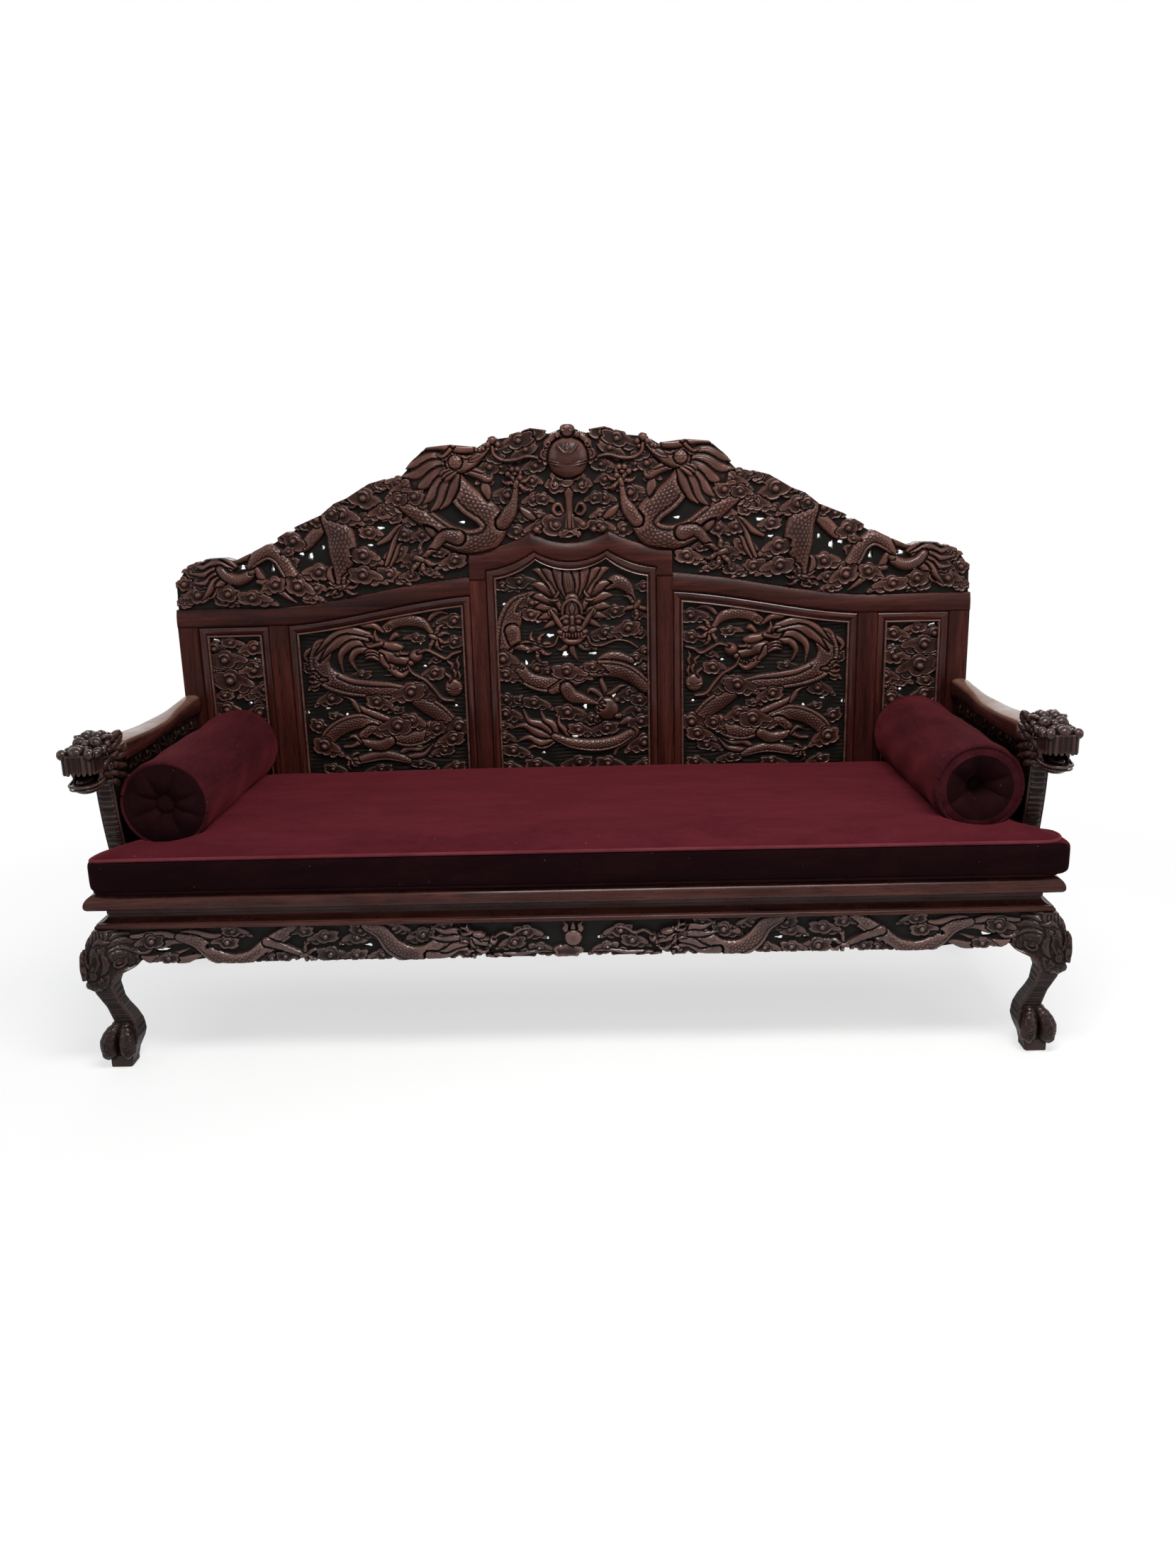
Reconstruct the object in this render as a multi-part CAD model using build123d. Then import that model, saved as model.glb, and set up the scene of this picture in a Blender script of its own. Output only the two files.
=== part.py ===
from build123d import *
from math import atan2, degrees, hypot, sqrt
import os

# Luohan daybed: a carved hardwood couch with a stepped five-panel back, a crest board,
# dragon-headed arms, a waisted seat frame on cabriole legs, and loose velvet cushions.
#
# Millimetres, +Z up, +X to the right as seen from the front, -Y towards the front. The
# origin is on the floor under the middle of the couch's outline. Every wooden member is
# its own solid and meets its neighbours in mitres, tenons, tongues, laps or dowels.

# ---- Seat frame and base ------------------------------------------------------------
seat_width = 2200.0         # over the rounded edge of the frame
seat_depth = 800.0
seat_height = 425.0         # top of the bare frame
rail_width = 90.0
rail_thickness = 37.0
edge_round_top = 24.0       # how far the rounded edge reaches in on top
edge_round_low = 12.0       # and underneath
waist_height = 36.0
waist_inset = 37.0
waist_thickness = 23.0
waist_flare = 19.0          # how far the foot of the waist curves out
strip_height = 12.0         # the flat strip between waist and apron
strip_inset = 14.0
apron_height = 88.0
apron_thickness = 26.0
apron_inset = 20.0
corner_block = 104.0        # plan size of a leg's top block, from the frame's edge
knee_proud = 25.0           # how far a knee stands out past the frame's edge
knee_lift = 4.0             # the knee's widest line above the apron's lower edge
block_proud = 8.0           # how far a leg's block stands out past the aprons
leg_round = 10.0            # how much the leg's corners are rounded
ankle_inset = 31.0
ankle_size = 45.0
ankle_height = 96.0
shin_size = 40.0
foot_size = 82.0
foot_round = 22.0
foot_tuck = 14.0            # how far the paw's underside is drawn in
pad_size = 47.0
pad_height = 24.0

# ---- Seat boards and battens ---------------------------------------------------------
board_count = 3
board_thickness = 26.0
board_sink = 2.0            # the boards lie this much below the top of the frame
board_seam = 1.0
board_play = 0.5            # room for the boards to swell in the frame
tongue_thickness = 9.6
tongue_length = 9.0
batten_count = 3
batten_width = 50.0
batten_height = 44.0
batten_lap = 25.0

# ---- Back screen ---------------------------------------------------------------------
back_inset = 22.0           # outer posts stand this far in from the frame's ends
back_setback = 12.0         # and this far in from the frame's rear edge
back_thickness = 46.0
post_width = 53.0
outer_opening = 196.0       # clear width of the narrow outer openings
divider_width = 51.0
centre_half = 274.0         # half width of the tall middle section
centre_stile = 42.0
arch_foot = 26.0            # how far the arch's ends reach down over the stiles
bottom_rail = 50.0
shoulder_height = 984.0     # top of the side rails at their outer ends
shoulder_rise = 71.0        # how far they climb to the middle section
shoulder_start = 30.0       # where they start to climb, in from the divider
top_rail = 49.0
middle_rise = 65.0          # outer corners of the middle section above those rails
cusp_rise = 49.0            # the two points above those corners
cusp_half = 105.0
cusp_dip = 29.0             # the hollow between the points
moulding_width = 28.0
moulding_drop = 29.0
moulding_set_back = 3.0
moulding_thickness = 38.0
bead_width = 6.0
bead_proud = 2.0
panel_thickness = 24.0
panel_tongue = 8.0
panel_set_back = 10.0
panel_relief = 8.0          # how far the inner panels' dragons stand out from their boards
panel_body = 23.0           # half the thickness of such a dragon
panel_limb = 14.0
panel_cloud = 26.0

# ---- Crest ---------------------------------------------------------------------------
crest_height = 461.0        # above the shoulders, at the middle
crest_thickness = 40.0
crest_set_back = 3.0
relief_proud = 24.0         # how far the crest dragons stand out from the board
cloud_proud = 7.0           # and the clouds round them

# ---- Arms ----------------------------------------------------------------------------
arm_centre_inset = 40.0     # middle of an arm from the frame's end
arm_height = 748.0
arm_rail_depth = 48.0
arm_rail_dip = 15.0
arm_rail_rear = 36.0
arm_rail_front = 54.0
arm_post = 44.0
arm_sill = 30.0
arm_panel = 20.0
head_length = 218.0
head_reach = 38.0           # how far a nose stands out past the frame's front edge
head_half = 41.0
head_rise = 43.0            # the top of the brow above the arm
mouth_height = 14.0
neck_setback = 138.0        # the front of the neck behind the nose
neck_sweep = 50.0           # how far the neck's foot lies behind its top
neck_height = 88.0          # from the top of the neck up to the top of the arm

# ---- Cushions ------------------------------------------------------------------------
cushion_edge = 75.0
cushion_crown = 50.0
cushion_front = 3.0         # the cushion from the front edge of the frame
cushion_side = 16.0         # the wide front of the cushion from the frame's ends
bolster_radius = 96.0
bolster_front = 100.0       # front end of a bolster from the front edge
bolster_gap = 7.0           # between a bolster and its arm
button_radius = 17.0
button_thickness = 9.0

# ---- Fits ----------------------------------------------------------------------------
joint_gap = 0.2             # all round a tenon in its mortise
rest_gap = 0.3              # under and beside the soft pieces
tenon_thickness = 14.0
tenon_length = 18.0
tenon_shoulder = 11.0       # how far a tenon's cheeks stand in from the member's edges
stub_length = 16.0          # tenons that go down into the seat frame
overlap = 1.0               # how far a tenon is rooted in its own member
dowel_radius = 5.0
dowel_length = 36.0
dowel_gap = 0.05

# ---- Places worked out from the sizes -------------------------------------------------
half_width = seat_width / 2
half_depth = seat_depth / 2
rail_bottom = seat_height - rail_thickness
waist_bottom = rail_bottom - waist_height
strip_bottom = waist_bottom - strip_height
apron_bottom = strip_bottom - apron_height
board_top = seat_height - board_sink
board_bottom = board_top - board_thickness
tongue_low = board_bottom + (board_thickness - tongue_thickness) / 2 - 2.0
back_half = half_width - back_inset
back_rear = half_depth - back_setback
back_front = back_rear - back_thickness
post_inner = back_half - post_width
divider_outer = post_inner - outer_opening
divider_inner = divider_outer - divider_width
stile_inner = centre_half - centre_stile
opening_bottom = seat_height + bottom_rail
middle_height = shoulder_height + shoulder_rise + middle_rise
stile_top = middle_height - top_rail - arch_foot
under_rail = shoulder_height - top_rail
arm_x = half_width - arm_centre_inset
arm_low = arm_height - arm_rail_depth
head_front = -half_depth - head_reach
head_rear = head_front + head_length
neck_front = head_front + neck_setback
neck_top = arm_height - neck_height

parts = {}


def block(x, y, z):
    """A box between two limits along each axis."""
    size = [high - low for low, high in (x, y, z)]
    centre = [(high + low) / 2 for low, high in (x, y, z)]
    return Pos(*centre) * Box(*size)


def grown(x, y, z, gap):
    return block(*[(low - gap, high + gap) for low, high in (x, y, z)])


def both(low, high, side):
    """Limits along X for the right side, or mirrored for the left one."""
    return (low, high) if side > 0 else (-high, -low)


def tenon(guest, hosts, x, y, z):
    """Adds a tenon to one piece and cuts its mortise, with clearance, in the others."""
    parts[guest] += block(x, y, z)
    for host in hosts:
        parts[host] -= grown(x, y, z, joint_gap)


def dowel(hosts, centre, axis="z"):
    """A loose dowel in a hole that is shared by two pieces."""
    turn = {"z": Rot(0, 0, 0), "y": Rot(90, 0, 0)}[axis]
    place = Pos(*centre) * turn
    parts.setdefault("joinery_pegs", []).append(place * Cylinder(dowel_radius, dowel_length))
    hole = place * Cylinder(dowel_radius + dowel_gap, dowel_length + 1.0)
    for host in hosts:
        parts[host] -= hole


def upright(sketch, front, rear):
    """A sketch in X and Z as a board between two planes across Y."""
    return extrude(Plane.XZ.offset(-rear) * sketch, rear - front)


def side_on(sketch, low, high):
    """A sketch in Y and Z as a board between two planes across X."""
    return extrude(Plane.YZ.offset(low) * sketch, high - low)


def rectangle(x, z):
    """A rectangle sketch between limits."""
    return Pos((x[0] + x[1]) / 2, (z[0] + z[1]) / 2) * Rectangle(x[1] - x[0], z[1] - z[0])


def polygon(*points):
    return make_face(Polyline(*points, close=True))


# ---- Base: mitred rings, boards, battens, aprons and legs ------------------------------
def mitred_ring(name, section, inner):
    """Four mitred sides round the seat. The section is drawn as inset and height."""
    turns = {"front": 0, "right": 90, "rear": 180, "left": 270}
    for side, turn in turns.items():
        along, across = (seat_width, seat_depth) if turn % 180 == 0 else (seat_depth, seat_width)
        plane = Plane((-along / 2, -across / 2, 0), x_dir=(0, 1, 0), z_dir=(1, 0, 0))
        bar = extrude(plane * section, along)
        mitre = polygon(
            (-along / 2, -across / 2),
            (along / 2, -across / 2),
            (along / 2 - inner, -across / 2 + inner),
            (-along / 2 + inner, -across / 2 + inner),
        )
        parts[f"{name}_{side}"] = Rot(0, 0, turn) * (bar & extrude(mitre, seat_height + 1.0))


def seat_rails():
    groove_in = rail_width - tongue_length - 1.0
    edge_height = seat_height - edge_round_top
    low_corner = edge_height - edge_round_low
    section = make_face(
        Curve() + [
            TangentArc((edge_round_top, seat_height), (0, edge_height), tangent=(-1, 0)),
            TangentArc((0, edge_height), (edge_round_low, low_corner), tangent=(0, -1)),
            Polyline(
                (edge_round_low, low_corner),
                (edge_round_low + 2.0, rail_bottom),
                (rail_width, rail_bottom),
                (rail_width, tongue_low),
                (groove_in, tongue_low),
                (groove_in, tongue_low + tongue_thickness + 2 * joint_gap),
                (rail_width, tongue_low + tongue_thickness + 2 * joint_gap),
                (rail_width, seat_height),
                (edge_round_top, seat_height),
            ),
        ]
    )
    mitred_ring("seat_rail", section, rail_width)
    middle = rail_width / 2
    thin = 10.0
    for side, sign in (("left", -1), ("right", 1)):
        x = both(half_width - middle - 20.0, half_width - middle + 14.0, sign)
        low = rail_bottom + 4.0
        for end, way in (("front", -1), ("rear", 1)):
            y = both(half_depth - middle - 22.0, half_depth - edge_round_top, way)
            tenon(f"seat_rail_{side}", [f"seat_rail_{end}"], x, y, (low, low + thin))


def waist():
    outer = waist_inset
    foot = waist_inset - waist_flare
    inner = waist_inset + waist_thickness
    band = rail_bottom - waist_height * 0.45
    section = make_face(
        Curve() + [
            Polyline(
                (inner, waist_bottom),
                (inner, rail_bottom),
                (outer, rail_bottom),
                (outer, band),
                (outer + 3.0, band - 2.0),
            ),
            ThreePointArc(
                (outer + 3.0, band - 2.0),
                (outer - waist_flare * 0.2, waist_bottom + waist_height * 0.18),
                (foot, waist_bottom + 2.0),
            ),
            Polyline((foot, waist_bottom + 2.0), (foot, waist_bottom), (inner, waist_bottom)),
        ]
    )
    mitred_ring("waist", section, inner)


def strip():
    inner = waist_inset + waist_thickness
    half = strip_height / 2
    section = make_face(
        Curve() + [
            ThreePointArc(
                (strip_inset + half, waist_bottom),
                (strip_inset, waist_bottom - half),
                (strip_inset + half, strip_bottom),
            ),
            Polyline(
                (strip_inset + half, strip_bottom),
                (inner, strip_bottom),
                (inner, waist_bottom),
                (strip_inset + half, waist_bottom),
            ),
        ]
    )
    mitred_ring("base_strip", section, inner)


def seat_boards():
    """Floating boards whose tongues sit in the groove round the frame."""
    half_x = half_width - rail_width
    half_y = half_depth - rail_width
    tongue_z = (tongue_low + joint_gap, tongue_low + joint_gap + tongue_thickness)
    inner_x, inner_y = half_x - board_play, half_y - board_play
    body = block((-inner_x, inner_x), (-inner_y, inner_y), (board_bottom, board_top))
    edge = tongue_length - board_play
    body += block((-half_x - edge, half_x + edge), (-half_y - edge, half_y + edge), tongue_z)
    pitch = 2 * half_x / board_count
    for seam in range(1, board_count):
        x = -half_x + seam * pitch
        body -= grown((x, x), (-half_depth, half_depth), (board_bottom, board_top), board_seam / 2)
    parts["seat_boards"] = body


def battens():
    """Cross battens lapped up into the underside of the long rails."""
    top = board_bottom - rest_gap
    half_y = half_depth - rail_width
    pitch = seat_width / (batten_count + 1)
    made = []
    for number in range(batten_count):
        x = -half_width + (number + 1) * pitch
        span = (x - batten_width / 2, x + batten_width / 2)
        made.append(
            block(span, (-half_y, half_y), (top - batten_height, top))
            + block(span, (-half_y - batten_lap, half_y + batten_lap), (rail_bottom, top))
        )
        lap = grown(span, (-half_y - batten_lap, half_y + batten_lap), (rail_bottom, top), joint_gap)
        for side in ("front", "rear"):
            parts[f"seat_rail_{side}"] -= lap
    parts["seat_battens"] = made


def leg():
    """One cabriole leg, drawn in a corner where x and y are insets from the frame's edge."""
    knee = apron_bottom + knee_lift
    fall = knee - ankle_height
    ball = pad_height + foot_size * 0.38
    heel = ankle_inset + ankle_size
    block_outer = apron_inset - block_proud

    def level(height, outer, size, corner):
        middle = outer + size / 2
        return Plane.XY.offset(height) * Pos(middle, middle) * RectangleRounded(size, size, corner)

    top = loft([
        level(strip_bottom, block_outer, corner_block - block_outer, leg_round * 0.5),
        level((strip_bottom + knee) / 2, -knee_proud * 0.6, corner_block + knee_proud * 0.6, leg_round),
        level(knee, -knee_proud, corner_block + knee_proud * 0.8, leg_round),
    ], ruled=True)
    shank = loft([
        level(knee + 2 * knee_lift, -knee_proud, corner_block * 0.98, leg_round),
        level(ankle_height + fall * 0.83, -knee_proud, shin_size * 1.92, leg_round),
        level(ankle_height + fall * 0.69, -knee_proud * 0.68, shin_size * 1.5, leg_round),
        level(ankle_height + fall * 0.45, ankle_inset * 0.32, shin_size, leg_round),
        level(ankle_height + fall * 0.19, ankle_inset * 0.84, (shin_size + ankle_size) / 2, leg_round),
        level(ankle_height, ankle_inset, ankle_size, leg_round),
        level(ball + foot_tuck, ankle_inset, ankle_size, leg_round),
        level(ball, heel - foot_size, foot_size, foot_round),
        level(pad_height + foot_tuck * 0.7, heel - foot_size, foot_size, foot_round),
        level(pad_height - overlap, heel - foot_size + foot_tuck, foot_size - 2 * foot_tuck, foot_round * 0.8),
    ], ruled=True)
    pad_outer = heel - foot_size / 2 - pad_size / 2
    pad = block((pad_outer, pad_outer + pad_size), (pad_outer, pad_outer + pad_size), (0, pad_height))
    toes = Part()
    toe = foot_size * 0.2
    for share in (0.28, 0.72):
        reach = heel - foot_size + foot_size * share
        toes += Pos(heel - foot_size + toe * 0.75, reach, pad_height + toe) * Sphere(toe)
        toes += Pos(reach, heel - foot_size + toe * 0.75, pad_height + toe) * Sphere(toe)
    post = waist_inset + waist_thickness + 2 * overlap
    stem = block((post, corner_block), (post, corner_block), (strip_bottom - overlap, rail_bottom))
    return top + shank + pad + toes + stem


def legs():
    """Four legs. Each stem's tenon goes up into the mitred corner of the seat frame."""
    front_left = Pos(-half_width, -half_depth, 0) * leg()
    front_right = mirror(front_left, about=Plane.YZ)
    shapes = {
        "front_left": (front_left, -1, -1),
        "front_right": (front_right, 1, -1),
        "rear_left": (mirror(front_left, about=Plane.XZ), -1, 1),
        "rear_right": (mirror(front_right, about=Plane.XZ), 1, 1),
    }
    stub = waist_inset + waist_thickness + 4 * overlap
    stub_end = rail_width - tongue_length - 3 * overlap
    for name, (shape, x_side, y_side) in shapes.items():
        parts[f"leg_{name}"] = shape
        long_rail, short_rail = name.split("_")
        tenon(
            f"leg_{name}",
            [f"seat_rail_{long_rail}", f"seat_rail_{short_rail}"],
            both(half_width - stub_end, half_width - stub, x_side),
            both(half_depth - stub_end, half_depth - stub, y_side),
            (rail_bottom - overlap, tongue_low - overlap),
        )


def aprons():
    """Carved boards under the strip, tenoned into the legs."""
    outer, inner = apron_inset, apron_inset + apron_thickness
    for side, along, across, turn in (
        ("front", seat_width, seat_depth, 0),
        ("right", seat_depth, seat_width, 90),
        ("rear", seat_width, seat_depth, 180),
        ("left", seat_depth, seat_width, 270),
    ):
        reach = along / 2 - corner_block
        y = (-across / 2 + outer, -across / 2 + inner)
        board = block((-reach, reach), y, (apron_bottom, strip_bottom))
        board = fillet(board.edges().filter_by(Axis.X).group_by(Axis.Z)[0], 6.0)
        parts[f"apron_{side}"] = Rot(0, 0, turn) * board
    cheek_in = (apron_thickness - tenon_thickness) / 2
    thick = (outer + cheek_in, inner - cheek_in)
    height = (apron_bottom + stub_length, strip_bottom - stub_length)
    for x_name, x_side in (("left", -1), ("right", 1)):
        for y_name, y_side in (("front", -1), ("rear", 1)):
            host = f"leg_{y_name}_{x_name}"
            end = half_width - corner_block
            x = both(end - overlap, end + tenon_length, x_side)
            y = both(half_depth - thick[1], half_depth - thick[0], y_side)
            tenon(f"apron_{y_name}", [host], x, y, height)
            end = half_depth - corner_block
            x = both(half_width - thick[1], half_width - thick[0], x_side)
            y = both(end - overlap, end + tenon_length, y_side)
            tenon(f"apron_{x_name}", [host], x, y, height)


# ---- Back screen ----------------------------------------------------------------------
def shoulder_curve(drop):
    """The line of a side rail's top, from its outer end up to the middle section."""
    low = shoulder_height - drop
    return Bezier(
        (divider_outer - shoulder_start, low),
        (divider_outer * 0.77, low + shoulder_rise * 0.05),
        (centre_half * 1.65, low + shoulder_rise * 0.84),
        (centre_half - 3.0, low + shoulder_rise),
    )


def under_shoulder(x, drop, bottom):
    """What lies under that line, between two limits across the back."""
    curve = shoulder_curve(drop)
    start, end = curve @ 0, curve @ 1
    far = half_width + back_inset
    area = make_face(
        Curve() + [
            curve,
            Polyline((end.X, end.Y), (end.X, 0), (far, 0), (far, start.Y), (start.X, start.Y)),
        ]
    )
    return area & rectangle(x, (bottom, middle_height))


def under_cusps(half, drop, bottom):
    """What lies under the pointed top of the middle section."""
    low = middle_height - drop
    peak = low + cusp_rise
    share = half / centre_half
    corner = (half, low)
    point = (cusp_half * (0.62 + 0.38 * share), peak)
    middle = ((corner[0] + point[0]) / 2, (corner[1] + point[1]) / 2 - cusp_rise * 0.2)

    def left(place):
        return (-place[0], place[1])

    return make_face(
        Curve() + [
            ThreePointArc(corner, middle, point),
            ThreePointArc(point, (0, peak - cusp_dip), left(point)),
            ThreePointArc(left(point), left(middle), left(corner)),
            Polyline(left(corner), (-half, bottom), (half, bottom), corner),
        ]
    )


def mirrored(name, shape):
    """The same piece on the right and, mirrored, on the left."""
    parts[f"{name}_right"] = shape
    if isinstance(shape, list):
        parts[f"{name}_left"] = [mirror(piece, about=Plane.YZ) for piece in shape]
    else:
        parts[f"{name}_left"] = mirror(shape, about=Plane.YZ)


def back_frame():
    depth = (back_front, back_rear)
    parts["back_bottom_rail"] = block((-post_inner, post_inner), depth, (seat_height, opening_bottom))
    mirrored("outer_post", block((post_inner, back_half), depth, (seat_height, under_rail)))
    mirrored("divider", block((divider_inner, divider_outer), depth, (opening_bottom, under_rail)))
    mirrored("centre_stile", block((stile_inner, centre_half), depth, (opening_bottom, stile_top)))
    rail = under_shoulder((centre_half, back_half), 0, 0)
    rail -= under_shoulder((0, half_width), top_rail, 0)
    mirrored("side_top_rail", upright(rail, *depth))
    arch = under_cusps(centre_half, 0, stile_top) - under_cusps(stile_inner, top_rail, 0)
    parts["centre_top_rail"] = upright(arch, *depth)

    middle = (back_front + back_rear) / 2
    thick = (middle - tenon_thickness / 2, middle + tenon_thickness / 2)
    into_seat = (seat_height - stub_length, seat_height + overlap)
    into_top = (under_rail - overlap, under_rail + tenon_length)
    into_sill = (opening_bottom - tenon_length, opening_bottom + overlap)
    into_arch = (stile_top - overlap, stile_top + tenon_length)
    rail_end = (seat_height + tenon_shoulder, opening_bottom - tenon_shoulder)
    step = shoulder_height + shoulder_rise
    step_end = (step - top_rail + tenon_shoulder, step - tenon_shoulder - 6.0)
    for side, sign in (("right", 1), ("left", -1)):
        post, divider, stile = f"outer_post_{side}", f"divider_{side}", f"centre_stile_{side}"
        top = f"side_top_rail_{side}"
        cheek = both(post_inner + tenon_shoulder, back_half - tenon_shoulder, sign)
        tenon(post, ["seat_rail_rear", f"seat_rail_{side}"], cheek, thick, into_seat)
        tenon(post, [top], cheek, thick, into_top)
        end = both(post_inner - overlap, post_inner + tenon_length, sign)
        tenon("back_bottom_rail", [post], end, thick, rail_end)
        cheek = both(divider_inner + tenon_shoulder, divider_outer - tenon_shoulder, sign)
        tenon(divider, ["back_bottom_rail"], cheek, thick, into_sill)
        tenon(divider, [top], cheek, thick, into_top)
        cheek = both(stile_inner + tenon_shoulder, centre_half - tenon_shoulder, sign)
        tenon(stile, ["back_bottom_rail"], cheek, thick, into_sill)
        tenon(stile, ["centre_top_rail"], cheek, thick, into_arch)
        end = both(centre_half - tenon_length, centre_half + overlap, sign)
        tenon(top, [stile], end, thick, step_end)
    for share in (-0.62, 0.0, 0.62):
        x = share * post_inner
        cheek = (x - 2 * tenon_length, x + 2 * tenon_length)
        tenon("back_bottom_rail", ["seat_rail_rear"], cheek, thick, into_seat)


def openings():
    """Each opening: its name, its outline for a given inset, its top corners, and whether
    it is one of a pair."""
    def outer(inset):
        x = (divider_outer + inset, post_inner - inset)
        return rectangle(x, (opening_bottom + inset, under_rail - inset))

    def inner(inset):
        x = (centre_half + inset, divider_inner - inset)
        return under_shoulder(x, top_rail + inset * moulding_drop / moulding_width, opening_bottom + inset)

    def centre(inset):
        drop = top_rail + inset * moulding_drop / moulding_width * 0.85
        return under_cusps(stile_inner - inset, drop, opening_bottom + inset)

    high = under_rail + shoulder_rise
    middle = middle_height - top_rail
    return (
        ("outer", outer, (divider_outer, under_rail), (post_inner, under_rail), True),
        ("inner", inner, (centre_half, high), (divider_inner, under_rail), True),
        ("centre", centre, (-stile_inner, middle), (stile_inner, middle), False),
    )


def mitred_members(ring, top_left, top_right):
    """Cuts a ring into its bottom, top and two side members at the mitred corners."""
    reach = moulding_width * 1.6
    (x0, z0), (x1, z1) = top_left, top_right
    foot = opening_bottom
    sky = middle_height + cusp_rise
    inside = [
        (x0 + reach, foot + reach),
        (x1 - reach, foot + reach),
        (x1 - reach, z1 - reach),
        (x0 + reach, z0 - reach),
    ]
    regions = (
        polygon((x0, foot), (x1, foot), inside[1], inside[0]),
        polygon((x1, foot), (x1, z1), inside[2], inside[1]),
        polygon((x1, z1), (x1, sky), (x0, sky), (x0, z0), inside[3], inside[2]),
        polygon((x0, z0), (x0, foot), inside[0], inside[3]),
    )
    return [ring & upright(region, 0, half_depth) for region in regions]


# An inner panel's dragon, its limbs and its clouds. Each point is a share of the sight
# width and of the height from the sight's foot to the foot of the side rails.
panel_bodies = (
    ((0.888, 0.87), (0.92, 0.757), (0.866, 0.664), (0.71, 0.606), (0.53, 0.57), (0.33, 0.56)),
    ((0.263, 0.79), (0.486, 0.826), (0.665, 0.907), (0.844, 0.826)),
    ((0.31, 0.537), (0.107, 0.375)),
    ((0.598, 0.375), (0.754, 0.34), (0.866, 0.225)),
    ((0.263, 0.26), (0.44, 0.248)),
)
panel_limbs = (
    ((0.185, 0.93), (0.263, 1.0), (0.397, 1.0), (0.464, 0.954)),
    ((0.48, 0.225), (0.62, 0.225)),
    ((0.397, 0.12), (0.665, 0.132)),
)
panel_clouds = (
    ((0.073, 0.32), (0.207, 0.306)), ((0.1, 0.238), (0.13, 0.238)), ((0.33, 0.36), (0.464, 0.329)),
    ((0.34, 0.549), (0.375, 0.549)), ((0.52, 0.49), (0.545, 0.49)), ((0.86, 0.2), (0.89, 0.2)),
    ((0.065, 0.576), (0.075, 0.576)),
)


def thick_line(places, radius):
    """The outline, seen from the front, of a round body of one width along a line."""
    made = Sketch()
    for (x0, z0), (x1, z1) in zip(places, places[1:]):
        length = hypot(x1 - x0, z1 - z0)
        turn = degrees(atan2(z1 - z0, x1 - x0))
        made += Pos((x0 + x1) / 2, (z0 + z1) / 2) * Rot(0, 0, turn) * SlotCenterToCenter(length, 2 * radius)
    return made


def panel_place(share_x, share_z):
    low_x, high_x = centre_half + moulding_width, divider_inner - moulding_width
    low_z = opening_bottom + moulding_width
    return (low_x + share_x * (high_x - low_x), low_z + share_z * (under_rail - low_z))


def panel_dragon():
    made = Sketch()
    for lines, radius in ((panel_bodies, panel_body), (panel_limbs, panel_limb), (panel_clouds, panel_cloud)):
        for line in lines:
            made += thick_line([panel_place(*point) for point in line], radius)
    return made


def panels():
    """Inner frames with a bead at the sight edge, and the boards that float in them."""
    face = back_front + moulding_set_back
    rear = face + moulding_thickness
    tongue_front = face + moulding_thickness / 2
    tongue_rear = tongue_front + tongue_thickness
    board_front = face + panel_set_back
    for name, outline, top_left, top_right, is_pair in openings():
        sight = outline(moulding_width)
        ring = upright(outline(0) - sight, face, rear)
        ring += upright(outline(moulding_width - bead_width) - sight, face - bead_proud, face + overlap)
        groove = outline(moulding_width - panel_tongue - overlap)
        ring -= upright(groove, tongue_front, tongue_rear + 2 * joint_gap)
        members = mitred_members(ring, top_left, top_right)
        board = upright(outline(moulding_width + joint_gap), board_front, board_front + panel_thickness)
        board += upright(
            outline(moulding_width - panel_tongue),
            tongue_front + joint_gap,
            tongue_rear + joint_gap,
        )
        if name == "inner":
            carved = panel_dragon() & outline(moulding_width + joint_gap)
            board += upright(carved, board_front - panel_relief, board_front + overlap)
        if is_pair:
            mirrored(f"{name}_moulding", members)
            mirrored(f"{name}_panel", board)
        else:
            parts[f"{name}_moulding"] = members
            parts[f"{name}_panel"] = board


# ---- Crest ----------------------------------------------------------------------------
# Each point is a share of the back's half width and a share of the crest's height.
crest_profile = (
    (0.995, 0.16), (0.968, 0.245), (0.93, 0.285), (0.865, 0.29), (0.84, 0.272), (0.77, 0.345),
    (0.68, 0.462), (0.615, 0.522), (0.582, 0.585), (0.547, 0.616), (0.492, 0.692), (0.415, 0.738),
    (0.38, 0.818), (0.343, 0.885), (0.285, 0.897), (0.23, 0.882), (0.193, 0.935), (0.132, 0.95),
    (0.09, 0.978), (0.045, 0.962), (0.018, 0.985), (0.0, 1.0),
)
# The crest dragon's body: points of its middle line, as shares of the same two lengths.
body_line = (
    (0.318, 0.70), (0.262, 0.60), (0.212, 0.515), (0.198, 0.42), (0.262, 0.385),
    (0.335, 0.44), (0.42, 0.555),
)
tail_line = ((0.565, 0.53), (0.572, 0.36), (0.566, 0.22))
head_line = ((0.19, 0.89), (0.27, 0.81), (0.36, 0.74))
loop_line = ((0.70, 0.165), (0.733, 0.31), (0.788, 0.305), (0.816, 0.22), (0.863, 0.2), (0.88, 0.23))
limb_lines = (((0.139, 0.6), (0.172, 0.48)), ((0.306, 0.39), (0.362, 0.38), (0.371, 0.27)))
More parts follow.
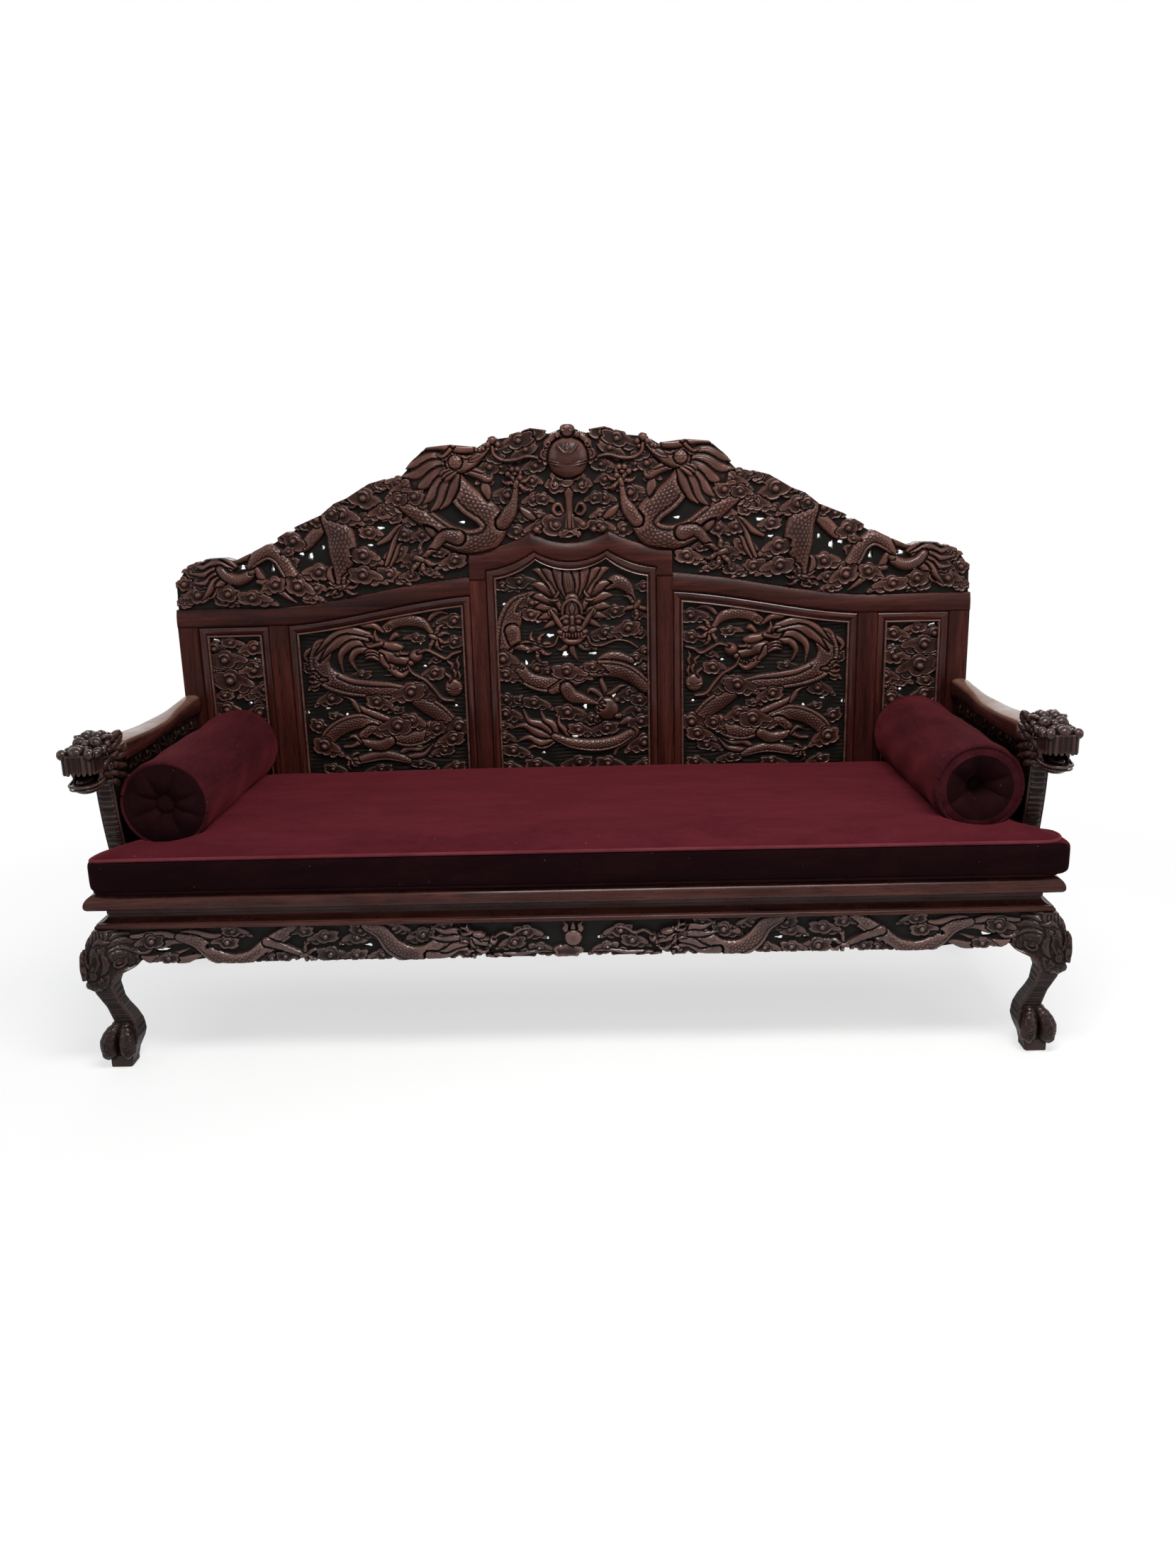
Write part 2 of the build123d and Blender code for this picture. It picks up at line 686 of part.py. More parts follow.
# The clouds round it, and the pair that carries the ball.
cloud_lines = (
    ((0.482, 0.61), (0.51, 0.61)), ((0.49, 0.52), (0.53, 0.52)), ((0.408, 0.61), (0.45, 0.61)),
    ((0.497, 0.284), (0.525, 0.284)), ((0.49, 0.165), (0.53, 0.165)), ((0.286, 0.24), (0.31, 0.24)),
    ((0.67, 0.403), (0.69, 0.403)), ((0.63, 0.197), (0.655, 0.197)), ((0.665, 0.11), (0.70, 0.11)),
    ((0.735, 0.13), (0.765, 0.13)), ((0.775, 0.06), (0.805, 0.06)), ((0.84, 0.078), (0.87, 0.078)),
    ((0.0, 0.663), (0.048, 0.663)), ((0.0, 0.447), (0.042, 0.447)),
)
body_radius = 36.0
tail_radius = 28.0
loop_radius = 18.0
cloud_radius = 26.0
ball_radius = 56.0
ball_share = 0.83           # how high the ball's middle stands, as a share of the crest


def crest_place(share_x, share_z):
    return (share_x * back_half, shoulder_height + share_z * crest_height)


def crest():
    """The crest board, cut to the rails it stands on, with the dragons' bodies and the
    ball between them standing out from its face."""
    face = back_front + crest_set_back
    rear = face + crest_thickness
    half = [crest_place(*point) for point in crest_profile]
    left = [(-x, z) for x, z in reversed(half[:-1])]
    base = shoulder_height - overlap
    outline = make_face(
        Curve() + [
            Spline(*half, *left),
            Polyline(left[-1], (-back_half, base), (back_half, base), half[0]),
        ]
    )
    frame = under_shoulder((centre_half, half_width), -joint_gap, 0)
    frame += mirror(frame, about=Plane.YZ)
    frame += under_cusps(centre_half + joint_gap, -joint_gap, 0)
    clear = outline - frame
    board = upright(clear, face, rear)
    dragon, clouds = Sketch(), Sketch()
    for line, radius in (
        (body_line, body_radius),
        (tail_line, tail_radius),
        (head_line, tail_radius),
        (loop_line, loop_radius),
        *((line, loop_radius) for line in limb_lines),
    ):
        dragon += thick_line([crest_place(*point) for point in line], radius)
    for line in cloud_lines:
        clouds += thick_line([crest_place(*point) for point in line], cloud_radius)
    for form, proud in ((dragon, relief_proud), (clouds - dragon, cloud_proud)):
        form += mirror(form, about=Plane.YZ)
        board += upright(form & clear, face - proud, face + overlap)
    ball_x, ball_z = crest_place(0.0, ball_share)
    ball = Pos(ball_x, face + ball_radius - relief_proud, ball_z) * Sphere(ball_radius)
    half_board = face + crest_thickness / 2
    board += ball & block((-ball_radius, ball_radius), (0, half_board), (0, 2 * shoulder_height))
    parts["crest"] = board

    middle = face + crest_thickness / 2
    for side, sign in (("right", 1), ("left", -1)):
        for share in (0.93, 0.8):
            dowel(["crest", f"side_top_rail_{side}"], (sign * share * back_half, middle, shoulder_height))
        place = shoulder_curve(0) @ 0.5
        dowel(["crest", f"side_top_rail_{side}"], (sign * place.X, middle, place.Y))
    dowel(["crest", "centre_top_rail"], (0, middle, middle_height + cusp_rise - cusp_dip))


# ---- Arms -----------------------------------------------------------------------------
def arm_rail_shape():
    """A rail that dips in the middle and widens in plan towards the head."""
    reach = back_front - head_rear
    side = make_face(
        Curve() + [
            Spline(
                (back_front, arm_height),
                (back_front - reach * 0.5, arm_height - arm_rail_dip),
                (head_rear + reach * 0.14, arm_height),
                (head_rear, arm_height + 2.0),
            ),
            Polyline(
                (head_rear, arm_height + 2.0),
                (head_rear, arm_low),
                (back_front, arm_low),
                (back_front, arm_height),
            ),
        ]
    )
    board = side_on(side, arm_x - arm_rail_front, arm_x + arm_rail_front)
    plan = polygon(
        (arm_x - arm_rail_rear / 2, back_front),
        (arm_x + arm_rail_rear / 2, back_front),
        (arm_x + arm_rail_front / 2, head_rear),
        (arm_x - arm_rail_front / 2, head_rear),
    )
    return board & extrude(plan, 2 * arm_height)


def arm_post_shape():
    """The dragon's neck under the head: its front sweeps back down to the seat frame."""
    rise = neck_top - seat_height
    side = make_face(
        Curve() + [
            Spline(
                (neck_front + neck_sweep, seat_height),
                (neck_front + neck_sweep * 0.5, seat_height + rise * 0.33),
                (neck_front + neck_sweep * 0.1, seat_height + rise * 0.68),
                (neck_front, neck_top),
            ),
            Polyline(
                (neck_front, neck_top),
                (head_rear, neck_top),
                (head_rear, seat_height),
                (neck_front + neck_sweep, seat_height),
            ),
        ]
    )
    return side_on(side, arm_x - arm_post / 2, arm_x + arm_post / 2)


def arm_head_shape():
    """An open-mouthed dragon's head: its side view cut to its plan, with eyes and nose."""
    brow = arm_height + head_rise
    nose = arm_height + head_rise * 0.3
    lip = neck_top + mouth_height * 2.2
    side = make_face(
        Curve() + [
            Spline(
                (head_front, nose),
                (head_front + head_length * 0.05, nose + 14.0),
                (head_front + head_length * 0.2, nose + 12.0),
                (head_front + head_length * 0.5, brow),
                (head_front + head_length * 0.75, brow - 10.0),
                (head_rear, arm_height + 4.0),
            ),
            Polyline(
                (head_rear, arm_height + 4.0),
                (head_rear, neck_top),
                (neck_front, neck_top),
                (head_front + head_length * 0.4, neck_top - 4.0),
                (head_front + head_length * 0.16, neck_top),
                (head_front + head_length * 0.06, neck_top + 14.0),
                (head_front + head_length * 0.09, lip),
                (head_front + head_length * 0.4, lip + mouth_height * 0.6),
                (head_front + head_length * 0.07, lip + mouth_height),
                (head_front, nose),
            ),
        ]
    )
    edge = [
        (head_front, head_half * 0.6),
        (head_front + head_length * 0.06, head_half),
        (head_front + head_length * 0.24, head_half * 0.88),
        (head_front + head_length * 0.6, head_half * 0.92),
        (head_rear, head_half * 0.7),
    ]
    right = [(arm_x + half, y) for y, half in edge]
    left = [(arm_x - half, y) for y, half in reversed(edge)]
    rear_end = Line(right[-1], left[0])
    nose_end = Line(left[-1], right[0])
    plan = make_face(Curve() + [Spline(*right), rear_end, Spline(*left), nose_end])
    head = side_on(side, arm_x - head_half * 1.2, arm_x + head_half * 1.2)
    head &= extrude(plan, arm_height + 2 * head_rise)
    for side_way in (-1, 1):
        eye = (arm_x + side_way * head_half * 0.44, head_front + head_length * 0.52, brow - 13.0)
        head += Pos(*eye) * Sphere(head_half * 0.34)
        nostril = (arm_x + side_way * head_half * 0.74, head_front + head_length * 0.1, nose - 4.0)
        head += Pos(*nostril) * Sphere(head_half * 0.25)
    return head


def arm_panel_shape():
    """The carved board under an arm."""
    return block(
        (arm_x - arm_panel / 2, arm_x + arm_panel / 2),
        (head_rear + rest_gap, back_front - rest_gap),
        (seat_height + arm_sill + rest_gap, arm_low - rest_gap),
    )


def arms():
    mirrored("arm_rail", arm_rail_shape())
    mirrored("arm_post", arm_post_shape())
    mirrored("arm_head", arm_head_shape())
    mirrored("arm_panel", arm_panel_shape())
    low = seat_height + arm_sill
    across = (arm_x - arm_post / 2, arm_x + arm_post / 2)
    mirrored("arm_sill", block(across, (head_rear, back_front), (seat_height, low)))
    stub = (neck_front + neck_sweep + 4.0, head_rear - 4.0)
    rear_end = (back_front - overlap, back_front + tenon_length)
    front_end = (head_rear - tenon_length, head_rear + overlap)
    rail_tenon = (arm_low + tenon_shoulder, arm_height - tenon_shoulder)
    sill_tenon = (seat_height + tenon_shoulder - 4.0, low - tenon_shoulder + 4.0)
    into_seat = (seat_height - stub_length, seat_height + overlap)
    into_head = (neck_top - overlap, neck_top + tenon_length)
    for side, sign in (("right", 1), ("left", -1)):
        rail, sill, post = f"arm_rail_{side}", f"arm_sill_{side}", f"arm_post_{side}"
        head, back_post = f"arm_head_{side}", f"outer_post_{side}"
        cheek = both(arm_x - tenon_thickness / 2, arm_x + tenon_thickness / 2, sign)
        tenon(rail, [back_post], cheek, rear_end, rail_tenon)
        tenon(sill, [back_post], cheek, rear_end, sill_tenon)
        tenon(rail, [head], cheek, front_end, rail_tenon)
        tenon(sill, [post], cheek, front_end, sill_tenon)
        tenon(post, ["seat_rail_front", f"seat_rail_{side}"], cheek, stub, into_seat)
        tenon(post, [head], cheek, stub, into_head)
        tongue = both(arm_x - tongue_thickness / 2, arm_x + tongue_thickness / 2, sign)
        panel = f"arm_panel_{side}"
        inside = (head_rear + 12.0, back_front - 12.0)
        tenon(panel, [rail, sill], tongue, inside, (low - panel_tongue, arm_low + panel_tongue))
        reach = (head_rear - panel_tongue, back_front + panel_tongue)
        tenon(panel, [post, back_post], tongue, reach, (low + 12.0, neck_top - 12.0))
        for share in (0.25, 0.75):
            y = head_rear + share * (back_front - head_rear)
            dowel([sill, f"seat_rail_{side}"], (sign * arm_x, y, seat_height))


# ---- Cushions -------------------------------------------------------------------------
def crown_radius(half_span):
    return (half_span**2 + cushion_crown**2) / (2 * cushion_crown)


def crown_at(x):
    """How far the cushion's top stands above its edge, at a distance from the middle."""
    half_span = half_width - cushion_side
    return cushion_crown * (1 - (x / half_span) ** 2)


def cushion():
    """A T-shaped seat cushion: its front runs past the arms, and its top is crowned."""
    arm_clear = arm_x - arm_rail_front / 2 - 3.0
    wide = half_width - cushion_side
    front = -half_depth + cushion_front
    step = neck_front + neck_sweep * 0.24
    rear = back_front - 3.0
    plan = polygon(
        (-wide, front), (wide, front), (wide, step), (arm_clear, step),
        (arm_clear, rear), (-arm_clear, rear), (-arm_clear, step), (-wide, step),
    )
    base = seat_height + rest_gap
    body = Pos(0, 0, base) * extrude(plan, cushion_edge + cushion_crown)
    body = fillet(body.edges().filter_by(Axis.Z), 12.0)
    peak = base + cushion_edge + cushion_crown
    half_y = (rear - front) / 2
    middle_y = (rear + front) / 2
    round_y = crown_radius(half_y)
    across = Pos(0, middle_y, peak - round_y) * Rot(0, 90, 0) * Cylinder(round_y, seat_width)
    round_x = crown_radius(wide)
    along = Pos(0, 0, peak - round_x) * Rot(90, 0, 0) * Cylinder(round_x, 2 * seat_depth)
    parts["seat_cushion"] = body & across & along


def bolsters():
    """Round bolsters that lie against the arms, with a covered button sunk in each end."""
    x = arm_x - arm_rail_front / 2 - bolster_gap - bolster_radius
    front = -half_depth + bolster_front
    rear = back_front - 4.0
    length = rear - front
    slope = 2 * cushion_crown * x / (half_width - cushion_side) ** 2
    seat = seat_height + rest_gap + cushion_edge + crown_at(x)
    z = seat + bolster_radius * sqrt(1 + slope**2) + rest_gap
    body = Pos(x, (front + rear) / 2, z) * Rot(90, 0, 0) * Cylinder(bolster_radius, length)
    body = fillet(body.edges(), 10.0)
    buttons = []
    for end, way in ((front, 1), (rear, -1)):
        dish = Pos(x, end, z) * Rot(90, 0, 0) * Cylinder(bolster_radius * 0.62, 14.0)
        body -= dish
        seat_y = end + way * 7.0
        cup = Pos(x, seat_y, z) * Rot(90, 0, 0) * Cylinder(button_radius + rest_gap, button_thickness)
        body -= cup
        button = Pos(x, seat_y - way * rest_gap, z) * Rot(90, 0, 0) * Cylinder(button_radius, button_thickness)
        buttons.append(fillet(button.edges(), 2.5))
    mirrored("bolster", body)
    parts["bolster_buttons_right"] = buttons
    parts["bolster_buttons_left"] = [mirror(button, about=Plane.YZ) for button in buttons]


def build():
    seat_rails()
    waist()
    strip()
    seat_boards()
    battens()
    legs()
    aprons()
    back_frame()
    panels()
    crest()
    arms()
    cushion()
    bolsters()
    os.makedirs("parts", exist_ok=True)
    centring = Pos(0, (head_reach - knee_proud) / 2, 0)
    for name, shape in parts.items():
        pieces = shape if isinstance(shape, list) else [shape]
        solids = [centring * solid for piece in pieces for solid in piece.solids()]
        export_step(Compound(children=solids) if len(solids) > 1 else solids[0], f"parts/{name}.step")
    print(len(parts), "nodes")


build()
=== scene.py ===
# %% [markdown]
# # A luohan daybed
# A luohan daybed is a carved hardwood couch: a framed seat on four bulging legs, a stepped back of
# five panels under a crest board, and an arm with a dragon's head at each end. The wood was built as
# solids, so this lesson loads them as a fixed frame and dresses them: rosewood on the plain members,
# real carving in place of the flat boards, and velvet cushions in place of the soft solids.

# %% Load the frame
import math
import bmesh
import bpy
import numpy as np
from mathutils import Matrix, Vector


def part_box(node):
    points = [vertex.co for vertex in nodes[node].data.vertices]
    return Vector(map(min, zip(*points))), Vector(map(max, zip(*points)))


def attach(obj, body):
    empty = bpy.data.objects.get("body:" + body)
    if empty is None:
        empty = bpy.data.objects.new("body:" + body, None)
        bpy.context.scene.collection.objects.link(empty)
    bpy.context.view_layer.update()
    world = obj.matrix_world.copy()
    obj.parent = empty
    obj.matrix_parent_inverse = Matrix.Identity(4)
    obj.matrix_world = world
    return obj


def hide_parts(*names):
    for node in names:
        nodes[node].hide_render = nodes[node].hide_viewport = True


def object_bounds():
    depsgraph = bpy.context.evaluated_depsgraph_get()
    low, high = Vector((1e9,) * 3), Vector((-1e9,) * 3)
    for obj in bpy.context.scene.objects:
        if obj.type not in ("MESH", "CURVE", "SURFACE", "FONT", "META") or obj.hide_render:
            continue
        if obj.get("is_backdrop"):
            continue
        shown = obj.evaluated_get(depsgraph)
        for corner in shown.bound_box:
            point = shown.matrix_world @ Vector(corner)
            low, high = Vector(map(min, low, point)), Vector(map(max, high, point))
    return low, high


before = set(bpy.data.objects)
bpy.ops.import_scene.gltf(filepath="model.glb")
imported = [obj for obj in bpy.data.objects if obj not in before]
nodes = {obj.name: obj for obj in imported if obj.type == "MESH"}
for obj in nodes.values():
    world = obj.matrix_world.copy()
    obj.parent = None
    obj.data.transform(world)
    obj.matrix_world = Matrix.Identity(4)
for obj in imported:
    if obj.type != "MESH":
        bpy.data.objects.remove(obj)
bpy.context.scene.view_settings.view_transform = "Standard"
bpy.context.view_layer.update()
MM = 0.001

# %% [markdown]
# ## The view
# The daybed is seen a little from above, standing in front of its middle, so that the crest, the
# seat and the curve of the legs all show. A camera could be aimed with a constraint. Here its three
# directions are worked out from pitch, heading and roll, because these are what a tripod head sets.

# %% Set the camera
def camera_directions(pitch, heading, roll):
    forward = Vector((math.sin(heading) * math.cos(pitch), math.cos(heading) * math.cos(pitch),
                      -math.sin(pitch)))
    level = Vector((math.cos(heading), -math.sin(heading), 0))
    upright = level.cross(forward)
    right = level * math.cos(roll) + upright * math.sin(roll)
    up = upright * math.cos(roll) - level * math.sin(roll)
    return right, up, forward


right, up, forward = camera_directions(pitch=0.25395, heading=-0.01344, roll=-0.02426)
camera_data = bpy.data.cameras.new("camera")
camera_data.sensor_fit = "VERTICAL"
camera_data.sensor_height = 36.0
camera_data.lens = 27.525
camera_data.clip_start, camera_data.clip_end = 0.05, 60.0
camera = bpy.data.objects.new("camera", camera_data)
camera.matrix_world = Matrix.Translation((0.0764, -2.9219, 1.3206)) @ Matrix(
    (right, up, -forward)).transposed().to_4x4()
bpy.context.scene.collection.objects.link(camera)
bpy.context.scene.camera = camera
print("camera at", [round(v, 3) for v in camera.location], "lens", camera_data.lens)

# %% [markdown]
# ## Shared helpers
# Every material here is a tree of nodes and every made piece a mesh, so the calls that make them
# are kept in one place. They are plain functions: a class would add nothing.

# %% Make meshes, materials and nodes
def new_material(name):
    material = bpy.data.materials.new(name)
    material.use_nodes = True
    tree = material.node_tree
    return material, tree, tree.nodes["Principled BSDF"]


def mesh_object(name, points, faces, smooth=True):
    mesh = bpy.data.meshes.new(name)
    mesh.from_pydata([tuple(p) for p in points], [], [tuple(f) for f in faces])
    mesh.validate()
    mesh.polygons.foreach_set("use_smooth", [smooth] * len(mesh.polygons))
    made = bpy.data.objects.new(name, mesh)
    bpy.context.scene.collection.objects.link(made)
    return made


def group_with(name, inputs, outputs):
    """A shader node group with named sockets; returns it with its inner input and output nodes."""
    group = bpy.data.node_groups.new(name, "ShaderNodeTree")
    for label, kind, value in inputs:
        socket = group.interface.new_socket(name=label, in_out="INPUT", socket_type=kind)
        if value is not None:
            socket.default_value = value
    for label, kind in outputs:
        group.interface.new_socket(name=label, in_out="OUTPUT", socket_type=kind)
    return group, group.nodes.new("NodeGroupInput"), group.nodes.new("NodeGroupOutput")


def node(tree, kind, **settings):
    """A new node. Settings that name an input are set or linked; the others are properties."""
    made = tree.nodes.new("ShaderNode" + kind)
    for key in [k for k in settings if hasattr(made, k) and k not in made.inputs]:
        setattr(made, key, settings.pop(key))
    for key, value in settings.items():
        socket = made.inputs[int(key[1:])] if key[0] == "i" and key[1:].isdigit() else made.inputs[key]
        if isinstance(value, bpy.types.NodeSocket):
            tree.links.new(value, socket)
        else:
            socket.default_value = value
    return made


def span(tree, value, low, high, to_low=0.0, to_high=1.0):
    made = node(tree, "MapRange", Value=value)
    for label, number in (("From Min", low), ("From Max", high), ("To Min", to_low), ("To Max", to_high)):
        made.inputs[label].default_value = number
    return made.outputs["Result"]


def mixed(tree, share, first, second, blend="MIX"):
    made = node(tree, "Mix", data_type="RGBA", blend_type=blend)
    for index, value in ((0, share), (6, first), (7, second)):
        if isinstance(value, bpy.types.NodeSocket):
            tree.links.new(value, made.inputs[index])
        else:
            made.inputs[index].default_value = value if index == 0 else (*value, 1)
    return made.outputs[2]


def sums(tree, operation, first, second):
    made = node(tree, "Math", operation=operation)
    for index, value in enumerate((first, second)):
        if isinstance(value, bpy.types.NodeSocket):
            tree.links.new(value, made.inputs[index])
        else:
            made.inputs[index].default_value = value
    return made.outputs[0]


def finished(tree, shader, colour, rough, height, strength, distance, specular):
    """Links colour, roughness and surface height to a material's shader."""
    tree.links.new(colour, shader.inputs["Base Color"])
    tree.links.new(rough, shader.inputs["Roughness"])
    shader.inputs["Specular IOR Level"].default_value = specular
    raised = node(tree, "Bump", Height=height, Strength=strength, Distance=distance)
    tree.links.new(raised.outputs[0], shader.inputs["Normal"])


def ring_quads(rings, count, closed=False):
    """The faces between rings of count points each; closed joins the last ring to the first."""
    for i in range(rings if closed else rings - 1):
        here, there = i * count, (i + 1) % rings * count
        for k in range(count):
            n = (k + 1) % count
            yield here + k, here + n, there + n, there + k


# %% [markdown]
# ## The room
# The daybed stands on a plain white floor that runs up out of sight, under soft light from above
# and in front. One large soft lamp high in front shows the relief of the carving, a weaker one on
# each side lights the legs and arms, and one behind keeps the back from going black. The
# backdrop is the world's own white, seen by the camera and by reflections, so it adds no light,
# and the floor runs into it: away from the shadow it is drawn in the same white.

# %% Make the floor, the world and the lamps
def shown_as(tree, output, share, lit, seen):
    """Mixes two shaders into a tree's output."""
    either = node(tree, "MixShader", i0=share, i1=lit.outputs[0], i2=seen.outputs[0])
    tree.links.new(either.outputs[0], output.inputs[0])


floor_half = 14.0
# metres from the middle, and the white at the feet
shadow_ends, white_starts, nearby_share = 1.3, 2.5, 0.62
floor_material, tree, shader = new_material("floor_white")
shader.inputs["Base Color"].default_value = (0.86, 0.86, 0.86, 1)
shader.inputs["Roughness"].default_value = 0.55
away = node(tree, "VectorMath", operation="LENGTH", i0=node(tree, "TexCoord").outputs["Object"])
whiter = span(tree, away.outputs["Value"], shadow_ends, white_starts, nearby_share, 1.0)
share = sums(tree, "MULTIPLY", node(tree, "LightPath").outputs["Is Camera Ray"], whiter)
shown_as(tree, tree.nodes["Material Output"], share, shader, node(tree, "Emission", Strength=1.0))
corners = ((-1, -1), (1, -1), (1, 1), (-1, 1))
floor = mesh_object("floor", [(x * floor_half, y * floor_half, 0) for x, y in corners], [(0, 1, 2, 3)], False)
floor.data.materials.append(floor_material)
floor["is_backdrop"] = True

world = bpy.data.worlds.new("room")
bpy.context.scene.world = world
world.use_nodes = True
tree = world.node_tree
tree.nodes.clear()
rays = node(tree, "LightPath")
shown_as(tree, node(tree, "OutputWorld"),
         sums(tree, "MAXIMUM", rays.outputs["Is Camera Ray"], rays.outputs["Is Glossy Ray"]),
         node(tree, "Background", Color=(0.93, 0.96, 1.0, 1), Strength=0.42),
         node(tree, "Background", Color=(1, 1, 1, 1), Strength=1.0))


def lamp(name, place, aim, size, power, colour=(1, 1, 1)):
    data = bpy.data.lights.new(name, "AREA")
    data.shape = "RECTANGLE"
    data.size, data.size_y = size
    data.energy = power
    data.color = colour
    made = bpy.data.objects.new(name, data)
    made.location = place
    made.rotation_euler = (Vector(aim) - Vector(place)).to_track_quat("-Z", "Y").to_euler()
    bpy.context.scene.collection.objects.link(made)


lamp("lamp_above", (0.5, -1.4, 2.9), (0.1, 0.2, 0.6), (2.0, 0.8), 100, (1.0, 0.97, 0.94))
lamp("lamp_left", (-3.2, -2.2, 1.9), (0, 0, 0.6), (1.6, 2.2), 20, (0.95, 0.97, 1.0))
lamp("lamp_right", (3.2, -2.2, 1.9), (0, 0, 0.6), (1.6, 2.2), 26, (1.0, 0.98, 0.96))
lamp("lamp_behind", (0, 3.4, 2.8), (0, 0, 0.8), (3.0, 1.2), 60)

# %% [markdown]
# ## Rosewood
# The wood is dense rosewood, stained a deep red-brown and waxed by use: straight dark pore lines
# along each board, bands that drift between red and near black, and hands' polish on the high
# places. On the carving the low places are painted darker, as shade. An image of wood would repeat
# and slide at corners. A solid grain in the object's own space runs through each piece as it does
# in real timber, so one node group makes it, and each member only says which way its grain runs.

# %% The grain group
grain_draw = 0.955            # the share of a pattern's length that the squeeze takes away


def make_grain():
    group, inside, out = group_with("grain",
            [("Along", "NodeSocketVector", (1, 0, 0)), ("Dark", "NodeSocketColor", (0.02, 0.006, 0.004, 1)),
             ("Middle", "NodeSocketColor", (0.09, 0.02, 0.013, 1)),
             ("Light", "NodeSocketColor", (0.2, 0.06, 0.04, 1))],
            [("Color", "NodeSocketColor"), ("Height", "NodeSocketFloat"), ("Figure", "NodeSocketFloat")])
    place = node(group, "TexCoord").outputs["Object"]
    # Squeeze space along the grain, so that every pattern is drawn out that way.
    squeeze = node(group, "VectorMath", operation="MULTIPLY_ADD", i0=inside.outputs["Along"],
                   i1=3 * (-grain_draw,), i2=(1, 1, 1))
    drawn = node(group, "VectorMath", operation="MULTIPLY", i0=place, i1=squeeze.outputs[0]).outputs[0]
    bands = node(group, "TexNoise", Vector=drawn, Scale=34.0, Detail=5.0, Roughness=0.6, Distortion=0.9)
    pores = node(group, "TexNoise", Vector=drawn, Scale=420.0, Detail=3.0, Roughness=0.7)
    drift = node(group, "TexNoise", Vector=place, Scale=2.6, Detail=3.0, Roughness=0.55)
    figure = sums(group, "ADD", sums(group, "MULTIPLY", bands.outputs["Fac"], 0.72),
                  sums(group, "MULTIPLY", drift.outputs["Fac"], 0.32))
    share = span(group, figure, 0.34, 0.72)
    low = mixed(group, span(group, share, 0.0, 0.5), inside.outputs["Dark"], inside.outputs["Middle"])
    both = mixed(group, span(group, share, 0.5, 1.0), low, inside.outputs["Light"])
    pore = span(group, pores.outputs["Fac"], 0.36, 0.5, 0.45, 1.0)
    tint = node(group, "CombineColor", Red=pore, Green=pore, Blue=pore)
    colour = mixed(group, 1.0, both, tint.outputs[0], "MULTIPLY")
    group.links.new(colour, out.inputs["Color"])
    group.links.new(sums(group, "ADD", pore, sums(group, "MULTIPLY", share, 0.3)), out.inputs["Height"])
    group.links.new(share, out.inputs["Figure"])
    return group


grain = make_grain()


# %% [markdown]
# Wax, dust and hands change the shine from place to place, on plain wood and carving alike, so
# that is a second group. It gives a patchy roughness mask, and a mask of scuffs where an edge or an
# upper face has lost its dark coat and the paler wood shows.

# %% The wear group
def make_wear():
    group, inside, out = group_with(
        "wear", [("Amount", "NodeSocketFloat", 0.5)],
        [(label, "NodeSocketFloat") for label in ("Scuffs", "Shine", "Dust", "Upper")])
    place = node(group, "TexCoord").outputs["Object"]
    patches = node(group, "TexNoise", Vector=place, Scale=9.0, Detail=6.0, Roughness=0.65)
    fine = node(group, "TexNoise", Vector=place, Scale=95.0, Detail=4.0, Roughness=0.7)
    facing = node(group, "SeparateXYZ", Vector=node(group, "NewGeometry").outputs["Normal"]).outputs["Z"]
    upper = span(group, facing, 0.35, 0.95)
    torn = span(group, sums(group, "ADD", patches.outputs["Fac"],
                            sums(group, "MULTIPLY", fine.outputs["Fac"], 0.35)), 0.66, 0.78)
    scuffs = sums(group, "MULTIPLY", sums(group, "MULTIPLY", torn, upper), inside.outputs["Amount"])
    group.links.new(scuffs, out.inputs["Scuffs"])
    group.links.new(upper, out.inputs["Upper"])
    group.links.new(span(group, patches.outputs["Fac"], 0.3, 0.7, -1.0, 1.0), out.inputs["Shine"])
    dust = sums(group, "MULTIPLY", span(group, facing, 0.5, 1.0),
                span(group, fine.outputs["Fac"], 0.45, 0.75))
    group.links.new(sums(group, "MULTIPLY", dust, inside.outputs["Amount"]), out.inputs["Dust"])
    return group


wear = make_wear()


# %% A rosewood with its grain along one direction
wood_specular = 0.08


def grain_and_wear(tree, along, dark, middle, light, amount):
    """The two groups in a material's tree, with their inputs set."""
    grained = node(tree, "Group", node_tree=grain, Along=along, Dark=(*dark, 1), Middle=(*middle, 1),
                   Light=(*light, 1))
    return grained, node(tree, "Group", node_tree=wear, Amount=amount)


def rosewood(name, along, dark, middle, light, worn_and_reflected=(0.15, 0.055, 0.042), roughness=0.32, wear_amount=0.5,
             bump=0.25, polish=0.05, painted_top_reflection=0.0):
    material, tree, shader = new_material(name)
    grained, worn_away = grain_and_wear(tree, along, dark, middle, light, wear_amount)
    colour = mixed(tree, worn_away.outputs["Scuffs"], grained.outputs["Color"], worn_and_reflected)
    # Upper faces are painted paler by this share: a painted reflection of the light on them.
    colour = mixed(tree, sums(tree, "MULTIPLY", worn_away.outputs["Upper"], painted_top_reflection), colour, worn_and_reflected)
    dusty = mixed(tree, sums(tree, "MULTIPLY", worn_away.outputs["Dust"], 0.2), colour, (0.16, 0.125, 0.11))
    rough = sums(tree, "ADD", sums(tree, "MULTIPLY", worn_away.outputs["Shine"], 0.07), roughness)
    rough = sums(tree, "ADD", rough, sums(tree, "MULTIPLY", worn_away.outputs["Scuffs"], 0.2))
    tree.links.new(span(tree, worn_away.outputs["Shine"], -1.0, 1.0, polish * 1.6, polish * 0.4),
                   shader.inputs["Coat Weight"])
    shader.inputs["Coat Roughness"].default_value = 0.16
    finished(tree, shader, dusty, rough, grained.outputs["Height"], bump, 0.0006, wood_specular)
    return material


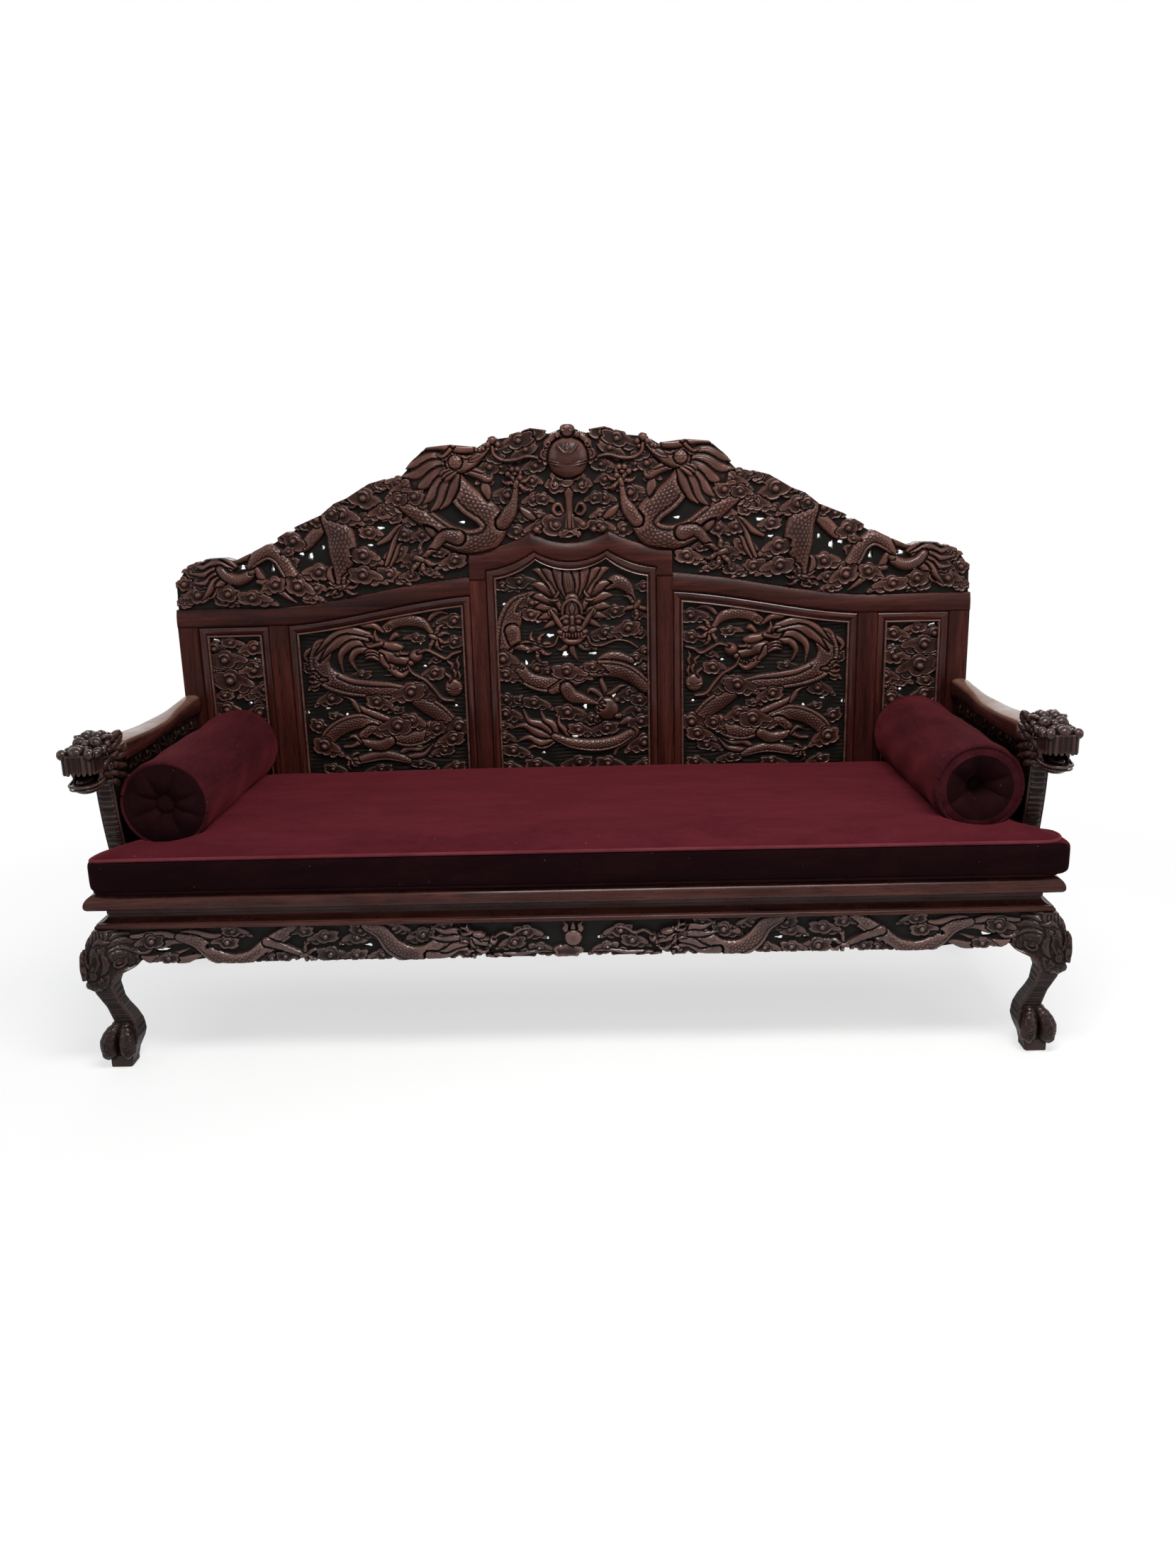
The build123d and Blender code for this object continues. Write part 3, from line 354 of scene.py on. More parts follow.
red_tones = dict(dark=(0.008, 0.0026, 0.0022), middle=(0.031, 0.0072, 0.0052), light=(0.068, 0.0165, 0.0112))
dark_tones = dict(dark=(0.010, 0.0038, 0.0032), middle=(0.038, 0.0108, 0.0084), light=(0.078, 0.0240, 0.0175))
ways = {"x": (1, 0, 0), "y": (0, 1, 0), "z": (0, 0, 1)}
red_wood = {way: rosewood("rosewood_red_" + way, ways[way], **red_tones) for way in ways}
dark_wood = {way: rosewood("rosewood_dark_" + way, ways[way], roughness=0.25, wear_amount=0.12, bump=0.14,
                           polish=0.16, **dark_tones) for way in ways}
print("woods", len(red_wood) + len(dark_wood))

# %% [markdown]
# Every plain member takes the wood whose grain runs along it: rails from side to side, stiles and
# posts upright, end rails from front to back. The long side of a member's own box tells which.

# %% Give each plain member its wood
def grain_way(name):
    low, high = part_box(name)
    lengths = [high[i] - low[i] for i in range(3)]
    return "xyz"[lengths.index(max(lengths))]


seat_level = 0.43
for name, piece in nodes.items():
    low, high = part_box(name)
    woods = dark_wood if high.z < seat_level or "arm_" in name else red_wood
    piece.data.materials.clear()
    piece.data.materials.append(woods[grain_way(name)])
print("dressed", len(nodes), "nodes in wood")

# %% [markdown]
# ## The carver's board
# The dragons and clouds of this daybed are cut into flat boards, so each carving is a field of
# heights: for every point of the board, how far the wood stands in front of the ground. They
# could be sculpted by hand or built from many small solids. A field of heights is closer to what
# the carver does, because each stroke of the chisel raises one form and cuts down what is round it.
# All lengths in the carving cells are millimetres.

# %% A board, and the line that a form follows
wood_reach = 9.0              # how far round its edge a board keeps the distance to it


class Board:
    """A grid over a board's face: x across, z up, heights in front of the ground."""

    def __init__(self, left, right, low, high, step):
        across = np.arange(left, right + step / 2, step)
        up = np.arange(low, high + step / 2, step)
        self.x, self.z = np.meshgrid(across, up)
        self.left, self.low, self.step = left, low, step
        self.height = np.zeros_like(self.x)
        # distance into the wood, below 0 where it is cut away
        self.wood = np.full_like(self.x, wood_reach)

    def near(self, x, z, reach_x, reach_z):
        """The part of the grid round a place, as a pair of slices."""
        rows, columns = self.x.shape
        first = int(np.clip((x - reach_x - self.left) / self.step, 0, columns))
        last = int(np.clip((x + reach_x - self.left) / self.step + 2, 0, columns))
        lowest = int(np.clip((z - reach_z - self.low) / self.step, 0, rows))
        highest = int(np.clip((z + reach_z - self.low) / self.step + 2, 0, rows))
        return slice(lowest, highest), slice(first, last)

    def lay(self, part, into, height, around, floor):
        """Puts a form on the board, cuts a ring round it down to its floor, and lets the wood reach as far.

        into is the distance inside the form's edge, and around is how wide the ring is."""
        field, wood = self.height[part], self.wood[part]
        inside = into > 0
        ring = ~inside & (-into < around)
        field[ring] = np.minimum(field[ring], floor[ring] if np.ndim(floor) else floor)
        field[inside] = height[inside]
        wood[...] = np.maximum(wood, np.clip(into, -wood_reach, wood_reach))


def flowing(points, spacing):
    """A smooth line through points. Every column, also width and lift, is smoothed alike."""
    p = np.asarray(points, float)
    ends = np.vstack([2 * p[0] - p[1], p, 2 * p[-1] - p[-2]])
    pieces = []
    for before, start, end, after in zip(ends, ends[1:], ends[2:], ends[3:]):
        count = max(2, int(np.hypot(*(end - start)[:2]) / spacing))
        t = np.linspace(0, 1, count, endpoint=False)[:, None]
        bend = 2 * before - 5 * start + 4 * end - after
        turn = 3 * start - before - 3 * end + after
        pieces.append(start + 0.5 * ((end - before) * t + bend * t**2 + turn * t**3))
    return np.vstack(pieces + [p[-1:]])


# %% The patterns that a chisel leaves along a form
def scales(run, side, width, size):
    """Overlapping scales: each tip covers the root of the next."""
    across = np.arcsin(np.clip(side, -1, 1)) * width / size
    along = run / size
    row = np.floor(along)
    best = np.zeros_like(along)
    for behind in (0, 1):
        place = along - row + behind
        shifted = across + 0.5 * ((row - behind) % 2)
        off = shifted - np.floor(shifted) - 0.5
        tip = 1.55 * np.sqrt(np.clip(1 - (off / 0.56) ** 2, 0, 1))
        covers = place < tip
        best = np.where(covers, place / 1.55 - 0.5 * (off / 0.56) ** 2, best)
    return best


def strands(run, side, width, count):
    """Fine hair lines along a lock."""
    wave = np.abs(np.sin(np.pi * count * (side + 1) / 2))
    return wave**0.7 - 1


def ribs(run, side, width, size):
    """Plates across a belly."""
    return np.abs(np.sin(np.pi * run / size)) ** 0.5 - 1


def plain(run, side, width, size):
    return np.zeros_like(run)


# %% The chisel
class Chisel:
    """Cuts forms at a place, size, turn and hand. A hand of -1 mirrors what it draws."""

    def __init__(self, board, x=0.0, z=0.0, size=1.0, turn=0.0, hand=1):
        self.board, self.x, self.z, self.size, self.turn, self.hand = board, x, z, size, turn, hand

    def at(self, x, z, size=1.0, turn=0.0, hand=1):
        (x, z), = self.placed([(x, z)])
        return Chisel(self.board, x, z, self.size * size, self.hand * turn + self.turn, self.hand * hand)

    def placed(self, points):
        c, s = math.cos(self.turn), math.sin(self.turn)
        found = []
        for u, v, *_ in points:
            u *= self.hand * self.size
            v *= self.size
            found.append((self.x + u * c - v * s, self.z + u * s + v * c))
        return found

    def stroke(self, line, rise, pattern=plain, count=5.0, depth=1.2, around=2.2, ridge=0, lift=0.0,
               flat=False):
        """A form along a line of (across, up, half width) or (across, up, half width, lift).

        ridge is 1 or -1 for a row of bumps along one side of the line, and flat gives it a level top."""
        rows = []
        for place, point in zip(self.placed(line), line):
            rows.append((*place, max(point[2] * self.size, 0.4), point[3] if len(point) > 3 else lift))
        path = flowing(rows, max(2.0 * self.board.step, 2.4))
        widest = path[:, 2].max() + around
        middle = (path[:, :2].min(0) + path[:, :2].max(0)) / 2
        reach = (path[:, :2].max(0) - path[:, :2].min(0)) / 2 + widest
        part = self.board.near(*middle, *reach)
        x, z = self.board.x[part], self.board.z[part]
        if x.size == 0:
            return
        best = np.full_like(x, 1e3)
        run, side = np.zeros_like(x), np.zeros_like(x)
        width, floor = np.ones_like(x), np.zeros_like(x)
        travelled = 0.0
        row0, col0 = part[0].start, part[1].start
        for start, end in zip(path, path[1:]):
            step = end[:2] - start[:2]
            length = max(float(np.hypot(*step)), 1e-6)
            reach = max(start[2], end[2]) + around + length / 2
            cell = self.board.near(*(start[:2] + step / 2), reach, reach)
            cell = (slice(max(cell[0].start - row0, 0), max(cell[0].stop - row0, 0)),
                    slice(max(cell[1].start - col0, 0), max(cell[1].stop - col0, 0)))
            dx, dz = x[cell] - start[0], z[cell] - start[1]
            t = np.clip((dx * step[0] + dz * step[1]) / length**2, 0, 1)
            off_x, off_z = dx - t * step[0], dz - t * step[1]
            apart = np.hypot(off_x, off_z)
            w = start[2] + t * (end[2] - start[2])
            ratio = apart / w
            better = ratio < best[cell]
            sign = np.where(step[0] * off_z - step[1] * off_x >= 0, 1.0, -1.0) * self.hand
            for field, value in ((best, ratio), (run, travelled + t * length), (side, ratio * sign),
                                 (width, w), (floor, start[3] + t * (end[3] - start[3]))):
                field[cell][better] = value[better]
            travelled += length
        body = np.clip(1 - side**2, 0, 1) ** 0.5
        if flat:
            body = np.clip((1 - np.abs(side)) * width / 2.5, 0, 1) ** 0.5
        thin = np.clip(width / path[:, 2].max(), 0.05, 1) ** 0.6
        cut = pattern(run, side, width, count)
        if ridge:
            spine = side * ridge
            on = np.abs(spine - 0.78) < 0.2
            bumps = 0.55 + 0.45 * np.abs(np.sin(np.pi * run / 5.5))
            lip = np.clip(1 - ((spine - 0.78) / 0.2) ** 2, 0, 1)
            cut = np.where(on, 0, cut)
            body = np.where(on, 0.62 + 0.4 * lip**0.5 * bumps, body)
            body = np.where((spine < 0.58) & (spine > 0.48), body * 0.82, body)
        height = floor + rise * thin * body + depth * cut * np.clip(body * 1.6, 0, 1)
        self.board.lay(part, (1 - best) * width, np.maximum(height, floor * 0.5), around, floor)

    def bead(self, u, v, radius, rise=None, lift=0.0, around=1.6):
        (x, z), = self.placed([(u, v)])
        radius *= self.size
        part = self.board.near(x, z, radius + around, radius + around)
        away = np.hypot(self.board.x[part] - x, self.board.z[part] - z)
        rise = radius * 0.9 if rise is None else rise
        height = lift + rise * np.sqrt(np.clip(1 - (away / radius) ** 2, 0, 1))
        self.board.lay(part, radius - away, height, around, lift)

    def curl(self, u, v, radius, start=0.0, turns=1.2, width=2.2, rise=3.0, lift=0.0):
        """A hook that winds in to its eye."""
        line = []
        count = int(turns * 9) + 2
        for i in range(count):
            share = i / (count - 1)
            angle = start - share * turns * 2 * math.pi
            r = radius * (1 - 0.72 * share)
            line.append((u + r * math.cos(angle), v + r * math.sin(angle), width * (1.15 - 0.35 * share)))
        self.stroke(line, rise, lift=lift, around=1.2)

    def leaf(self, line, widest, rise, count=5.0, lift=0.0, depth=1.1):
        """A lock of hair, a flame or a fin: full near its root and drawn out to a point."""
        shape = (0.55, 0.95, 1.0, 0.8, 0.45, 0.1)
        rows = []
        for i, point in enumerate(line):
            share = i / (len(line) - 1) * (len(shape) - 1)
            low = min(int(share), len(shape) - 2)
            width = shape[low] + (shape[low + 1] - shape[low]) * (share - low)
            rows.append((point[0], point[1], widest * width))
        self.stroke(rows, rise, strands, count, depth, lift=lift)

    def cloud(self, u, v, wide, tall, turn=0.0, hand=1, lift=2.0, rise=7.0, tail=0.5, eye=True):
        """A ruyi cloud: a dished plate with a scalloped head and a long tail, a hook and a bead."""
        pen = self.at(u, v, 1.0, turn, hand)
        if wide > 58 and eye:
            pen.cloud(wide * 0.24, -tall * 0.22, wide * 0.8, tall * 0.75, -0.15, 1, lift - 1.0, rise * 0.8,
                      tail, False)
        pen = pen.at(-0.14 * wide, 0.05 * tall)
        half_x, half_z = wide * 0.42 * pen.size, tall * 0.52 * pen.size
        reach = max(half_x * (1.3 + 1.5 * tail), half_z * 1.4) + 3
        part = self.board.near(pen.x, pen.z, reach, reach)
        dx, dz = self.board.x[part] - pen.x, self.board.z[part] - pen.z
        c, s = math.cos(pen.turn), math.sin(pen.turn)
        across = (dx * c + dz * s) * pen.hand / half_x
        up = (-dx * s + dz * c) / half_z
        away = np.hypot(across, up)
        # The tail sweeps round as it goes out.
        swept = np.arctan2(up, across) + 0.3 * np.clip(away - 0.5, 0, 2)
        lobes = np.abs(np.cos(2.5 * swept - 0.5)) ** 0.55
        streamer = 1.7 * np.exp(-((swept / 0.3) ** 2)) + 0.5 * np.exp(-(((np.abs(swept) - 2.8) / 0.3) ** 2))
        edge = 0.70 + 0.26 * lobes + tail * streamer
        into = (edge - away) * min(half_x, half_z)
        share = np.clip(away / edge, 0, 1)
        rim = np.exp(-(((into - 1.8) / 1.3) ** 2)) - 0.6 * np.exp(-(((into - 5.2) / 1.5) ** 2))
        slope = np.clip(into / 1.3, 0, 1) ** 0.6
        height = lift + slope * (rise * (0.52 + 0.24 * share**2) + 1.6 * rim)
        self.board.lay(part, into, height, 2.0, lift)
        if eye:
            top, small = lift + rise * 0.5, min(wide, tall)
            pen.curl(0.03 * small, 0, small * 0.30, 0.75 * math.pi, 0.8, max(small * 0.07, 2.0), 3.6, top)
            pen.bead(0.02 * small, -0.02 * small, small * 0.17, small * 0.2, top + 0.8)

    def clouds(self, rows, rise, tail=0.5):
        """Clouds in the order that they overlap: across, up, width, height, turn, hand, lift."""
        for x, z, wide, tall, turn, hand, lift in rows:
            self.cloud(x, z, wide, tall, turn, hand, lift, rise, tail)

    def claw(self, u, v, turn=0.0, size=1.0, toes=4, lift=3.0, spread=2.2, hand=1):
        """A dragon's foot: a palm, and toes that arch over a knuckle to a hooked nail."""
        pen = self.at(u, v, size, turn, hand)
        for i in range(toes):
            way = (i - (toes - 1) / 2) * spread / max(toes - 1, 1)
            c, s = math.cos(way), math.sin(way)
            bend = 5.0 if way >= 0 else -5.0
            line = [(2 * c, 2 * s, 5.5), (13 * c, 13 * s, 5.2),
                    (22 * c - bend * s * 0.5, 22 * s + bend * c * 0.5, 4.8),
                    (30 * c - bend * s * 0.1, 30 * s + bend * c * 0.1, 3.2),
                    (36 * c + bend * s, 36 * s - bend * c, 0.9)]
            pen.stroke(line, 7.5, lift=lift)
            pen.bead(20 * c - bend * s * 0.4, 20 * s + bend * c * 0.4, 4.9, 3.6, lift + 4.6, 0.5)
        pen.stroke([(-9, 0, 6), (0, 0, 7), (6, 0, 5)], 8, lift=lift + 0.6, around=0.6)

    def pierce(self, u, v, wide, tall, turn=0.0):
        """A hole sawn right through the ground."""
        pen = self.at(u, v, 1.0, turn)
        part = self.board.near(pen.x, pen.z, wide * pen.size, wide * pen.size)
        dx, dz = self.board.x[part] - pen.x, self.board.z[part] - pen.z
        c, s = math.cos(pen.turn), math.sin(pen.turn)
        across, up = (dx * c + dz * s) / (wide / 2 * pen.size), (-dx * s + dz * c) / (tall / 2 * pen.size)
        round_it = np.arctan2(up, across)
        ragged = 0.78 + 0.14 * np.sin(3 * round_it + u) + 0.08 * np.sin(5 * round_it + v)
        away = (np.hypot(across, up) - ragged) * min(wide, tall) / 2 * pen.size
        self.board.wood[part] = np.minimum(self.board.wood[part], away)

    def holes(self, rows):
        for row in rows:
            self.pierce(*row)

    def ripples(self, gap, rise, seed=3):
        """Long flat waves over the ground."""
        x, z = self.board.x, self.board.z
        drift = 2.5 * np.sin(x / 61 + seed) + 1.2 * np.sin(x / 19 + 2.1 * seed + z / 40)
        wave = np.abs(np.sin((z + drift) * math.pi / gap))
        patch = np.clip(0.5 + np.sin(x / 33 + seed) * np.sin(z / 21 + 2 * seed), 0, 1)
        self.board.height += rise * (wave**0.7 - 0.6) * patch

# %% [markdown]
# ## Where the boards end
# A carved board has to meet the rails and mouldings that hold it, so its edge repeats their
# lines: the sloping shoulders are one drawn-out curve, and the middle section has two cusps.

# %% The lines of the frame
centre_half = 274.0          # half the width of the middle section
middle_height = 1120.0       # its corners
cusp_rise, cusp_dip = 49.0, 29.0
shoulder_end, shoulder_height = 799, 984
shoulder = ((shoulder_end, shoulder_height), (638, 987.6), (452, 1043.6), (271, 1055))


def shoulder_line(x):
    """Height of the top of the side rails at a distance from the middle."""
    t = np.linspace(0, 1, 60)[:, None]
    a, b, c, d = (np.array(p, float) for p in shoulder)
    curve = a * (1 - t) ** 3 + 3 * b * t * (1 - t) ** 2 + 3 * c * t**2 * (1 - t) + d * t**3
    return np.interp(np.abs(x), curve[::-1, 0], curve[::-1, 1])


def arc_between(x, first, top, last):
    """Height on the circle through three points."""
    (ax, az), (bx, bz), (cx, cz) = first, top, last
    d = 2 * (ax * (bz - cz) + bx * (cz - az) + cx * (az - bz))
    a2, b2, c2 = ax * ax + az * az, bx * bx + bz * bz, cx * cx + cz * cz
    ux = (a2 * (bz - cz) + b2 * (cz - az) + c2 * (az - bz)) / d
    uz = (a2 * (cx - bx) + b2 * (ax - cx) + c2 * (bx - ax)) / d
    radius = math.hypot(ax - ux, az - uz)
    side = 1 if top[1] > uz else -1
    return uz + side * np.sqrt(np.clip(radius**2 - (x - ux) ** 2, 0, None))


def cusp_place(half):
    """How far from the middle a cusp stands, for a line at half across."""
    return 105.0 * (0.62 + 0.38 * half / centre_half)


def cusp_line(x, half=centre_half, drop=0.0):
    """Height of the middle section's pointed top, or of the same line a little inside it."""
    x = np.abs(x)
    low = middle_height - drop
    peak = low + cusp_rise
    point = (cusp_place(half), peak)
    between = ((half + point[0]) / 2, (low + peak) / 2 - cusp_rise * 0.2)
    outer = arc_between(x, (half, low), between, point)
    inner = arc_between(x, point, (0, peak - cusp_dip), (-point[0], peak))
    return np.where(x > point[0], outer, inner)


def trim(board, distance):
    board.wood = np.minimum(board.wood, distance)


def field(seed, x, z, size):
    """A slow, smooth unevenness that is the same on every run."""
    rng = np.random.default_rng(seed)
    total = np.zeros_like(x)
    for _ in range(6):
        a, b, c = rng.uniform(-1, 1, 3)
        total += np.sin((a * x + b * z) / size + 6 * c)
    return total / 6

# %% [markdown]
# ## The dragon of an inner panel
# Each inner panel holds one dragon in profile that looks at the middle of the back: its body winds
# behind clouds in three passes, with a pearl before it. The forms that lie deepest are cut first and
# those that stand highest last, as a carver works down from the face.

# %% Carve an inner panel
def profile_head(pen):
    """A dragon's head seen from the side, looking along minus x, drawn round its cheek."""
    for line in ([(28, 34), (40, 46), (52, 50), (62, 58)], [(34, 26), (52, 38), (70, 40), (84, 52)]):
        pen.leaf(line, 9, 9, 5, lift=3)
    pen.leaf([(-40, -14), (-30, -40), (-4, -46), (30, -50)], 6, 6, 4, lift=3)
    pen.stroke([(22, -6, 12), (8, -26, 12), (-6, -42, 10), (-22, -48, 8), (-36, -40, 5), (-44, -32, 2)], 11,
               lift=6)
    for i in range(5):
        pen.bead(-34 + 8 * i, -28 - 3 * i * (i < 3), 3.0, 4.5, 7)
    pen.stroke([(30, 8, 19), (10, 6, 18), (-16, -4, 14), (-44, -8, 12), (-60, 2, 11)], 14, lift=6)
    pen.stroke([(34, 4, 12), (24, -14, 8), (14, -24, 5)], 8, scales, 6.5, 1.6, lift=9)
    pen.bead(-62, 4, 18, 17, 6)
    pen.bead(-48, -14, 9, 9, 11)
    pen.bead(-70, 16, 7, 7, 10)
    pen.stroke([(-40, 12, 3), (-20, 14, 4.5), (0, 22, 5), (18, 34, 2)], 6, strands, 2, lift=15)
    pen.curl(-14, 12, 10, 2.4, 1.1, 2.4, 4, 14)
    pen.bead(-14, 12, 5.5, 5, 15)
    pen.stroke([(-24, 30, 7), (-6, 32, 13), (14, 36, 10), (34, 46, 7), (52, 60, 4.5), (72, 64, 2)], 9,
               lift=13)
    pen.stroke([(30, 42, 7), (44, 38, 6), (60, 34, 4), (70, 36, 1.5)], 8, lift=12)
    pen.stroke([(40, 52, 6), (46, 66, 4), (44, 78, 1.5)], 7, lift=13)
    for i in range(3):
        pen.leaf([(40, 14 - 9 * i), (54, 20 - 8 * i), (68, 22 - 9 * i), (80, 16 - 9 * i)], 6, 7, 3, lift=10)


def inner_carving():
    """The right panel: its dragon looks along minus x, towards the middle."""
    board = Board(302 - 7, 750 + 7, 503 - 7, 985, 1.6)
    pen = Chisel(board)
    pen.ripples(11, 1.6)
    pen.holes(((420, 878, 9, 12), (411, 813, 14, 8), (437, 768, 12, 9), (372, 775, 9, 6), (575, 772, 30, 6),
               (588, 803, 26, 7), (600, 681, 20, 7), (637, 680, 12, 16), (580, 577, 14, 6), (404, 621, 8, 8),
               (716, 799, 8, 10), (600, 641, 30, 8), (440, 585, 24, 8), (745, 690, 8, 14), (690, 700, 20, 6),
               (520, 700, 20, 6), (560, 930, 9, 6), (330, 700, 12, 9)))
    pen.clouds([(*row, 1.0) for row in ((333, 936, 74, 46, 0.2, 1), (333, 876, 56, 40, 0.0, 1),
            (382, 829, 40, 26, -0.2, 1), (437, 892, 56, 30, 0.2, 1), (595, 791, 60, 30, 0.0, 1),
            (724, 812, 44, 38, 0.1, -1), (683, 727, 66, 44, 0.0, 1), (664, 677, 44, 26, 0, -1),
            (500, 690, 44, 26, 0, 1), (712, 646, 58, 44, 0.3, -1), (375, 572, 60, 34, 0, 1),
            (724, 760, 30, 30, 0, 1), (345, 525, 60, 34, 0, 1), (430, 535, 66, 30, 0, -1),
            (560, 522, 70, 30, 0, 1), (680, 525, 60, 34, 0, -1))], 6.0)
    # The pearl, and the flames that rise from it.
    pen.bead(333, 752, 25, 11, 3)
    pen.stroke([(314, 748, 2), (334, 744, 2), (354, 748, 2)], 2, lift=11)
    for x, z, way in ((318, 785, 0.2), (330, 792, 0.0), (345, 780, -0.6), (320, 815, 0.2), (338, 815, -0.5)):
        pen.leaf([(x, z - 12), (x - 3, z), (x + 4 - 12 * way, z + 12), (x - 18 * way, z + 24)], 5, 6, 2,
                 lift=3)
    # The lower passes of the body, the tail and the legs.
    pen.leaf([(500, 563), (470, 582), (440, 578), (412, 592)], 9, 7, 5, lift=2)
    pen.leaf([(480, 556), (450, 560), (425, 566), (402, 590)], 9, 8, 5, lift=3)
    pen.stroke([(630, 545, 9), (590, 556, 13), (540, 564, 14), (495, 556, 12), (470, 546, 8)], 9, scales, 7.5,
               1.9, lift=2, ridge=1)
    pen.stroke([(700, 590, 20), (688, 622, 22), (648, 650, 23), (600, 662, 22), (556, 652, 19)], 12, scales,
               8.5, 2.3, lift=2, ridge=-1)
    pen.stroke([(596, 622, 12), (572, 640, 14), (548, 632, 16), (520, 622, 19), (470, 608, 21),
                (425, 618, 22), (404, 640, 20)], 11, scales, 8.5, 2.3, lift=3, ridge=1)
    pen.stroke([(520, 605, 16), (545, 592, 17), (575, 596, 13), (600, 604, 9), (625, 592, 5), (650, 590, 4)],
               10, scales, 7.5, 1.9, lift=4)
    pen.claw(640, 556, -2.6, 0.9, 4, 3)
    pen.leaf([(600, 600), (620, 620), (640, 612)], 6, 6, 3, lift=4)
    pen.stroke([(520, 665, 9), (560, 682, 11), (590, 696, 8), (606, 706, 5), (622, 722, 3.5), (650, 738, 3),
                (668, 742, 2)], 8, scales, 6.5, 1.6, lift=3)
    pen.leaf([(600, 690), (610, 708), (618, 722), (640, 736)], 8, 7, 4, lift=5)
    pen.stroke([(450, 735, 22), (415, 708, 25), (380, 684, 25), (352, 658, 22)], 12, scales, 8.5, 2.3, lift=2,
               ridge=-1)
    # The clouds that cross them.
    pen.clouds(((335, 640, 74, 54, 0.1, 1, 5), (393, 634, 60, 44, -0.3, 1, 6), (352, 606, 76, 46, 0, 1, 6),
                (447, 658, 70, 46, 0.15, -1, 6), (508, 645, 92, 56, 0.1, 1, 8),
                (696, 590, 76, 56, 0.1, -1, 6), (410, 744, 78, 50, 0.2, -1, 5)), 6.0, 0.35)
    # The upper pass: from the mane round the right side and back along the middle.
    pen.stroke([(700, 862, 14), (728, 862, 9), (741, 848, 6), (734, 834, 3)], 8, scales, 7.5, 1.9, lift=4)
    pen.stroke([(690, 868, 28), (700, 830, 29), (686, 792, 30), (640, 768, 28), (580, 754, 24),
                (520, 748, 22), (450, 742, 18)], 14, scales, 9, 2.4, lift=3, ridge=1)
    pen.stroke([(650, 790, 5), (612, 776, 8), (560, 768, 8), (510, 764, 6), (470, 756, 3)], 4, lift=11)
    pen.claw(694, 783, 0.0, 1.15, 4, 5, 1.3)
    pen.cloud(393, 792, 66, 44, 0.1, 1, 5, 6.0, 0.3)
    pen.cloud(463, 740, 84, 56, 0.0, 1, 10, 6.0, 0.45)
    pen.cloud(541, 715, 66, 46, 0.0, -1, 8, 6.0, 0.5)
    # The arm that reaches forward, with its tuft.
    pen.leaf([(398, 934), (378, 956), (358, 962), (338, 955)], 8, 7, 4, lift=3)
    pen.stroke([(512, 918, 13), (486, 936, 16), (450, 942, 17), (414, 934, 15), (396, 918, 9), (384, 900, 7)],
               11, scales, 8, 2.1, lift=4)
    pen.claw(380, 893, 3.6, 1.15, 5, 5, 3.0)
    pen.curl(505, 921, 11, 0.0, 1.2, 3, 4, 9)
    # The mane sweeps back over the neck.
    for line, wide in ((((520, 912), (545, 930), (572, 930), (590, 938)), 9),
                       (((500, 890), (486, 902), (476, 896)), 9),
                       (((560, 905), (610, 913), (664, 897), (712, 850)), 15),
                       (((566, 890), (625, 893), (668, 868), (700, 832)), 15),
                       (((556, 872), (604, 880), (640, 850), (638, 800)), 13),
                       (((545, 858), (592, 862), (612, 836), (600, 806)), 11)):
        pen.leaf(line, wide, 10, 6, lift=8, depth=1.6)
    profile_head(pen.at(496, 838, 1.0))
    # Two long whiskers.
    pen.stroke([(424, 852, 4), (402, 858, 4.4), (380, 848, 4.6), (352, 834, 4.8), (332, 846, 4.2),
                (310, 852, 3)], 6, lift=8)
    pen.stroke([(456, 818, 3), (446, 796, 3.4), (412, 776, 4), (390, 752, 4.4), (366, 722, 4.4),
                (336, 716, 3)], 6, lift=10)
    return board

# %% [markdown]
# ## The dragon of the middle panel
# The middle dragon looks straight out. Its face is built on the middle line and mirrored: a brow
# ring, two eyes, a broad nose over an upper lip with teeth, antlers and ears, and a mane of pointed
# leaves that radiate from it. Both sides of the mane are one loop over the tips of the leaves.

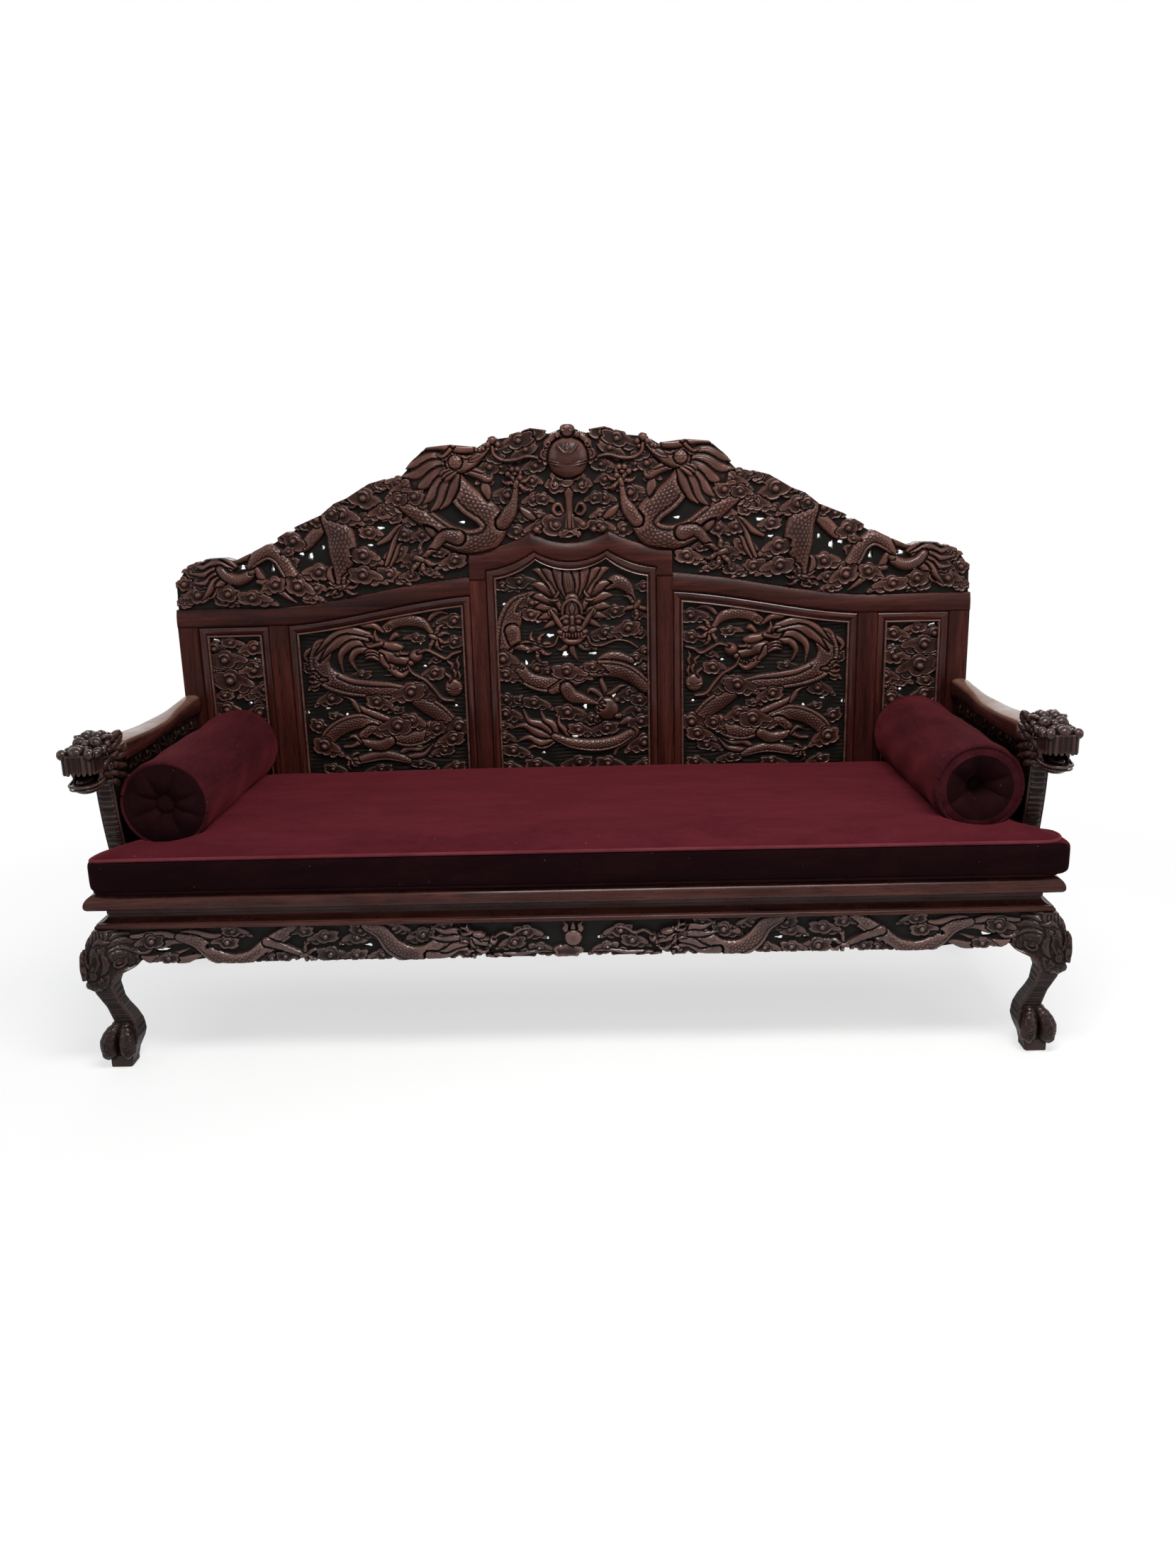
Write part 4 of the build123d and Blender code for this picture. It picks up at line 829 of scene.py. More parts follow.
# %% Carve the middle panel
def facing_head(pen):
    """A dragon's face seen from the front, round the middle of its forehead."""
    both = (pen.at(0, 0, hand=1), pen.at(0, 0, hand=-1))
    leaves = ((14, 102, 17), (48, 106, 18), (80, 108, 17), (104, 108, 15), (110, 68, 16), (112, 34, 16),
              (106, 4, 15), (96, -26, 13), (80, -52, 11))
    for u, v, wide in reversed(leaves):
        for half in both:
            half.leaf([(u * 0.2, v * 0.25 + 2), (u * 0.5, v * 0.62 + 4), (u * 0.8, v * 0.9 + 4), (u, v)],
                      wide, 9, 5, lift=3, depth=1.6)
    for half in both:
        half.leaf([(8, -88), (22, -104), (34, -112), (44, -108)], 7, 7, 3, lift=3)
        half.stroke([(30, -58, 3), (40, -76, 3.2), (52, -98, 3.2), (80, -101, 3), (118, -88, 3),
                     (150, -92, 2.6), (178, -110, 1.6)], 5, lift=5)
        half.bead(52, -8, 14, 9, 8)
        half.bead(52, -8, 8, -3, 15, 0.5)
        half.stroke([(24, -54, 7), (38, -34, 8), (50, -14, 6), (58, -2, 3)], 8, lift=10)
        half.stroke([(30, 4, 8), (40, 22, 7), (46, 40, 6), (56, 60, 4.5), (66, 76, 2)], 9, lift=11)
        half.stroke([(42, 26, 6), (54, 24, 4), (60, 28, 1.5)], 7, lift=12)
        half.stroke([(44, 34, 5), (36, 44, 3.5), (36, 50, 1.5)], 7, lift=12)
    pen.leaf([(0, -86), (-2, -112), (4, -128), (12, -142)], 9, 7, 3, lift=3)
    pen.stroke([(0, 24, 20), (0, -20, 22), (0, -60, 16)], 12, lift=7)
    pen.stroke([(-27, -14, 3.5), (-22, 12, 4.5), (0, 26, 5), (22, 12, 4.5), (27, -14, 3.5)], 6, lift=15)
    pen.leaf([(0, -12), (0, 2), (0, 18)], 9, 5, 4, lift=15)
    pen.stroke([(-34, -70, 6), (-18, -86, 8), (0, -90, 9), (18, -86, 8), (34, -70, 6)], 9, lift=8)
    pen.stroke([(-36, -62, 7), (-18, -66, 9), (0, -62, 10), (18, -66, 9), (36, -62, 7)], 9, lift=11)
    for i in range(-3, 4):
        pen.stroke([(i * 8, -66, 3.2), (i * 8.4, -78, 2.0 if abs(i) < 3 else 3.0)], 4, lift=15)
    for half in both:
        half.stroke([(5, -24, 4), (18, -20, 6), (30, -26, 4)], 6, strands, 2, lift=15)
        half.bead(17, -34, 9, 8, 15)
        half.bead(17, -34, 4.5, 4, 21)
        half.stroke([(6, -52, 6), (16, -50, 7), (26, -54, 4)], 7, lift=16)
        half.curl(17, -53, 7, 0.5, 1.0, 2, 3, 20)
    pen.stroke([(0, -22, 7), (0, -40, 6), (0, -52, 8)], 8, ribs, 7, lift=16)
    pen.bead(0, -54, 10, 8, 18)


def centre_carving():
    board = Board(-211, 211, 496, 1100, 1.7)
    pen = Chisel(board)
    pen.ripples(10, 1.4, 5)
    pen.holes(((-180, 978, 30, 8), (-62, 890, 26, 12), (-22, 838, 18, 18), (-126, 848, 12, 10),
               (-130, 815, 10, 20), (-30, 776, 26, 8), (112, 716, 14, 22), (60, 646, 22, 10),
               (0, 604, 24, 12), (171, 805, 10, 8), (186, 771, 14, 12), (55, 838, 30, 8), (-70, 690, 30, 8),
               (150, 905, 10, 10), (-90, 560, 14, 8), (30, 690, 12, 20)))
    pen.clouds([(*row, 1.0) for row in ((-180, 1027, 60, 34, 0, 1), (-131, 1037, 80, 44, 0.1, 1),
            (190, 1017, 56, 36, 0, -1), (110, 950, 60, 40, 0, -1), (186, 941, 40, 34, 0, 1),
            (80, 893, 76, 44, 0, -1), (190, 890, 50, 36, 0, 1), (42, 857, 44, 30, 0, 1),
            (-190, 862, 50, 32, 0, 1), (-110, 797, 70, 50, 0, -1), (-66, 788, 44, 32, 0, 1),
            (190, 838, 56, 36, 0, -1), (180, 822, 56, 36, 0.2, 1), (190, 790, 50, 34, 0, -1),
            (-182, 712, 62, 40, 0, 1), (-146, 711, 44, 30, 0, 1), (-104, 702, 70, 40, 0, 1),
            (-184, 672, 72, 46, 0, 1), (-10, 674, 76, 50, 0.1, 1), (40, 652, 56, 40, 0, -1),
            (200, 672, 44, 36, 0, 1), (146, 720, 66, 44, 0, -1), (190, 740, 60, 44, 0, -1),
            (170, 676, 74, 46, 0, -1), (190, 703, 60, 40, 0, 1), (-196, 640, 44, 30, 0, 1),
            (-194, 606, 50, 40, 0, 1), (-166, 567, 70, 40, 0, 1), (-100, 525, 76, 40, 0, 1),
            (0, 530, 80, 40, 0, -1), (100, 525, 76, 44, 0, 1), (-180, 520, 60, 36, 0, 1),
            (190, 522, 60, 36, 0, -1))], 6.0)
    # The pearl and its flames.
    for line in ([(84, 706), (66, 728), (44, 738), (36, 722)], [(92, 708), (84, 740), (76, 764), (86, 780)],
                 [(92, 724), (108, 730), (126, 744), (146, 748)], [(60, 660), (58, 650), (66, 642)],
                 [(112, 660), (124, 662), (130, 668)]):
        pen.leaf(line, 8, 7, 3, lift=3)
    pen.bead(89, 684, 33, 15, 3)
    for x, z in ((60, 706), (118, 708), (62, 660), (118, 662)):
        pen.bead(x, z, 7, 5, 8)
    # The tail and its fan, and the far end of the body.
    for line, wide in ([(-56, 596), (-84, 580), (-112, 582), (-136, 572)],
                       9), ([(-56, 602), (-96, 590), (-130, 606), (-168, 592)],
                            11), ([(-60, 606), (-104, 618), (-140, 640), (-174, 634)],
            12), ([(-58, 610), (-90, 640), (-126, 652), (-143, 684)],
                  12), ([(-52, 612), (-62, 640), (-84, 656), (-94, 680)],
                        11), ([(-18, 602), (-30, 626), (-44, 644), (-44, 670)], 8):
        pen.leaf(line, wide, 9, 5, lift=3, depth=1.5)
    pen.stroke([(110, 552, 4), (118, 572, 7), (150, 596, 12), (168, 626, 14), (150, 648, 12), (128, 640, 5)],
               7, lift=3)
    pen.stroke([(154, 612, 13), (118, 592, 16), (76, 582, 18), (30, 582, 17), (-16, 590, 14), (-58, 608, 9)],
               12, scales, 8, 2.2, lift=4, ridge=1)
    for x, z, wide, tall, hand in ((18, 624, 66, 40, 1), (80, 626, 74, 42, -1), (178, 644, 56, 44, -1),
            (184, 582, 72, 54, -1)):
        pen.cloud(x, z, wide, tall, 0, hand, 4, 6.0)
    # The body in its passes, deepest first.
    pen.stroke([(64, 812, 8), (92, 826, 14), (124, 828, 14), (160, 816, 10)], 8, scales, 7.5, 1.9, lift=2)
    pen.stroke([(-150, 800, 20), (-126, 772, 22), (-80, 756, 23), (-34, 762, 22), (0, 780, 18)], 12, scales,
               8.5, 2.3, lift=3, ridge=-1)
    pen.stroke([(-60, 738, 12), (-10, 762, 20), (40, 790, 23), (96, 796, 24), (150, 782, 23), (200, 744, 19)],
               14, scales, 9, 2.4, lift=4, ridge=1)
    pen.stroke([(-20, 744, 20), (-6, 722, 19), (24, 712, 13), (46, 704, 9), (60, 700, 6)], 12, scales, 8, 2.1,
               lift=6)
    pen.claw(62, 700, -0.3, 0.7, 4, 8)
    pen.stroke([(-108, 996, 16), (-150, 972, 28), (-172, 930, 33), (-182, 890, 30), (-190, 850, 24)], 14,
               scales, 9.5, 2.5, lift=3, ridge=-1)
    pen.stroke([(-165, 905, 22), (-158, 874, 17), (-140, 860, 9), (-116, 852, 7)], 11, scales, 8.5, 2.3,
               lift=8)
    pen.claw(-100, 858, 0.3, 1.2, 5, 8, 3.4)
    pen.stroke([(98, 1022, 12), (122, 1034, 19), (148, 1022, 17), (162, 1000, 10), (172, 972, 7)], 11, scales,
               8, 2.2, lift=4)
    pen.claw(176, 968, -2.2, 1.2, 4, 6, 3.4)
    # The clouds in front.
    for x, z, wide, tall, hand, lift in ((-116, 980, 60, 50, -1, 8), (-104, 948, 60, 44, 1, 7),
            (-184, 826, 76, 56, 1, 7), (-180, 783, 64, 44, 1, 6), (142, 903, 80, 50, -1, 5),
            (-6, 788, 100, 48, 1, 10), (60, 800, 60, 34, 1, 8)):
        pen.cloud(x, z, wide, tall, 0, hand, lift, 6.0, 0.35)
    facing_head(pen.at(0, 962))
    return board

# %% [markdown]
# ## The outer panels
# The narrow panels at the ends hold clouds alone, and holes between them let the light through.

# %% Carve an outer panel
def outer_carving():
    board = Board(850, 1004, 496, 914, 1.8)
    pen = Chisel(board)
    pen.ripples(10, 1.4, 2)
    pen.holes(((985, 895, 26, 16), (988, 850, 10, 22), (987, 803, 9, 20), (972, 751, 26, 14),
               (880, 842, 20, 10), (905, 720, 14, 10), (985, 700, 12, 20), (890, 640, 20, 10),
               (960, 600, 24, 12), (900, 540, 18, 10)))
    clouds = ((935, 889, 64, 34, 0, -1), (980, 742, 60, 34, 0, 1), (868, 728, 54, 38, 0, 1),
              (880, 830, 54, 34, 0.5, 1), (912, 742, 56, 38, 0, 1), (986, 780, 44, 34, 0, -1),
              (980, 821, 50, 34, 0, -1), (887, 873, 74, 44, 0, 1), (982, 872, 60, 46, 0, -1),
              (893, 811, 74, 48, 0.1, 1), (950, 842, 100, 56, -0.15, -1), (940, 782, 104, 66, 0, -1),
              (868, 757, 66, 46, 0, 1), (890, 690, 80, 52, 0, 1), (960, 700, 80, 50, 0.1, -1),
              (930, 650, 90, 54, 0, 1), (880, 610, 70, 46, 0, -1), (970, 625, 66, 46, 0, 1),
              (925, 575, 90, 56, 0.1, 1), (980, 560, 60, 44, 0, -1), (880, 535, 76, 48, 0, 1),
              (950, 520, 90, 48, 0, -1))
    pen.clouds([(x, z, *rest, 2.0 + (x * 7 + z * 3) % 5) for x, z, *rest in clouds], 6.5, 0.4)
    return board

# %% [markdown]
# ## The crest
# The crest board stands on the rails and carries two dragons that face each other over a
# treasure ball. The two sides are mirror images, so each form is cut twice, by a chisel of either
# hand. The board's own ground is only the low background: the silhouette comes from the clouds, beads
# and tails that reach past it, which is why the wood grows with each form that is laid on.

# %% The ground of the crest
crest_top, back_half = 1445.0, 1078.0
crest_height = crest_top - shoulder_height
crest_profile = (
    (0.995, 0.0), (0.995, 0.16), (0.968, 0.245), (0.93, 0.285), (0.865, 0.29), (0.84, 0.272), (0.77, 0.345),
    (0.68, 0.462), (0.615, 0.522), (0.582, 0.585), (0.547, 0.616), (0.492, 0.692), (0.415, 0.738),
    (0.38, 0.818), (0.343, 0.885), (0.285, 0.897), (0.23, 0.882), (0.193, 0.935), (0.132, 0.95),
    (0.09, 0.978), (0.045, 0.962), (0.018, 0.985), (0.0, 1.0))


def under_profile(x, z, drop):
    """Distance below the crest's top line, lowered by drop."""
    places = [(back_half * u, shoulder_height + crest_height * v) for u, v in reversed(crest_profile)]
    top = np.interp(np.abs(x), [p[0] for p in places], [p[1] for p in places])
    steep = np.abs(np.gradient(top, x[0], axis=1)) if x.ndim > 1 else 0
    return np.minimum((top - drop - z) / np.sqrt(1 + steep**2), back_half - drop * 0.6 - np.abs(x))


def above_rails(x, z):
    """Distance above the rails that the crest stands on."""
    over_side = z - np.where(np.abs(x) > shoulder_end, shoulder_height, shoulder_line(x))
    over_middle = z - cusp_line(np.clip(x, -centre_half, centre_half))
    beside = np.abs(x) - centre_half
    return np.where(beside > 0, np.minimum(over_side, np.maximum(beside, z - middle_height)), over_middle)


# %% The dragon of the crest, as it stands on the left
def crest_head(pen):
    """The head, looking along plus x, drawn round its eye."""
    # The mane: one mass of combed hair, with the long locks laid over it.
    pen.leaf([(-6, 8), (-44, 0), (-84, -26), (-112, -60)], 52, 7, 14, lift=5, depth=1.8)
    pen.leaf([(-4, -10), (-26, -50), (-50, -90), (-74, -116)], 36, 7, 10, lift=5, depth=1.8)
    for line, wide in (([(-20, 22), (-60, 40), (-100, 26), (-118, -8)], 18),
                       ([(-18, 12), (-60, 16), (-100, 4), (-128, -10)], 18),
                       ([(-16, 0), (-60, -6), (-104, -26), (-140, -30)], 18),
                       ([(-14, -10), (-50, -28), (-84, -52), (-100, -60)], 18),
                       ([(-10, -22), (-40, -50), (-66, -82), (-92, -104)], 18),
                       ([(-4, -30), (-26, -60), (-46, -100), (-72, -124)], 17),
                       ([(6, -30), (-4, -62), (-22, -96), (-44, -118)], 15)):
        pen.leaf(line, wide, 10, 6, lift=9, depth=1.9)
    for turn in range(7):
        c, s = math.cos(2.2 + 0.36 * turn), math.sin(2.2 + 0.36 * turn)
        pen.leaf([(4 + 17 * c, 4 + 17 * s), (4 + 26 * c, 4 + 26 * s), (4 + 37 * c, 4 + 37 * s)], 8, 7, 2,
                 lift=18, depth=1.2)
    pen.stroke([(18, -12, 13), (44, -20, 13), (66, -30, 12), (84, -42, 10), (94, -42, 6), (97, -32, 4)], 12,
               lift=9)
    for i in range(6):
        pen.bead(48 + 8 * i, -8 - 5.2 * i, 3.6, 4, 17)
    pen.leaf([(36, -14), (58, -18), (74, -24), (84, -20)], 5, 5, 2, lift=12)
    pen.stroke([(0, 0, 25), (24, 0, 24), (46, 8, 18), (66, 20, 14), (84, 36, 12), (96, 50, 10)], 16, lift=9)
    pen.stroke([(40, 4, 2.5), (60, 8, 3), (78, 20, 3), (92, 36, 2.5)], 4, lift=19)
    pen.bead(102, 57, 12, 12, 12)
    pen.bead(90, 46, 7, 6, 20)
    pen.bead(116, 46, 8, 8, 9)
    pen.bead(112, 34, 6, 6, 9)
    pen.bead(4, 4, 20, 14, 14)
    for i in range(-3, 4):
        for k in range(-3, 4):
            if i * i + k * k < 10:
                pen.bead(4 + 4.6 * i, 4 + 4.6 * k, 2.5, 1.8, 26 - 0.5 * (i * i + k * k), 0.4)
    pen.stroke([(-22, 10, 3), (-8, 26, 4.5), (12, 26, 4.5), (30, 14, 4), (44, 18, 3)], 7, lift=20)
    pen.stroke([(46, 36, 12), (20, 36, 13), (-6, 40, 11), (-40, 42, 7), (-74, 40, 4)], 14, lift=14)
    pen.stroke([(-6, 38, 7), (-18, 26, 6), (-30, 18, 5), (-44, 22, 2)], 10, lift=14)
    pen.stroke([(0, 44, 6), (-6, 50, 5), (-12, 52, 2)], 9, lift=14)
    for u, v in ((60, 33), (70, 32), (79, 35)):
        pen.bead(u, v, 6, 7, 14)
    for i in range(3):
        pen.leaf([(-14 + 8 * i, -16 - 4 * i), (-30 + 6 * i, -22 - 8 * i), (-40 + 6 * i, -30 - 9 * i)], 7, 7,
                 3, lift=17)


def crest_side(pen):
    """One dragon among its clouds. Across is the distance from the middle line."""
    pen.holes(((888, 1094, 34, 16), (905, 1050, 26, 10), (845, 1062, 22, 14), (808, 1090, 14, 26),
               (717, 1161, 22, 12), (727, 1127, 22, 16), (668, 1143, 14, 18), (702, 1120, 20, 26),
               (930, 1050, 20, 8), (288, 1200, 22, 9), (588, 1130, 12, 34), (510, 1190, 30, 10),
               (640, 1110, 10, 30), (372, 1123, 12, 8), (445, 1135, 10, 14), (540, 1145, 24, 8)))
    clouds = ((1056, 1052, 50, 44, 0.1, 1), (1032, 1084, 50, 34, 0.4, 1), (1016, 1097, 44, 30, 0.3, 1),
              (1058, 1004, 50, 44, 0, 1), (940, 1004, 60, 34, 0, -1), (1023, 1022, 70, 54, 0.1, 1),
              (768, 1108, 60, 44, 0.4, 1), (700, 1006, 60, 34, 0, -1), (685, 1034, 50, 40, 0, -1),
              (646, 1018, 50, 30, 0, 1), (715, 1203, 60, 36, 0.3, 1), (650, 1222, 60, 40, 0.5, -1),
              (596, 1262, 60, 40, 0.3, 1), (626, 1246, 50, 36, 0.3, 1), (568, 1272, 60, 40, 0.2, -1),
              (522, 1298, 60, 36, 0.2, 1), (490, 1300, 50, 34, 0.2, -1), (460, 1306, 60, 40, 0.3, 1),
              (476, 1214, 54, 36, 0, 1), (530, 1177, 66, 40, 0, -1), (556, 1212, 70, 40, 0, 1),
              (590, 1062, 56, 36, 0, -1), (473, 1119, 66, 52, 0, 1), (515, 1095, 60, 34, 0, -1),
              (480, 1063, 84, 44, 0.15, -1), (425, 1105, 60, 50, 0, 1), (436, 1170, 60, 44, 0, -1),
              (402, 1168, 54, 44, 0, 1), (345, 1121, 56, 34, 0, -1), (440, 1060, 60, 34, 0.1, 1),
              (380, 1070, 60, 30, 0.1, -1), (420, 1210, 60, 40, 0, 1), (225, 1305, 50, 40, 0, 1),
              (172, 1340, 60, 44, 0, -1), (172, 1268, 72, 54, 0.3, 1), (136, 1168, 64, 44, 0.2, -1),
              (190, 1220, 40, 40, 0, 1), (120, 1290, 60, 40, 0, 1), (90, 1302, 50, 40, 0, -1),
              (215, 1340, 60, 50, 0, 1), (100, 1253, 60, 40, 0, 1), (62, 1254, 50, 38, 0, -1),
              (115, 1215, 60, 40, 0, 1), (75, 1210, 50, 36, 0, -1), (205, 1372, 70, 44, 0.5, 1),
              (120, 1378, 80, 44, -0.4, 1), (98, 1422, 76, 44, 0, 1), (142, 1402, 100, 46, -0.2, 1),
              (95, 1340, 66, 42, 0, 1), (940, 1030, 40, 30, 0, 1), (990, 1060, 70, 50, 0.2, 1))
    pen.clouds([(x, z, *rest, 2.0 + (x * 3 + z) % 4) for x, z, *rest in clouds], 8.0, 0.35)
    # The tail: a fan of locks, and the band that curls up to it.
    pen.leaf([(842, 1108), (872, 1122), (900, 1112), (930, 1098)], 12, 9, 5, lift=4)
    for line in (([(905, 1098), (936, 1120), (968, 1118), (998, 1108)]),
                 ([(915, 1092), (955, 1108), (990, 1096), (1016, 1102)]),
                 ([(920, 1086), (962, 1088), (994, 1078), (1032, 1082)]),
                 ([(925, 1080), (962, 1074), (990, 1056), (1024, 1056)]),
                 ([(930, 1074), (964, 1058), (984, 1030), (1006, 1008)]),
                 ([(930, 1068), (952, 1050), (962, 1026), (984, 1012)])):
        pen.leaf(line, 12, 12, 5, lift=8, depth=1.8)
    pen.stroke([(946, 1090, 13), (930, 1072, 15), (900, 1062, 16), (872, 1072, 14), (860, 1086, 9)], 15, ribs,
               7, 1.6, lift=10)
    pen.stroke([(876, 1096, 5), (856, 1096, 8), (842, 1074, 10), (826, 1052, 5)], 8, strands, 3, lift=8)
    pen.bead(862, 1082, 9, 8, 16)
    # The hind body, its thigh and foot.
    pen.stroke([(866, 1096, 9), (844, 1120, 18), (812, 1134, 21), (782, 1118, 21), (764, 1086, 21),
                (742, 1050, 20), (716, 1022, 16)], 14, scales, 8.5, 2.4, lift=7, ridge=1)
    pen.leaf([(848, 1056), (808, 1046), (776, 1018), (748, 997)], 11, 9, 4, lift=9)
    pen.stroke([(664, 1196, 16), (690, 1170, 17), (716, 1146, 14), (742, 1138, 8)], 12, scales, 8, 2.2,
               lift=5)
    pen.clouds(((922, 1022, 76, 50, 0, -1, 7), (855, 1010, 96, 46, 0, -1, 8), (808, 1044, 64, 50, 0, 1, 9),
                (752, 1166, 80, 48, 0.7, 1, 8), (762, 1133, 36, 30, 0, 1, 9), (668, 1212, 56, 48, 0.4, -1, 8),
                (730, 1036, 80, 58, 0.2, -1, 10), (690, 1077, 78, 50, 0.2, 1, 9)), 8.0, 0.35)
    pen.stroke([(640, 1216, 26), (616, 1176, 37), (612, 1130, 38), (618, 1092, 24), (626, 1058, 11),
                (628, 1040, 9)], 18, scales, 11, 3.0, lift=7)
    pen.claw(620, 1036, -0.3, 1.15, 4, 9, 1.8, -1)
    pen.claw(632, 1036, -0.15, 0.9, 3, 9, 1.3, 1)
    pen.leaf([(644, 1050), (652, 1066), (650, 1084), (640, 1094)], 9, 9, 4, lift=9)
    pen.clouds(((596, 1224, 84, 50, 0.1, -1, 11), (534, 1262, 110, 58, 0.3, -1, 9),
                (505, 1230, 76, 44, 0, 1, 8), (548, 1116, 76, 52, 0, -1, 8), (550, 1064, 92, 54, 0, -1, 9),
                (456, 1246, 70, 46, 0, 1, 8), (640, 1232, 50, 40, 0.5, 1, 8)), 8.0, 0.35)
    for line, wide in (([(516, 1148), (486, 1164), (462, 1190), (444, 1200)], 9),
                       ([(498, 1092), (482, 1124), (470, 1160), (448, 1196)], 9),
                       ([(486, 1090), (470, 1118), (462, 1140), (452, 1150)], 7)):
        pen.leaf(line, wide, 9, 3, lift=6)
    # The great loop of the fore body.
    pen.stroke([(450, 1262, 20), (410, 1234, 25), (366, 1198, 27), (320, 1164, 30), (268, 1148, 33),
                (222, 1158, 35), (202, 1190, 36), (222, 1222, 36), (262, 1252, 36), (300, 1294, 33),
                (318, 1330, 28)], 19, scales, 11, 3.0, lift=6, ridge=-1)
    pen.leaf([(222, 1306), (220, 1284), (216, 1266), (214, 1252)], 14, 9, 6, lift=5)
    pen.leaf([(128, 1232), (112, 1218), (98, 1208), (82, 1198)], 12, 9, 5, lift=5)
    pen.leaf([(352, 1164), (366, 1174), (380, 1186), (390, 1196)], 13, 9, 5, lift=5)
    # The arm that reaches up for the ball, and the leg below.
    pen.stroke([(180, 1196, 20), (160, 1222, 19), (148, 1246, 12), (143, 1270, 8), (138, 1294, 7)], 13,
               scales, 8.5, 2.4, lift=9)
    pen.claw(138, 1298, 1.9, 1.1, 5, 10, 3.6)
    for x, z in ((142, 1324), (128, 1312), (148, 1334), (160, 1322), (134, 1334)):
        pen.bead(x, z, 8, 8, 11)
    pen.stroke([(300, 1160, 22), (334, 1166, 17), (362, 1142, 12), (388, 1116, 8), (400, 1108, 7)], 12,
               scales, 8.5, 2.4, lift=12)
    pen.claw(404, 1106, 3.5, 1.35, 5, 11, 3.6)
    pen.clouds(((436, 1288, 90, 54, 0, 1, 9), (402, 1266, 80, 50, 0.2, -1, 11), (322, 1096, 76, 46, 0, 1, 7),
                (462, 1262, 60, 40, 0, 1, 8)), 8.0, 0.35)
    crest_head(pen.at(300, 1352, hand=-1))
    pen.stroke([(198, 1392, 4), (194, 1372, 4.5), (172, 1358, 4.5), (140, 1358, 4.5), (108, 1366, 4.5),
                (82, 1362, 4), (72, 1354, 4)], 6, lift=14)
    pen.bead(72, 1354, 6, 6, 12)


# %% The treasure ball on its cloud stand
def crest_middle(board):
    pens = (Chisel(board), Chisel(board, hand=-1))
    for pen in pens:
        pen.cloud(88, 1182, 66, 40, 0, 1, 4, 8)
        pen.bead(88, 1176, 9, 8, 12)
        pen.bead(64, 1174, 8, 8, 12)
    pens[0].cloud(0, 1184, 148, 74, 0, 1, 8, 8, 0, False)
    for pen in pens:
        pen.curl(36, 1188, 15, 0.3, 1.0, 3.5, 5, 14)
        pen.bead(36, 1188, 9, 9, 14)
        pen.curl(22, 1161, 9, 2.6, 1.0, 2.6, 4, 15)
        pen.stroke([(16, 1222, 4), (24, 1240, 5), (36, 1240, 6), (42, 1226, 6), (32, 1214, 5), (20, 1216, 3)],
                   9, lift=9)
    for i in range(3):
        pens[0].stroke([(-26 + 6 * i, 1160, 2.5), (-14 + 4 * i, 1174 - 3 * i, 2.8), (0, 1180 - 5 * i, 3),
                        (14 - 4 * i, 1174 - 3 * i, 2.8), (26 - 6 * i, 1160, 2.5)], 4, lift=16)
    for lean in (-1, 1):
        pens[0].stroke([(lean * 4, 1300, 8), (lean * 4, 1250, 6), (lean * 5, 1210, 4.5), (lean * 9, 1180, 4)],
                       9, strands, 3, lift=13)
    pens[0].stroke([(0, 1300, 18), (0, 1262, 11), (0, 1230, 7), (0, 1200, 6), (0, 1180, 5)], 13, strands, 3,
                   1.6, lift=14)
    for pen in pens:
        pen.cloud(62, 1366, 44, 60, 0, 1, 8, 8, 0.1)
        pen.cloud(42, 1290, 70, 54, 0, 1, 9, 8, 0.1, False)
        pen.leaf([(14, 1418), (34, 1416), (54, 1398), (66, 1380)], 10, 10, 3, lift=8)
    pens[0].cloud(0, 1306, 96, 50, 0, 1, 11, 9, 0, False)
    for pen in pens:
        for u, v, r in ((20, 1312, 10), (36, 1290, 11), (22, 1420, 9)):
            pen.curl(u, v, r, 0.4, 1.1, 2.8, 5, 19)
            pen.bead(u, v, r * 0.45, 4, 20)
        pen.curl(58, 1368, 14, 1.2, 1.2, 3, 5, 15)
        pen.curl(52, 1396, 10, 1.2, 1.2, 2.6, 5, 15)
    pens[0].bead(0, 1360, 54, 26, 9, 3)
    for v, bow in ((1352, 8), (1346, 8)):
        pens[0].stroke([(-50, v + 2, 0.9), (-26, v - bow * 0.6, 1.1), (0, v - bow, 1.1),
                        (26, v - bow * 0.6, 1.1), (50, v + 2, 0.9)], 1.4, lift=32, around=0.5)
    for pen in pens:
        pen.stroke([(0, 1374, 3), (10, 1374, 3), (20, 1384, 2.6), (26, 1394, 1)], 3, lift=33, around=0.5)
        pen.stroke([(0, 1376, 2.2), (3, 1386, 2), (0, 1398, 1.2)], 3, lift=33, around=0.5)
        pen.bead(9, 1436, 9, 8, 12)
        pen.bead(9, 1436, 4, 2, 20)
    pens[0].bead(0, 1430, 20, 12, 8)
    for pen in pens:
        pen.curl(9, 1434, 8, 0.6, 1.0, 2, 3, 18)


def crest_carving():
    board = Board(-1084, 1084, 980, 1447, 1.9)
    ground = under_profile(board.x, board.z, 5.0)
    board.wood = ground
    for hand in (1, -1):
        crest_side(Chisel(board, hand=hand))
    crest_middle(board)
    # The edge of the board is rasped to a flowing line: tips that stand out past it go.
    board.wood = np.minimum(board.wood, under_profile(board.x, board.z, -3.0))
    within = np.minimum(back_half - np.abs(board.x), crest_top - board.z)
    trim(board, np.minimum(within, above_rails(board.x, board.z)))
    return board

# %% [markdown]
# ## The aprons
# Under the seat each apron carries a pair of thin dragons that run to a pearl in the middle. The
# end aprons and the back one are the same carving, cut shorter.

